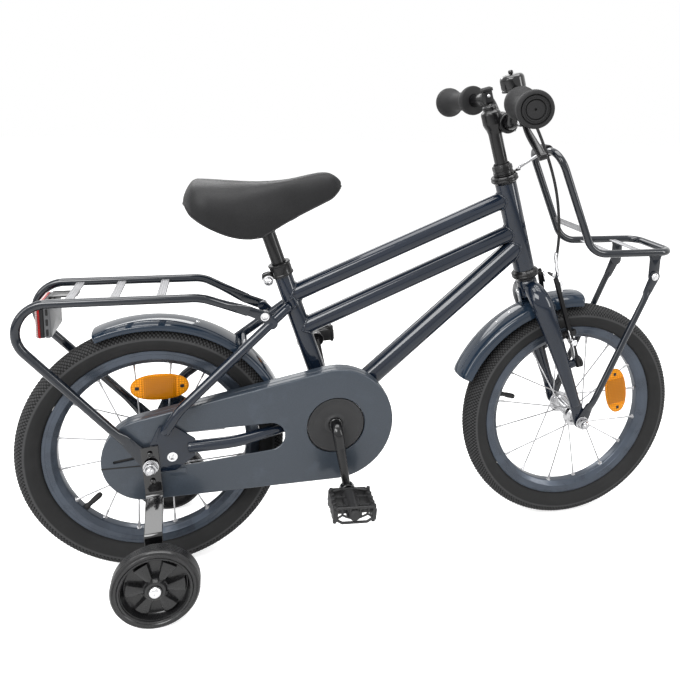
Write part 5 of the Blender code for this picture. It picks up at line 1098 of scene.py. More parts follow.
def buildSeatPost():
    low, radius = bike["seatTube"] - post["insert"], post["radius"]
    length = post["top"] - low
    profile = [(0, 0), (radius - 0.001, 0), (radius, 0.001), (radius, length), (0, length)]
    collar = [(0, -0.004), (0.0115, -0.004), (0.0126, -0.0028), (0.0126, 0.017), (0.0118, 0.018), (0, 0.018)]
    grip = seat(post["top"] + 0.02)
    shells = [turned(profile, 0.0005, facing(seatUp, seat(low)), 56),
        turned(collar, 0.0006, facing(seatUp, seat(post["top"])), 48),
        bar(grip - left * 0.02, grip + left * 0.02, 0.009, 36, 0.0015)]
    nuts = [hexNut(0.0125, 0.006, facing(left * side, grip + left * side * 0.02)) for side in (1, -1)]
    piece("seat_post_tube", "seat", [(shells, blackPaint), (nuts, chromePlate)], "seat_post")


buildSeatPost()
print("seat post and collar made")

fork = {
    "crownLow": 0.2374,
    "crown": 0.0175,
    "race": 0.016,
    "raceHeight": 0.0045,
    "steerer": 0.0127,
    "bore": 0.0114,
    "bladeRadius": 0.0145,
    "blade": (  # up the steering line, sideways, scale of the radius, stretch fore and aft
        (0.2514, 0.006, 1.0, 1.0), (0.2474, 0.025, 1.0, 1.12), (0.2334, 0.0385, 0.97, 1.32),
        (0.2094, 0.0435, 0.87, 1.42), (0.1559, 0.0478, 0.8, 1.3), (0.088, 0.051, 0.72, 1.1),
        (0.034, 0.052, 0.634, 1.0)),
    "pivot": (0.1094, 0.0485),
    "armAhead": 0.036,
    "armThick": 0.008,
}


def bladeAhead(along):  # how far the blades lean ahead of the steering line
    return bike["forkOffset"] * (1 - along / bike["crownTop"])


def buildFork():
    race, top, high, low = fork["race"], bike["crownTop"], fork["raceHeight"], fork["crownLow"]
    profile = [(0, low - 0.001), (0.015, low - 0.001), (fork["crown"], low + 0.002),
        (fork["crown"], top - 0.0035), (race, top - 0.0015), (race, top), (fork["steerer"], top + 0.001),
        (fork["steerer"], bike["locknutTop"] - 0.002), (fork["bore"], bike["locknutTop"] - 0.002),
        (fork["bore"], 0.395), (0, 0.395)]
    shells = [turned(profile, 0.0008, facing(steerUp, steerFoot), 64)]
    pivotUp, pivotOut = fork["pivot"]
    nut = [(0, 0), (0.0062, 0), (0.0062, 0.0008), (0.0048, 0.003), (0.0022, 0.0034), (0.0022, 0.0016),
        (0, 0.0016)]
    metal = []
    for side in (1, -1):
        route = smoothRoute([(*steer(along, bladeAhead(along), side * out), scale, stretch)
            for along, out, scale, stretch in fork["blade"]], 10)
        shells.append(tube(route[:, :3], fork["bladeRadius"] * route[:, 3], steerAhead, 40, edge=0.002,
            stretch=route[:, 4]))
        tip = steer(0.044, bike["forkOffset"] * 0.85) - frontHub
        shells.append(link(((0, 0), (tip[0], tip[2])), (0.0125, 0.0095), 0.005,
            flat(ahead, up, frontHub + left * side * 0.052), 0.001, 0.0049))
        root = steer(pivotUp, bladeAhead(pivotUp), side * pivotOut)
        face = steer(pivotUp, fork["armAhead"] - 0.0003, side * pivotOut)
        shells.append(bar(root, face, 0.007, 32))
        shells.append(tube(root + steerAhead * 0.0095 + circle(0.0072, 40) @ (steerUp, left), 0.0012,
            steerAhead, 10, True))
        metal.append(bar(face - steerAhead * 0.002, face + steerAhead * 0.0118, 0.0036, 24))
        metal.append(turned(nut, 0.0003, facing(steerAhead, face + steerAhead * 0.009), 28))
    ring = [(fork["steerer"], top + 0.0002), (race - 0.0004, top + 0.0002), (race, top + 0.001),
        (race, top + high - 0.0008), (race - 0.001, top + high), (fork["steerer"], top + high)]
    piece("fork_body", "steering", [(shells, framePaint),
        (turned(ring, 0.0003, facing(steerUp, steerFoot), 56, True), blackPaint), (metal, chromePlate)],
        "fork")


buildFork()

headset = {"bottom": 0.4578, "radius": 0.017, "bore": 0.013}


def buildLocknut():
    r, low, high, bore = headset["radius"], headset["bottom"], bike["locknutTop"], headset["bore"]
    profile = [(bore, low), (r - 0.0006, low), (r, low + 0.0008), (r, low + 0.0042),
        (r - 0.0011, low + 0.0048), (r - 0.0011, low + 0.006), (r, low + 0.0066), (r, low + 0.0128),
        (r - 0.0008, low + 0.0138), (r - 0.002, low + 0.0143), (0.0138, high - 0.0014), (0.0134, high),
        (bore, high)]

    def flats(radius, height, turn):  # eight spanner flats on the upper ring
        side = math.pi / 4
        face = (r - 0.0007) / np.cos((turn + side / 2) % side - side / 2)
        band = (height > low + 0.0064) & (height < low + 0.014)
        return np.where(band, np.minimum(radius, face), radius), height + 0 * turn

    dense = denser(softCorners(profile, 0.0003, True), 0.0012)
    piece("locknut", "steering", [(lathe(dense, facing(steerUp, steerFoot), 96, True, flats), blackPaint)],
        "headset_locknut")


buildLocknut()

stem = {"quill": 0.0111, "head": 0.0165, "top": 0.5685, "low": 0.41, "clampHalf": 0.018, "reach": 0.0212}


def buildStem():
    high, head, quill, half = stem["top"], stem["head"], stem["quill"], stem["clampHalf"]
    profile = [(radius, high - drop) for radius, drop in ((0, 0.0005), (0.003, 0.0005), (0.0032, -0.0022),
        (0.0066, -0.0022), (0.0072, -0.0038), (0.0108, -0.004), (0.012, -0.0026), (0.012, 0.0006),
        (0.0113, 0.0014), (0.0113, 0.003), (0.013, 0.0042), (0.0155, 0.0062), (head, 0.0092), (head, 0.0255),
        (0.015, 0.03), (0.0128, 0.035), (quill + 0.0002, 0.0415), (quill, 0.045))]
    shells = [turned(profile + [(quill, stem["low"]), (0, stem["low"])], 0.0012, facing(steerUp, steerFoot),
        64)]
    centre = steer(bike["barLevel"], stem["reach"])
    ring = [(0.0114, -half), (0.0152, -half), (head, -half + 0.0016), (head, half - 0.0016), (0.0152, half),
        (0.0114, half)]
    shells.append(turned(ring, 0.0008, facing(left, centre), 64, True))
    for side in (1, -1):  # ribs round each mouth of the clamp
        shells.append(tube(centre + left * side * (half - 0.0045) + circle(head, 48) @ (ahead, up), 0.0009,
            left, 8, True))
    bolt = steer(bike["barLevel"], stem["reach"] + head - 0.004)
    ear = flat(left, steerUp, bolt - steerUp * 0.0095 - steerAhead * 0.002)
    shells.append(block(0.02, 0.01, 0.008, ear, 0.002, 0.001))
    metal = [bar(bolt - steerUp * 0.0185, bolt - steerUp * 0.004, 0.003, 20),
        domeBolt(0.0042, 0.004, facing(-steerUp, bolt - steerUp * 0.015))]
    piece("stem_body", "steering", [(shells, blackPaint), (metal, chromePlate)], "stem")


buildStem()

barSizes = {"radius": 0.0111, "half": 0.186, "flat": 0.056, "rise": 0.038, "sweep": 0.027, "bend": 0.024}


def barPoint(place):
    share = (abs(place) - barSizes["flat"]) / (barSizes["half"] - barSizes["flat"])
    return steer(bike["barLevel"] + barSizes["rise"] - 0.002 * share,
        stem["reach"] - barSizes["sweep"] * share, place)


barEnd, bend, corner = barPoint(-barSizes["half"]), barSizes["bend"], stem["clampHalf"] + 0.016
barRight = unit(barEnd - barPoint(-barSizes["flat"]))  # the way of the bar's straight right end
corners = [barPoint(barSizes["half"]), barPoint(barSizes["flat"]),
    steer(bike["barLevel"], stem["reach"], corner), steer(bike["barLevel"], stem["reach"], -corner),
    barPoint(-barSizes["flat"]), barEnd]
path = roundedPath(corners, [0, bend, bend, bend, bend, 0], 6)
piece("handlebar_tube", "steering", [(tube(path, barSizes["radius"], unit(vec(1, 0, 0.35)), 40), blackPaint)],
    "handlebar")

grip = {"inner": 0.098, "overhang": 0.007, "radius": 0.0165, "flange": 0.026}


def buildGrip(side, name):
    inner, outer = barPoint(side * grip["inner"]), barPoint(side * barSizes["half"])
    length = np.linalg.norm(outer - inner) + grip["overhang"]
    body, flange = grip["radius"], grip["flange"]
    face = [(radius, length - drop) for radius, drop in ((0, 0.0044), (0.0016, 0.0044), (0.002, 0.0018),
        (0.0128, 0.0014), (0.0133, 0.0034), (0.0143, 0.0034), (0.0148, 0.0002), (0.016, 0), (0.0166, 0.0018),
        (0.0192, 0.002), (0.0198, 0.004), (0.0208, 0.004), (0.0214, 0.0004), (0.023, 0.0004),
        (0.0252, 0.0012))]
    knots = [(flange + grow, length - drop) for grow, drop in ((0.0004, 0.0022), (0.001, 0.005),
        (0.0008, 0.0105), (-0.001, 0.016))]
    knots += [(body + 0.004, length - 0.024), (body + 0.001, length - 0.033), (body, length * 0.5),
        (body + 0.001, 0.03), (body + 0.004, 0.021), (flange - 0.0012, 0.012), (flange - 0.0002, 0.005),
        (flange - 0.001, 0.001)]
    back = [(flange - 0.003, 0.0002), (0.0116, 0.0002), (0.0114, 0.001), (0.0114, 0.004)]

    def ribs(radius, height, turn):
        share = np.clip((height - 0.026) / 0.006, 0, 1) * np.clip((length - 0.028 - height) / 0.006, 0, 1)
        wave = 0.5 - 0.5 * np.cos(2 * math.pi * height / 0.0036)
        fine = 0.5 - 0.5 * np.cos(turn * 72)
        skirt = np.clip((length - 0.0045 - height) / 0.002, 0, 1)
        skirt = skirt * np.clip((height - (length - 0.0125)) / 0.002, 0, 1)
        depth = (radius > body - 0.002) * (0.00045 * share * wave + 0.00022 * skirt * fine)
        return radius - depth + 0 * turn, height + 0 * turn

    shell = lathe(np.vstack([face, smoothRoute(knots, 10), back]), facing(outer - inner, inner), 144, False,
        ribs)
    piece("grip_" + name + "_rubber", "steering", [(shell, gripRubber)], "grip_" + name, 50)


for side, name in sides:
    buildGrip(side, name)
print("fork, stem and bar made")

bell = {"place": 0.0728, "radius": 0.019, "low": 0.0171, "high": 0.0421}


def buildBell():
    place = barPoint(-bell["place"])
    stand = facing(steerUp, place)
    r, low, top = bell["radius"], bell["low"], bell["high"]
    cap = [(0, top - 0.008), (0.0022, top - 0.008), (0.0022, top - 0.0008), (0.0032, top), (0.0085, top),
        (0.0089, top - 0.0006), (0.0094, top - 0.0006), (0.0098, top)]
    skirt = [(r, low + 0.0052), (r - 0.0005, low + 0.0046), (r - 0.0005, low + 0.0036), (r, low + 0.003),
        (r, low + 0.0004), (r - 0.0006, low), (0.0065, low), (0.006, low - 0.0012), (0.006, 0.012),
        (0, 0.012)]
    shell = lathe(np.vstack([cap, arc(0.007, 90, 0, 9) + (r - 0.007, top - 0.007), skirt]), stand, 72)
    band = turned([(0.0113, -0.0045), (0.0136, -0.0045), (0.0136, 0.0045), (0.0113, 0.0045)], 0.0006,
        facing(barRight, place), 56, True)
    screw = domeBolt(0.0026, 0.002, facing(-steerUp, place - steerUp * 0.0128))
    piece("bell_body", "steering", [(shell, bellBlack), (band, blackPlastic), (screw, chromePlate)], "bell")
    knob = [(radius, top + rise) for radius, rise in ((0, 0.007), (0.0028, 0.0066), (0.0038, 0.005),
        (0.004, 0.0028), (0.0032, 0.0008), (0.0018, 0.0004), (0.0018, -0.0075), (0, -0.0075))]
    piece("bell_knob", "striker", [(lathe(knob, stand, 32), bellBlack)], "bell_striker")


buildBell()

lever = {"place": 0.0882, "pivotDrop": 0.03, "barrelDrop": 0.0245, "barrelLength": 0.016}


def leverPoint(along, drop):
    share = (along - barSizes["flat"]) / (barSizes["half"] - barSizes["flat"])
    return barPoint(-along) - steerUp * drop + steerAhead * barSizes["sweep"] * share * 0.25


def buildLever():
    spot, drop, across = lever["place"], lever["pivotDrop"], np.cross(left, steerUp)
    outer = barSizes["radius"] + 0.0045
    shells = [turned([(0.0114, -0.0075), (outer, -0.0075), (outer, 0.0075), (0.0114, 0.0075)], 0.0012,
        facing(barRight, barPoint(-spot)), 56, True)]
    middle = leverPoint(spot, (outer + drop) / 2)
    for side in (1, -1):
        cheek = flat(left, steerUp, middle + across * side * 0.00665)
        shells.append(block(0.013, drop - outer + 0.012, 0.0047, cheek, 0.003, 0.001))
    shells.append(block(0.013, 0.0085, 0.017, flat(left, steerUp, leverPoint(spot, 0.0165)), 0.002, 0.001))
    start = leverPoint(spot - 0.005, lever["barrelDrop"])
    end = leverPoint(spot - lever["barrelLength"], lever["barrelDrop"])
    shells.append(bar(start, end, 0.0044, 28))
    reach = np.linalg.norm(end - start)

    def knurl(radius, height, turn):
        return radius - 0.0003 * (radius > 0.0043) * (0.5 - 0.5 * np.cos(turn * 14)), height + 0 * turn

    barrel = [(0, reach - 0.005), (0.0048, reach - 0.005), (0.0048, reach - 0.0004), (0.004, reach),
        (0, reach)]
    pivot = leverPoint(spot, drop)
    metal = [turned(barrel, 0.0005, facing(end - start, start), 56, False, knurl),
        bar(pivot - steerAhead * 0.0102, pivot + steerAhead * 0.0102, 0.002, 20)]
    metal += [domeBolt(0.0036, 0.0016, facing(way, pivot + way * 0.0089))
        for way in (steerAhead, -steerAhead)]
    piece("lever_bracket", "steering", [(shells, blackPaint), (metal, chromePlate)], "brake_lever_bracket")

    spots = ((spot, drop), (0.0982, 0.043), (0.1142, 0.054), (0.1362, 0.066), (0.1542, 0.075))
    line = smoothRoute([leverPoint(*spot) for spot in spots], 10)
    share = np.linspace(0, 1, len(line))[:, None]
    turn = np.arange(32)[None] * 2 * math.pi / 32
    width = 0.004 + 0.0029 * np.sin(math.pi * np.minimum(share * 1.4, 1) / 2) * (share > 0.1)
    depth = (0.0048 - 0.0014 * share) * (1 - 0.16 * np.cos(turn) ** 2)
    section = np.stack([depth * np.cos(turn), width * np.sin(turn)], -1)
    tip = line[-1]
    blade = [grid(sweep(line, section, steerAhead), caps=True),
        bar(pivot - steerAhead * 0.004, pivot + steerAhead * 0.004, 0.0057, 32),
        bar(tip - steerAhead * 0.0066, tip + steerAhead * 0.0066, 0.0049, 32, 0.0018)]
    piece("lever_blade", "lever", [(blade, blackPaint)], "brake_lever")


buildLever()

# Small black bracket on the left bend of the bar
spot = flat(left, unit(vec(-0.3, 0, 1)), vec(0.187, 0.044, 0.76))
shells = [block(0.013, 0.027, 0.015, spot, 0.003, 0.0012),
    block(0.015, 0.006, 0.019, shifted(spot, 0, 0, 0.009), 0.002, 0.001)]
screw = domeBolt(0.003, 0.002, facing(-left, vec(0.187, 0.0374, 0.759)))
piece("bar_bracket", "steering", [(shells, blackPlastic), (screw, chromePlate)])

brake = {"length": 0.149, "topSpread": 0.033, "padUp": 0.0402, "padIn": 0.015, "padThick": 0.009,
    "padLength": 0.046}
cable = {"radius": 0.0025, "guide": 0.0031, "wire": 0.0008, "boot": 0.019}


def buildCable():
    start = leverPoint(lever["place"] - lever["barrelLength"] - 0.0008, lever["barrelDrop"])
    top = fork["pivot"][0] + brake["length"]
    face = fork["armAhead"] + fork["armThick"] + 0.0045
    level = bike["barLevel"] + barSizes["rise"] - lever["barrelDrop"]
    reach = stem["reach"]
    route = smoothRoute([start, start + left * 0.009 - steerUp * 0.001 + steerAhead * 0.0045,
        steer(level - 0.006, reach + 0.019, -0.05), steer(level - 0.024, reach + 0.034, -0.04),
        steer(bike["locknutTop"] - 0.012, 0.07, -0.031), steer(bike["headTop"] - 0.04, 0.0744, -0.026),
        steer(top + 0.08, 0.066, -0.025), steer(top + 0.03, face + 0.002, -0.025),
        steer(top + 0.01, face, -0.0245), steer(top + 0.001, face, -0.018), steer(top - 0.001, face, -0.008)],
        12)
    split = int(np.argmax((route - steerFoot) @ steerUp < top + 0.036))
    last = route[-1]
    metal = [tube(route[split:], cable["guide"], ahead, 20),
        bar(steer(top + 0.046, face + 0.0034, -0.025), steer(top + 0.028, face + 0.0016, -0.025), 0.0033, 24),
        bar(start - left * 0.0002, start + left * 0.006, cable["guide"], 24),
        bar(last - left * 0.002, steer(top - 0.001, face, 0.031), cable["wire"], 12),
        lathe([(0, 0), (0.0034, 0), (0.0034, 0.004), (0.0026, 0.0052), (0, 0.0052)],
        facing(left, last - left * 0.0016), 24)]
    h = np.linspace(0, cable["boot"], 60)
    bellows = 0.0033 - 0.0011 * h / cable["boot"] - 0.00035 * (0.5 + 0.5 * np.cos(2 * math.pi * h / 0.0024))
    boot = lathe(np.vstack([[(0, 0)], np.stack([bellows, h], -1), [(0, cable["boot"])]]),
        facing(left, last + left * 0.0035), 28)
    piece("front_brake_cable", "steering", [([tube(route[:split + 1], cable["radius"], ahead, 20), boot],
        cableSkin), (metal, chromePlate)], "brake_cable")


buildCable()


def buildBrakeArm(side, name):
    base, out = fork["pivot"]
    half, outward = fork["armThick"] / 2, left * side
    middle = fork["armAhead"] + half
    view = flat(left, steerUp, steer(base, middle))
    length, spread, padIn, thick, long = (brake[key]
        for key in ("length", "topSpread", "padIn", "padThick", "padLength"))
    # Up the arm, sideways, half its width
    fine = smoothRoute([(-0.0068, out + 0.0005, 0.0062), (-0.004, out + 0.001, 0.0082), (0.008, out, 0.0083),
        (0.022, out - 0.0004, 0.0068), (0.035, out - 0.001, 0.0054), (0.055, out - 0.0035, 0.0043),
        (0.075, out - 0.006, 0.0038), (length - 0.002, spread, 0.0036), (length, spread, 0.0024)], 8)
    rightEdge, leftEdge = (np.stack([side * (fine[:, 1] + sign * fine[:, 2]), fine[:, 0]], -1)
        for sign in (1, -1))
    share = np.linspace(0, 1, 9)[None, :, None]
    across = rightEdge[:, None] * (1 - share) + leftEdge[:, None] * share
    bulge = half * (1 - np.abs(share * 2 - 1) ** 4 * 0.35) * np.ones((len(fine), 1, 1))
    front = np.concatenate([across, bulge], -1)
    arm = moved(grid(np.concatenate([front, front[:, ::-1] * (1, 1, -1)], 1), caps=True), view)

    def place(rise, sideways, forward=0.0):
        return steer(base + rise, middle + forward, side * sideways)

    level = brake["padUp"]
    padView = flat(left, steerUp, place(level, padIn + thick / 2))
    pads = [block(thick - 0.002, 0.0092, long, shifted(padView, 0, side * -0.001), 0.002, 0.0012)]
    for step in (-1.4, -0.5, 0.5, 1.4):  # blocks of the pad with grooves between them
        pads.append(block(0.003, 0.0088, long * 0.2, shifted(padView, step * 0.0108, side * -0.0028), 0.0008))
    holder = block(0.003, 0.0095, long * 0.86, shifted(padView, 0, side * 0.003), 0.001)
    springLine = np.array([place(0.004, out + 0.004, -0.003), place(0.03, out + 0.0062, -0.003),
        place(0.062, out - 0.001, -0.0028)])
    metal = [bar(place(level, padIn + thick - 0.002), place(level, out + 0.008), 0.0032, 20),
        turned([(0, 0), (0.0068, 0), (0.006, 0.0022), (0, 0.0022)], 0.0004,
        facing(outward, place(level, out - 0.0055)), 28),
        hexNut(0.01, 0.0052, facing(outward, place(level, out + 0.004))),
        domeBolt(0.0058, 0.005, facing(steerAhead, place(length - 0.007, spread, half + 0.0012))),
        block(0.0112, 0.023, 0.0022, shifted(view, half + 0.0006, side * spread, length - 0.011), 0.004,
        0.0006), tube(springLine, 0.0011, steerAhead, 10)]
    collar = turned([(0.0066, 0), (0.01, 0), (0.01, 0.0034), (0.0088, 0.0048), (0.0066, 0.0048)], 0.0006,
        facing(steerAhead, place(0.0, out, half - 0.0004)), 36, True)
    piece("brake_arm_" + name + "_body", name + "_brake",
        [([arm, collar], blackPaint), (pads, tyreRubber), (holder, blackPlastic), (metal, chromePlate)],
        "brake_arm_" + name)


for side, name in sides:
    buildBrakeArm(side, name)
print("bell, lever, cable and brake made")

rack = {
    "half": 0.056,
    "radius": 0.0064,
    "frontTop": (-0.078, 0.472),
    "frontBack": (-0.006, 0.303),
    "frontNose": (0.148, 0.303),
    "frontBends": (0.03, 0.04, 0.024, 0.024, 0.04, 0.03),
    "plate": (0.113, 0.262),
    "strut": 0.0055,
    "stripWidth": 0.013,
    "stripThick": 0.0025,
    "rearDeck": 0.255,
    "rearFront": 0.076,
    "rearCorner": -0.2236,
}


def frontPlace(forward, height, side=0.0):
    return frontHub + vec(forward, side, height)


def stripBar(middle, along, name, body, standsFor):
    # Flat cross bar with rounded edges and shallow grooves along it, welded between the side tubes
    w, t = rack["stripWidth"] / 2, rack["stripThick"] / 2
    grooves = ((0.86, 0), (0.62, 0), (0.56, 0.0004), (0.48, 0.0004), (0.42, 0), (0.07, 0), (0.03, 0.0004))
    top = [(x * w, t - d) for x, d in grooves] + [(-x * w, t - d) for x, d in grooves[::-1]]
    section = np.array(top + [(-w, t * 0.3), (-w, -t * 0.3), (-0.86 * w, -t), (0.86 * w, -t), (w, -t * 0.3),
        (w, t * 0.3)])
    length = rack["half"] - rack["radius"] - 0.0003
    path = np.linspace(middle - left * length, middle + left * length, 12)
    points = path[:, None] + section[None] @ (along, unit(np.cross(along, left)))
    shells = [grid(points, caps=True)]
    for side in (1, -1):
        end = middle + left * side * (length - 0.0014)
        shells.append(tube(np.linspace(end - along * 0.0052, end + along * 0.0052, 6), 0.0013, left, 12,
            edge=0.0008))
    piece(name, body, [(shells, silverStrip)], standsFor)


def buildFrontRack():
    wide = rack["half"]
    top, back, nose = rack["frontTop"], rack["frontBack"], rack["frontNose"]
    corners = [frontPlace(*spot, side * wide) for spot, side in ((top, -1), (back, -1), (nose, -1), (nose, 1),
        (back, 1), (top, 1))]
    path = roundedPath(corners, rack["frontBends"], 5, True)
    shells = [tube(path, rack["radius"], unit(vec(0.3, 0.45, 0.84)), 28, True)]
    drop = back[1] - rack["plate"][1]
    outline = np.vstack([arc(0.01, 180, 360, 20),
        [(0.01, drop - 0.012), (0.013, drop), (-0.013, drop), (-0.01, drop - 0.012)]])
    for side in (1, -1):
        view = flat(ahead, up, frontPlace(*rack["plate"], side * (wide + 0.0035)))
        shells.append(plate(denser(softCorners(outline, 0.003, True), 0.003), 0.003, view, 0.0007,
            centre=(0, drop * 0.4)))
        seam = frontPlace(rack["plate"][0], back[1] - 0.004, side * (wide + 0.0042))
        shells.append(tube(np.linspace(seam - ahead * 0.011, seam + ahead * 0.011, 10), 0.0016, left, 12,
            edge=0.001))
    piece("front_rack_frame", "steering", [(shells, rackPaint)], "front_rack")
    riser = unit(frontPlace(*top) - frontPlace(*back))
    spots = ((frontPlace(*back) + riser * 0.044, riser), (frontPlace(0.034, back[1]), ahead),
        (frontPlace(0.094, back[1]), ahead))
    for number, (spot, along) in enumerate(spots, 1):
        stripBar(spot, along, "front_deck_strip_%d" % number, "steering", "front_rack_bar_%d" % number)


def crimped(line, side, radius, full, inset, wide, thin, steps):
    # Tube pressed flat at its ends, which lie inward by the inset; full is 1 where it is round
    line[:, 1] -= side * (1 - full) * inset
    sections = ovals(circle(1, steps), radius * (wide - (wide - 1) * full),
        radius * (thin + (1 - thin) * full))
    return grid(sweep(line, sections, left), caps=True)


def buildStrut(side, name):
    forward, height = rack["plate"]
    lowOut, highOut = 0.0545 + 0.0003 + 0.0015, rack["half"] + 0.005 + 0.0003 + 0.0015
    way = unit(vec(forward, 0, height))
    foot, hand = frontHub + left * side * lowOut, frontPlace(forward, height, side * highOut)
    footEnd, handEnd = way * 0.03, way * -0.03
    low = frontHub + way * 0.024 + left * side * (lowOut + 0.0045)
    high = frontPlace(forward, height) - way * 0.024 + left * side * (highOut + 0.002)
    run = np.linspace(0, 1, 30)
    full = ease(np.minimum(run, 1 - run) * np.linalg.norm(high - low) / 0.022)
    rod = crimped(low + (high - low) * run[:, None], side, rack["strut"], full,
        np.where(run < 0.5, 0.004, 0.0016), 1.35, 0.3, 24)
    shells = [link(((0, 0), (footEnd[0], footEnd[2])), (0.0105, 0.0075), 0.003, flat(ahead, up, foot),
        hole=0.0049), link(((0, 0), (handEnd[0], handEnd[2])), (0.0095, 0.0075), 0.003,
        flat(ahead, up, hand)), rod]
    out = facing(left * side, hand + left * side * 0.0015)
    piece("front_strut_" + name, "steering", [(shells, rackPaint),
        ([hexNut(0.0096, 0.0036, out), washer(0.0066, 0.0008, out)], chromePlate)],
        "front_rack_strut_" + name)


def buildStay():
    bottom, tubeRadius = 0.4555, rack["radius"]
    ring = turned([(0.0131, 0), (0.017, 0), (0.017, 0.002), (0.0131, 0.002)], 0.0004,
        facing(steerUp, steer(bottom)), 56, True)
    tab = block(0.015, 0.01, 0.0018, flat(steerAhead, left, steer(bottom + 0.001, 0.0225)), 0.003, 0.0004)
    top, start = frontPlace(*rack["frontTop"]), steer(bottom + 0.002, 0.0272)
    way = unit(top - start)
    path = roundedPath([start - steerUp * 0.001, start + steerUp * 0.003 + steerAhead * 0.0035,
        top - way * (tubeRadius + 0.0015)], [0, 0.003, 0], 12)
    radius = tubeRadius + 0.0035
    lug = flat(way, left, top - way * (radius + 0.0015))
    metal = [tube(path, 0.0026, left, 20), turned([(0, 0), (0.0046, 0), (0.0046, 0.0018), (0, 0.0018)],
        0.0005, facing(steerUp, start), 24), domeBolt(0.0034, 0.0022,
        facing(lug[:3, 2], lug[:3, 3] + lug[:3, 2] * 0.0054))]
    holder = turned([(tubeRadius + 0.0003, -0.012), (radius, -0.012), (radius, 0.012),
        (tubeRadius + 0.0003, 0.012)], 0.0012, facing(left, top), 48, True)
    piece("headset_stay", "steering", [(metal, dullSteel), ([ring, tab], blackPaint),
        ([holder, block(0.007, 0.015, 0.011, lug, 0.002, 0.001)], blackPlastic)], "front_rack_stay")


buildFrontRack()
for side, name in sides:
    buildStrut(side, name)
buildStay()

guard = {
    "rear": {"centre": rearHub, "crown": 0.2105, "depth": 0.011, "angles": (22, 113)},
    "front": {"centre": frontHub - vec(0.009, 0, 0.004), "crown": 0.2255, "depth": 0.0175,
              "angles": (86, 157)},
    "half": 0.0285,
    "wall": 0.0016,
}


def guardShell(centre, crown, depth, angles):
    # Rounded channel carried round the wheel; both edges are rolled and the ends are cut to a curve
    half, wall = guard["half"], guard["wall"]
    knots = mirrored([(crown - depth, -half), (crown - depth * 0.42, -half * 0.97),
        (crown - depth * 0.12, -half * 0.7), (crown, -half * 0.25)])
    curve = smoothRoute(knots, 6)
    along = unit(np.gradient(curve, axis=0))
    normal = np.stack([along[:, 1], -along[:, 0]], -1)
    roll = onCircle(np.radians(np.linspace(0, 180, 7))[1:-1]) * 0.0011
    start = curve[0] - roll @ (normal[0], along[0])
    end = curve[-1] + roll @ (normal[-1], along[-1])
    section = np.vstack([curve + normal * wall / 2, end, (curve - normal * wall / 2)[::-1], start])
    low, high = np.radians(angles)
    reach = 0.007 / crown
    close = reach * (1 - np.cos(np.linspace(0, math.pi / 2, 9)))
    turn = np.concatenate([low + close, np.linspace(low + reach, high - reach, 110)[1:-1],
        high - close[::-1]])
    edge = np.clip(np.minimum(turn - low, high - turn) / reach, 0, 1)
    across = section[None, :, 1] * (0.8 + 0.2 * np.sqrt(1 - (1 - edge) ** 2))[:, None]
    turn, radius = turn[:, None], section[None, :, 0]
    return grid(np.stack([radius * np.cos(turn), across, radius * np.sin(turn)], -1) + centre, caps=True)


def guardBolts(size, degrees, radius, height):
    ways = [swung(math.radians(angle)) for angle in degrees]
    return [domeBolt(radius, height, facing(way, size["centre"] + way * (size["crown"] + 0.0006)))
        for way in ways]


def buildGuards():
    size = guard["rear"]
    piece("rear_guard", "frame", [(guardShell(**size), guardPaint),
        (guardBolts(size, (36.0, 71.0), 0.0034, 0.0016), chromePlate)], "rear_mudguard")

    size = guard["front"]
    centre, crown = size["centre"], size["crown"]
    ribs = []
    low, high = np.radians(size["angles"])
    for place in (-0.0095, 0.0095):  # two pressed ribs run along the crown
        turn = np.linspace(low + 0.03, high - 0.03, 70)
        swell = np.clip(np.minimum(turn - low, high - turn) / 0.08, 0.3, 1)
        line = np.stack([crown * np.cos(turn), 0 * turn + place, crown * np.sin(turn)], -1) + centre
        ribs.append(tube(line, 0.0012 * swell, left, 12, edge=0.0006))
    top, face = bike["crownTop"] - 0.012, -fork["crown"]
    lowPoint = steer(0, face - 0.0013) - centre
    foot = math.sqrt(crown ** 2 - (lowPoint @ steerAhead) ** 2) - lowPoint @ steerUp
    tab = block(0.014, top - foot, 0.002, flat(left, steerUp, steer((top + foot) / 2, face - 0.0013)), 0.004,
        0.0006)
    screw = facing(-steerAhead, steer(top - 0.008, face - 0.0022))
    bolts = [domeBolt(0.0046, 0.0034, screw), washer(0.006, 0.0009, screw)]
    bolts += guardBolts(size, (128.0, 121.0), 0.0028, 0.0014)
    piece("front_guard", "steering", [([guardShell(**size), tab] + ribs, guardPaint), (bolts, chromePlate)],
        "front_mudguard")


buildGuards()


def buildRearArm(side, name):
    bolt = rackBolt(side)
    hand = frameSizes["rackOut"] + 0.0015 + 0.0003 + 0.0015
    spots = [vec(bolt[0] - 0.024, side * (hand + 0.004), bolt[2] + 0.01)]
    spots += [rearHub + vec(x, side * rack["half"], rack["rearDeck"])
        for x in (rack["rearFront"], rack["rearCorner"])]
    spots.append(rearHub + vec(-0.03, side * (0.059 + 0.0048), 0.0375))
    path = denser(roundedPath(spots, [0, 0.05, 0.042, 0], 5), 0.012)
    run = runAlong(path)
    full = np.minimum(ease(run / 0.05), ease((run[-1] - run) / 0.03))
    inset = np.where(run < run[-1] / 2, 0.003, 0.0034)
    rod = crimped(path, side, rack["radius"], full, inset, 1.3, 0.26, 28)
    middle = bolt * (1, 0, 1) + left * side * hand
    shells = [rod, link(((0, 0), (-0.026, 0.011)), (0.008, 0.0075), 0.003, flat(ahead, up, middle)),
        link(((0, 0), (-0.03, 0.0375)), (0.0115, 0.0085), 0.003,
        flat(ahead, up, rearHub + left * side * 0.0608), hole=0.0054)]
    out = facing(left * side, middle + left * side * 0.0015)
    metal = [washer(0.0066, 0.0008, out), domeBolt(0.0052, 0.0034, out)]
    piece("rear_rack_side_" + name, "frame", [(shells, rackPaint), (metal, chromePlate)], "rear_rack_" + name)


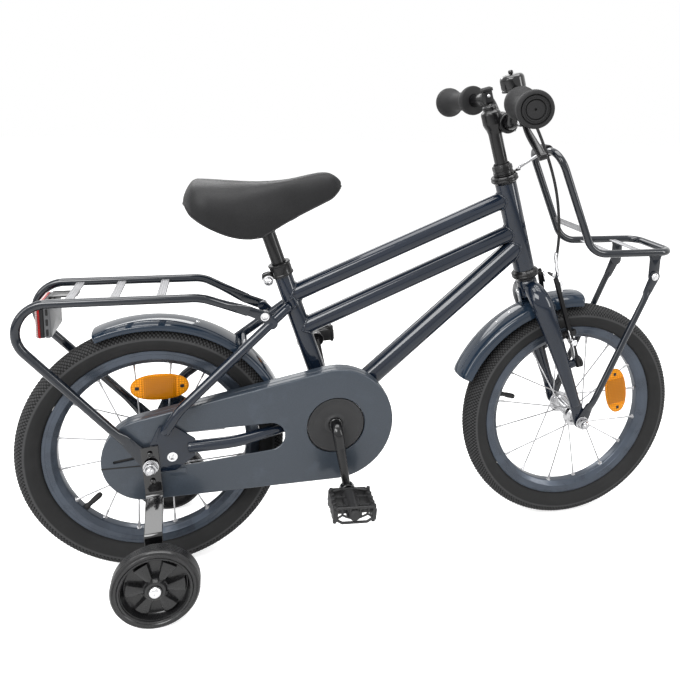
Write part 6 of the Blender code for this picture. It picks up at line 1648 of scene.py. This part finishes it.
for side, name in sides:
    buildRearArm(side, name)
for number, forward in enumerate((-0.105, -0.045, 0.019), 1):
    stripBar(rearHub + vec(forward, 0, rack["rearDeck"]), ahead, "rear_deck_strip_%d" % number, "frame",
        "rear_rack_bar_%d" % number)

reflector = {"width": 0.076, "height": 0.05, "depth": 0.02, "middle": (-0.141, 0.222)}


def buildReflector():
    # Housing drawn as rounded slices from front to back; the lens stands in a pale rim behind a dark band
    x, z = reflector["middle"]
    centre = rearHub + vec(x, 0, z)
    view = flat(left, up, centre)  # z of this frame looks ahead
    w, h, d = reflector["width"], reflector["height"], reflector["depth"] / 2
    outline = boxOutline(w, h, 0.006)

    def slab(scale, z1, z2, edge):
        return plate(outline * scale, z2 - z1, shifted(view, (z1 + z2) / 2), edge)

    body = [plate(outline * 0.99, d * 2 - 0.0103, shifted(view, 0.0103 / 2), 0.003)]
    body += [block(0.0016, h * 0.62, 0.0016, shifted(view, d - 0.0008, place), 0.0006, 0.0005)
        for place in np.linspace(-0.024, 0.024, 7)]
    slots = []
    for end in (1, -1):  # dark slots in the two short sides, drawn as thin black blocks on the surface: painted shade for the hollow of each slot
        for place in (-0.3, 0.0, 0.3):
            face = axes(up, np.cross(left, up), left, centre + left * end * w * 0.4935 + up * h * place)
            slots.append(block(h * 0.2, 0.0034, 0.0008, shifted(face, 0, 0, 0.0052), 0.0012, 0.0003))
    lens = plate(boxOutline(w * 0.86, h * 0.78, 0.004), 0.0016, shifted(view, -d - 0.0001), 0.0006)
    foot = rearHub + vec(-0.118, 0, rack["rearDeck"] - rack["stripThick"] / 2 - 0.0013)
    tabs = [block(0.038, 0.03, 0.002, flat(ahead, left, foot), 0.004, 0.0005),
        block(0.03, 0.01, 0.004, shifted(view, 0.006, 0, h / 2 + 0.002), 0.001, 0.0006)]
    piece("rear_reflector_unit", "frame", [(slab(0.985, -d, -d + 0.003, 0.0012), clearRim),
        (slab(1.0, -d + 0.003, -d + 0.006, 0.0008), redLens),
        (slab(0.985, -d + 0.0058, -d + 0.0105, 0.0006), blackPlastic), (body, greyPlastic),
        (slots, blackPlastic), (lens, redLens), (tabs, blackPaint),
        (domeBolt(0.004, 0.0024, facing(-up, foot - up * 0.0009)), chromePlate)], "rear_reflector")


buildReflector()
print("racks and guards made")

case = {
    "outer": 0.0545,
    "inner": 0.0295,
    "wall": 0.002,
    "rear": (-0.006, 0.005, 0.0655),    # ahead and up of the rear hub, radius
    "front": (0.279, 0.034, 0.093),
    "disc": 0.045,
    "edge": 0.003,
    "lip": 0.0008,
}


def caseOutline(grow=0.0):
    (x1, z1, r1), (x2, z2, r2) = case["rear"], case["front"]
    return capsule((x1, z1), (x2, z2), r1 + grow, r2 + grow, 60)


def sheetWithHoles(loops, height):
    # Flat sheet inside the first loop, filled round the others
    work = bmesh.new()
    edges = []
    for loop in loops:
        verts = [work.verts.new((x, y, height)) for x, y in loop]
        edges += [work.edges.new((verts[i - 1], verts[i])) for i in range(len(verts))]
    bmesh.ops.triangle_fill(work, use_beauty=True, use_dissolve=False, edges=edges)
    work.verts.index_update()
    points = np.array([v.co[:] for v in work.verts])
    faces = [[v.index for v in f.verts] for f in work.faces]
    work.free()
    return points, faces


def bands(*loops):  # rings of faces between neighbouring pairs of (loop, height)
    return [grid(np.array([raised(*first), raised(*second)])) for first, second in zip(loops[:-1], loops[1:])]


def buildCase():
    view = axes(ahead, up, -left, rearHub)  # x ahead, y up, z out to the right
    outer, inner, wall, edge, lip = (case[key] for key in ("outer", "inner", "wall", "edge", "lip"))
    x2, z2 = case["front"][:2]
    opening = circle(case["disc"] + 0.0015, 96) + (x2, z2)
    slot, wideSlot = (capsule((0.052, 0.018), (0.176, 0.025), 0.0265 + grow, 0.0225 + grow, 24)
        for grow in (0, lip))
    axle = circle(0.013, 40)
    vent = capsule((-0.052, 0.006), (-0.024, 0.01), 0.0025, 0.0025001, 8)
    holes, wide = [opening, slot, axle, vent], [opening + unit(opening - (x2, z2)) * lip, wideSlot, axle,
        vent]
    rim = [(caseOutline(-edge * (1 - math.sin(a))), outer - edge * (1 - math.cos(a)))
        for a in np.radians(np.linspace(0, 90, 5))]
    inside = caseOutline(-wall)
    shells = bands(*rim) + bands(rim[-1], (caseOutline(), inner), (inside, inner), (inside, outer - wall))
    shells.append(sheetWithHoles([caseOutline(-edge)] + wide, outer))
    shells.append(sheetWithHoles([inside] + holes, outer - wall))
    for big, small in zip(wide, holes):
        shells += bands((big, outer), (small, outer - lip), (small, outer - wall))
    seam = [(caseOutline(0.0002), outer - 0.0105), (caseOutline(0.0006), outer - 0.011),
        (caseOutline(0.0006), outer - 0.0122), (caseOutline(0.0002), outer - 0.0127)]
    shell = moved(joined(*shells, *bands(*seam, seam[0])), view)
    # Black strips as painted shade: a thin line in the groove on the case face, and a patch inside the wall
    # behind the vent
    dark = [link(((-0.07, -0.003), (-0.013, -0.003)), (0.0011, 0.0011001), 0.0006,
        shifted(view, outer + 0.0001), 0.0002, None, (-0.04, -0.003), 0.004, 8),
        link(((-0.054, 0.006), (-0.022, 0.01)), (0.0045, 0.00451), 0.0008,
        shifted(view, outer - wall - 0.0006), 0.0002, None, (-0.038, 0.008), 0.004)]
    piece("chain_case_shell", "frame", [(shell, casePlastic), (dark, blackPlastic)], "chain_case",
        30)
    tab = [(0.016, -0.012), (0.05, -0.012), (0.05, -0.022), (0.036, -0.024), (0.02, -0.022)]
    cover = plate(denser(softCorners(tab, 0.003, True), 0.003), 0.0012, shifted(view, outer + 0.0006), 0.0004,
        centre=(0.034, -0.017))
    out = facing(-left, rearHub + vec(0.0304, -0.059, 0.0097))
    piece("case_fixings", "frame", [(cover, casePlastic),
        ([domeBolt(0.0052, 0.0026, out, 0.3), washer(0.0074, 0.001, out, 28)], chromePlate)])


buildCase()

drive = {"line": 0.042, "crank": 0.0085, "arm": -81.3, "length": 0.097, "knee": 0.0665, "eye": 0.084,
    "teeth": 28}


def toothedOutline(teeth, pitchRadius, height):
    turn = np.arange(teeth * 6) * 2 * math.pi / (teeth * 6)
    return (pitchRadius + height / 2 * np.clip(np.cos(turn * teeth) * 1.3, -1, 1))[:, None] * onCircle(turn)


def buildChainring():
    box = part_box("chainring")
    line, outer, rim, bore = drive["line"], case["outer"], case["disc"], drive["crank"] + 0.0004
    hub, inner = drive["crank"] + 0.008, line - 0.0015
    view = axes(ahead, up, -left, bracket)
    pitch = (float(box[1][0]) - float(box[0][0])) / 2 - 0.002
    teeth = plate(toothedOutline(drive["teeth"], pitch, 0.004), 0.003, shifted(view, line), 0.0005,
        hole=0.012)
    profile = [(bore, outer - 0.006), (0.0105, outer - 0.006), (0.0112, outer - 0.0044),
        (0.014, outer - 0.0044), (0.0148, outer - 0.006), (hub + 0.001, outer - 0.0066),
        (hub + 0.006, outer - 0.006), (rim - 0.01, outer - 0.0042), (rim - 0.003, outer - 0.0024),
        (rim - 0.0006, outer - 0.0016), (rim, outer - 0.0024), (rim, outer - 0.005), (hub + 0.006, inner),
        (bore, inner)]
    piece("chainring_disc", "crankset", [(turned(profile, 0.001, facing(-left, bracket), 96, True),
        discPlastic), (teeth, dullSteel)], "chainring")


buildChainring()
pedal = {"length": 0.066, "width": 0.062, "height": 0.028, "inner": 0.0085, "tilt": 4.0}


def buildCrank():
    arm = swung(math.radians(drive["arm"]))
    knee, eyeOut, r = drive["knee"], drive["eye"], drive["crank"]
    legs = [[bracket - arm * side * drive["length"] + left * side * (eyeOut - 0.001),
        bracket - arm * side * 0.03 + left * side * (knee + 0.002), bracket + left * side * knee]
        for side in (1, -1)]
    path = denser(roundedPath(legs[0] + legs[1][::-1], [0, 0.01, 0.014, 0.014, 0.01, 0], 6), 0.006)
    run = runAlong(path)
    share = np.clip((np.minimum(run, run[-1] - run) - 0.01) / 0.07, 0, 1)
    ring = circle(1, 40)
    squared = np.sign(ring) * np.abs(ring) ** 0.85  # the section of a forging
    sections = ovals(squared, r * (1.0 - 0.1 * (1 - share)), r * (0.72 + 0.28 * share))
    shells = [grid(sweep(path, sections, unit(vec(0.98, 0, 0.15))), caps=True)]
    boss = [(0, 0), (0.0115, 0), (0.0125, 0.0012), (0.0125, 0.0128), (0.0115, 0.014), (0, 0.014)]
    eyes = [(side, name, left * side, bracket - arm * side * drive["length"] + left * side * eyeOut)
        for side, name in sides]
    shells += [turned(boss, 0.0008, facing(out, eye - out * 0.007), 48) for _, _, out, eye in eyes]
    nut = [(r + 0.0003, 0), (0.0185, 0), (0.0185, 0.0026), (0.015, 0.004), (r + 0.0003, 0.0044)]
    collar = [(r - 0.0005, 0), (0.0108, 0), (0.0108, 0.003), (0.0096, 0.004), (r - 0.0005, 0.004)]
    shells.append(turned(nut, 0.0008, facing(left, bracket + left * 0.0353), 48, True))
    shells.append(turned(collar, 0.0006, facing(-left, bracket - left * 0.0492), 40, True))
    spindles = []
    for _, _, out, eye in eyes:
        spindles.append(bar(eye, eye + out * 0.07, 0.0044, 24))
        spindles.append(hexNut(0.012, 0.003, facing(out, eye + out * 0.0068)))
    piece("crank_forging", "crankset", [(shells, crankPaint), (spindles, dullSteel)], "crank")
    for side, name, _, eye in eyes:
        buildPedal(eye, side, name)


def buildPedal(eye, side, name):
    # Moulded cage: a barrel, studded treads at the front and back, an inner wall and an open outer end
    tilt, out = math.radians(pedal["tilt"]), left * side
    forward = vec(math.cos(tilt), 0, side * math.sin(tilt))
    half, wide, tall = pedal["length"] / 2, pedal["width"] / 2, pedal["height"]
    middle = eye + out * (pedal["inner"] + wide)
    over = np.cross(forward, left)
    view = flat(forward, out, middle)

    def spot(x, y, z):
        return middle + forward * x + out * y + over * z

    def rail(points, radius, loop=False):
        return tube(roundedPath([spot(*p) for p in points], [0.0025] * len(points), 15, loop), radius, left,
            12, loop)

    def slab(width, depth, radius, thickness, place, edge):
        return plate(boxOutline(width, depth, radius), thickness, shifted(view, 0, *place), edge)

    hull = [slab(pedal["length"] - 0.012, 0.005, 0.002, tall * 0.72, (0, -wide + 0.0027), 0.001),
        slab(0.024, pedal["width"] - 0.012, 0.003, tall * 0.34, (0, 0), 0.0012)]
    studs = []
    for end in (1, -1):
        x = end * (half - 0.0036)
        hull.append(slab(0.007, pedal["width"] - 0.001, 0.0025, tall * 0.62, (x, 0), 0.0012))
        for level in (1, -1):
            hull.append(rail([(end * 0.01, -wide + 0.003, level * tall * 0.3),
                (end * 0.016, -wide + 0.006, level * tall * 0.34),
                (x - end * 0.002, -wide + 0.01, level * tall * 0.36)], 0.0016))
            for place in (-0.88, -0.44, 0.0, 0.44, 0.88):
                high = tall * (0.19 if abs(place) > 0.8 else 0.13)
                base = facing(over * level, spot(x, place * (wide - 0.004), level * tall * 0.3))
                studs.append(turned([(0, -0.002), (0.0036, -0.002), (0.0028, high), (0, high)], 0.0008, base,
                    12))
        for y in (-0.36, 0.36):
            hull.append(slab(half - 0.01, 0.0028, 0.001, tall * 0.5, (end * (half / 2 + 0.003), y * wide),
                0.0006))
    # Outer frame: top rail, two oval windows and a bowed lower rail
    y, low, high = wide - 0.0034, -tall / 2 + 0.0022, tall / 2 - 0.0022
    hull.append(rail([(-half + 0.005, y, high), (half - 0.005, y, high), (half - 0.003, y, low * 0.4),
        (half - 0.014, y, low), (-half + 0.014, y, low), (-half + 0.003, y, low * 0.4)], 0.0021, True))
    smile = np.array([spot(b * 0.019, y, 0.001 - 0.006 * (1 - b * b)) for b in np.linspace(-1, 1, 17)])
    hull.append(tube(smile, 0.0017, left, 12))
    for end in (1, -1):
        hull.append(rail([(end * 0.019, y, 0.001), (end * 0.021, y, high)], 0.0018))
        hull.append(rail([(end * 0.019, y, 0.001), (end * (half - 0.004), y, low * 0.5)], 0.0016))
        hull.append(rail([(end * 0.0075, y, -0.0045), (end * 0.0075, y, high)], 0.0018))
    hull.append(block(0.015, 0.018, 0.013, shifted(view, 0, 0, -wide + 0.0035), 0.003, 0.0012))
    for end in (1, -1):
        corner = shifted(view, tall * 0.28, end * (half - 0.0052), -wide + 0.0052)
        hull.append(block(0.0088, 0.0088, tall * 0.62, corner, 0.003, 0.0018))
    barrel = turned([(0.0048, -wide + 0.0005), (0.0088, -wide + 0.0005), (0.0098, -wide + 0.006), (0.0086, 0),
        (0.0092, wide - 0.004), (0.0084, wide - 0.0008), (0.0048, wide - 0.0008)], 0.001, facing(out, middle),
        40, True)
    dust = turned([(0, 0), (0.0072, 0), (0.0064, 0.001), (0, 0.001)], 0.0004,
        facing(out, spot(0, wide - 0.0012, 0)), 28)
    lenses = [block(0.036, 0.0085, 0.0012, flat(left, over, spot(end * (half - 0.0001), 0, 0)), 0.0015,
        0.0004) for end in ((1, -1) if side > 0 else (1,))]
    piece("pedal_cage_" + name, name + "_pedal",
        [(hull + studs + [barrel, dust], pedalPlastic), (lenses, orangeLens)], "pedal_" + name)


buildCrank()

stabiliser = {"radius": 0.061, "width": 0.0245, "outer": 0.157, "foot": 0.12, "plate": 0.0626,
    "armWidth": 0.025, "edge": 0.008, "thick": 0.003, "ahead": 0.01}


def buildStabiliser(side, name):
    foot, outer, thick, lip = (stabiliser[key] for key in ("foot", "outer", "thick", "edge"))
    out, drop = left * side, bike["tyreRadius"] - stabiliser["radius"]
    lean = math.atan2(stabiliser["ahead"], drop)
    armUp = vec(-math.sin(lean), 0, math.cos(lean))
    reach = math.hypot(stabiliser["ahead"], drop)
    corners = [rearHub + out * aside + armUp * height
        for aside, height in ((stabiliser["plate"], 0.03), (stabiliser["plate"], -0.047), (foot, -0.077),
        (foot, -reach - 0.012))]
    path = denser(roundedPath(corners, [0, 0.008, 0.008, 0], 10), 0.008)
    half = stabiliser["armWidth"] / 2
    section = [(0, -half), (lip, -half), (lip, -half + 0.0025), (thick, -half + 0.003), (thick, half - 0.003),
        (lip, half - 0.0025), (lip, half), (0, half)]
    channel = grid(sweep(path, softCorners(section, 0.0008, True), -side * np.cross(armUp, left)), caps=True)
    hub = rearHub + vec(stabiliser["ahead"], 0, -drop)
    root = hub + out * (foot + 0.001)
    shells = [channel, bar(root, hub + out * (outer + 0.002), 0.0054, 28),
        bar(root, hub + out * (outer - stabiliser["width"] - 0.001), 0.009, 32)]
    for height in (0.019, -0.025):
        rivet = rearHub + out * (stabiliser["plate"] + thick) + armUp * height
        shells.append(domeBolt(0.004, 0.002, facing(out, rivet), 0.35))
    nut = hexNut(0.015, 0.0055, facing(-out, hub + out * (foot - 0.0002)))
    cap = lathe([(0, 0.0044), (0.0012, 0.0044), (0.0014, 0.0058), (0.0036, 0.0058), (0.006, 0.005),
        (0.0078, 0.0036), (0.009, 0.0016), (0.009, 0), (0, 0)], facing(out, hub + out * (outer + 0.0006)), 48)
    piece("stabiliser_arm_" + name, "frame", [(shells, armPaint), (nut, dullSteel), (cap, chromePlate)],
        "stabiliser_bracket_" + name)
    buildSmallWheel(hub, side, name)


def buildSmallWheel(hub, side, name):
    # Ridged tyre round a moulded centre: raised lip, and six petals that dish between deep pockets
    radius, width = stabiliser["radius"], stabiliser["width"]
    edge = radius - 0.006
    low = [(0.0062, 0.0006), (0.012, 0.0006), (0.014, 0.003), (edge - 0.01, 0.004), (edge - 0.002, 0.001),
        (edge, 0), (radius - 0.0018, 0.0016), (radius - 0.0008, 0.0034)]
    across = np.linspace(0.0045, width - 0.0045, 41)
    ridge = 0.0004 * (0.5 + 0.5 * np.cos(2 * math.pi * (across - 0.0045) / (width - 0.009) * 5))
    tread = np.stack([radius - 0.0004 + ridge, across], -1)
    shoulder = np.array((radius, width)) - [(0.0008, 0.0034), (0.0018, 0.0016), (0.0035, 0.0008),
        (0.004, 0.0012), (0.0046, 0.0012), (0.0052, 0.0004), (0.0085, 0), (0.0092, 0.0006), (0.0098, 0.0014),
        (0.0104, 0.0006), (0.012, 0.0002), (0.013, 0.001), (0.0136, 0.003)]
    face = raised(np.linspace(radius - 0.0142, 0.0162, 34), width - 0.0032)
    core = [(0.015, width - 0.0026), (0.014, width - 0.0006), (0.0128, width), (0.0098, width),
        (0.0092, width - 0.001), (0.0062, width - 0.0012)]
    bowl = radius - 0.015

    def pockets(r, h, turn):
        around = np.abs((turn / (math.pi / 3) + 0.5) % 1 - 0.5) * 60
        petal = np.clip((15.5 - around) / 1.4 + 0.5, 0, 1) * np.clip((radius - 0.02 - r) / 0.0014 + 0.5, 0, 1)
        petal = np.maximum(petal, np.clip((0.0185 - r) / 0.0014 + 0.5, 0, 1))
        on = (h > width * 0.7) & (r < radius - 0.014) & (r > 0.0155)
        wall = np.clip((bowl + 0.0008 - r) / 0.004, 0, 1)
        floor = 0.01 * wall * (2 - wall)
        lift = 0.0012 + 0.0022 * np.clip((r - 0.016) / 0.026, 0, 1)
        lift = lift + 0.0016 * (around / 15.5) ** 2 * (around < 16)
        return r + 0 * turn, np.where(on, h - floor - (lift - floor) * petal, h + 0 * turn)

    base = axes(-ahead * side, up, left * side, hub + left * side * (stabiliser["outer"] - width))
    shell = lathe(np.vstack([low, tread, shoulder, face, core]), base, 360, True, pockets)
    piece("small_wheel_" + name, name + "_stabiliser", [(shell, wheelPlastic)], "stabiliser_wheel_" + name,
        34)


for side, name in sides:
    buildStabiliser(side, name)
print("drive and stabilisers made")

saddle = {
    "length": 0.238,
    "rear": 0.075,
    "nose": 0.026,
    "back": 0.124,
    "height": 0.076,
    "wall": 0.008,
    "round": (0.06, 0.09),     # share of the length over which the rear and the nose are rounded off
}


def saddleRow(share):
    # Half width, top and lower edge at shares of the length from the rear
    half = saddle["rear"] + (saddle["nose"] - saddle["rear"]) * ease((share - 0.22) / 0.52)
    half = half * np.sqrt(np.maximum(1 - np.maximum(0.16 - share, 0) ** 2 / 0.16 ** 2 * 0.82, 0.05))
    half = half * np.sqrt(np.maximum(1 - np.maximum(share - 0.9, 0) ** 2 / 0.1 ** 2 * 0.8, 0.05))
    top = saddle["height"] + 0.004 * np.cos(2 * math.pi * share) + 0.016 * share ** 1.5
    top = top - 0.02 * np.maximum(0.09 - share, 0) ** 2 / 0.09 ** 2
    top = top - 0.012 * np.maximum(share - 0.84, 0) ** 2 / 0.16 ** 2
    edge = -0.001 + 0.044 * np.maximum(0.42 - share, 0) ** 1.7 / 0.42 ** 1.7
    edge = edge + 0.063 * np.maximum(share - 0.48, 0) / 0.52
    return half, top, np.minimum(edge, top - 0.009 - 0.016 * (1 - share))


def buildSaddle():
    # Cushion lofted from rounded sections: full at the rear, drawn in along the nose, hollow beneath
    origin = seat(post["top"])
    rear, nose = saddle["round"]
    close = np.sin(np.linspace(0, math.pi / 2, 14))
    share = np.concatenate([rear - rear * close[::-1], np.linspace(rear, 1 - nose, 84)[1:-1],
        1 - nose + nose * close])
    half, top, edge = [row[:, None] for row in saddleRow(share)]
    share = share[:, None]
    near = np.clip(np.minimum(share / rear, (1 - share) / nose), 0, 1)
    scale = 0.12 + 0.88 * np.sqrt(1 - (1 - near) ** 2)
    depth, middle = top - edge, edge + (top - edge) * 0.55
    turn = np.linspace(0, math.pi, 61)[None]
    wide = np.sign(np.cos(turn)) * np.abs(np.cos(turn)) ** 0.72
    across = half * wide * (1 - 0.1 * (1 - np.sin(turn)) ** 2)
    trough = 0.0022 * np.exp(-(across / 0.011) ** 2)
    trough = trough * np.clip((share - 0.1) / 0.15, 0, 1) * np.clip((0.8 - share) / 0.15, 0, 1)
    height = edge + depth * np.sin(turn) ** 0.8 - trough
    back = np.linspace(math.pi, 0, 33)[None]
    hollow = np.minimum(saddle["wall"], half * 0.45)
    insideY = np.cos(back) * (half * 0.9 - hollow)
    fade = ease(np.minimum(share - 0.1, 0.88 - share) / 0.08)
    lift = np.sin(back) ** 0.6 * (depth - saddle["wall"] * 1.6) * fade
    aside = np.concatenate([across, insideY], 1) * scale
    rise = middle + (np.concatenate([height, edge + lift + 0.001], 1) - middle) * scale
    x = origin[0] - saddle["back"] + saddle["length"] * share + 0 * aside
    points = np.stack([x, aside, rise + origin[2]], -1)
    cushion = piece("saddle_cushion", "seat", [(grid(points, caps=True), saddleCover)], "saddle",
        55)

    lower = np.concatenate([points[2:-2, 0], points[2:-2, 60][::-1]]) + vec(0, 0, 0.0006)
    outer = unit((lower - lower.mean(0)) * (1, 1, 0))
    welt = tube(lower + outer * 0.0001, 0.0013, up, 10, True)
    rails = []
    for side in (1, -1):
        spots = [origin + vec(x, side * y, z) for x, y, z in ((-0.088, 0.03, 0.048), (-0.05, 0.024, 0.0215),
            (0.034, 0.021, 0.0215), (0.074, 0.01, 0.046))]
        rails.append(tube(roundedPath(spots, [0, 0.02, 0.02, 0]), 0.0034, left, 16))
    piece("saddle_rails", "seat", [(welt, blackPlastic), (rails, dullSteel)])


buildSaddle()
print("saddle made")

# CAD nodes whose own solids show
for node in frame["nodes"]:
    if not frame["nodes"][node].hide_render:
        carried(node, dullSteel if node in ("chain", "rear_sprocket") else blackPaint)
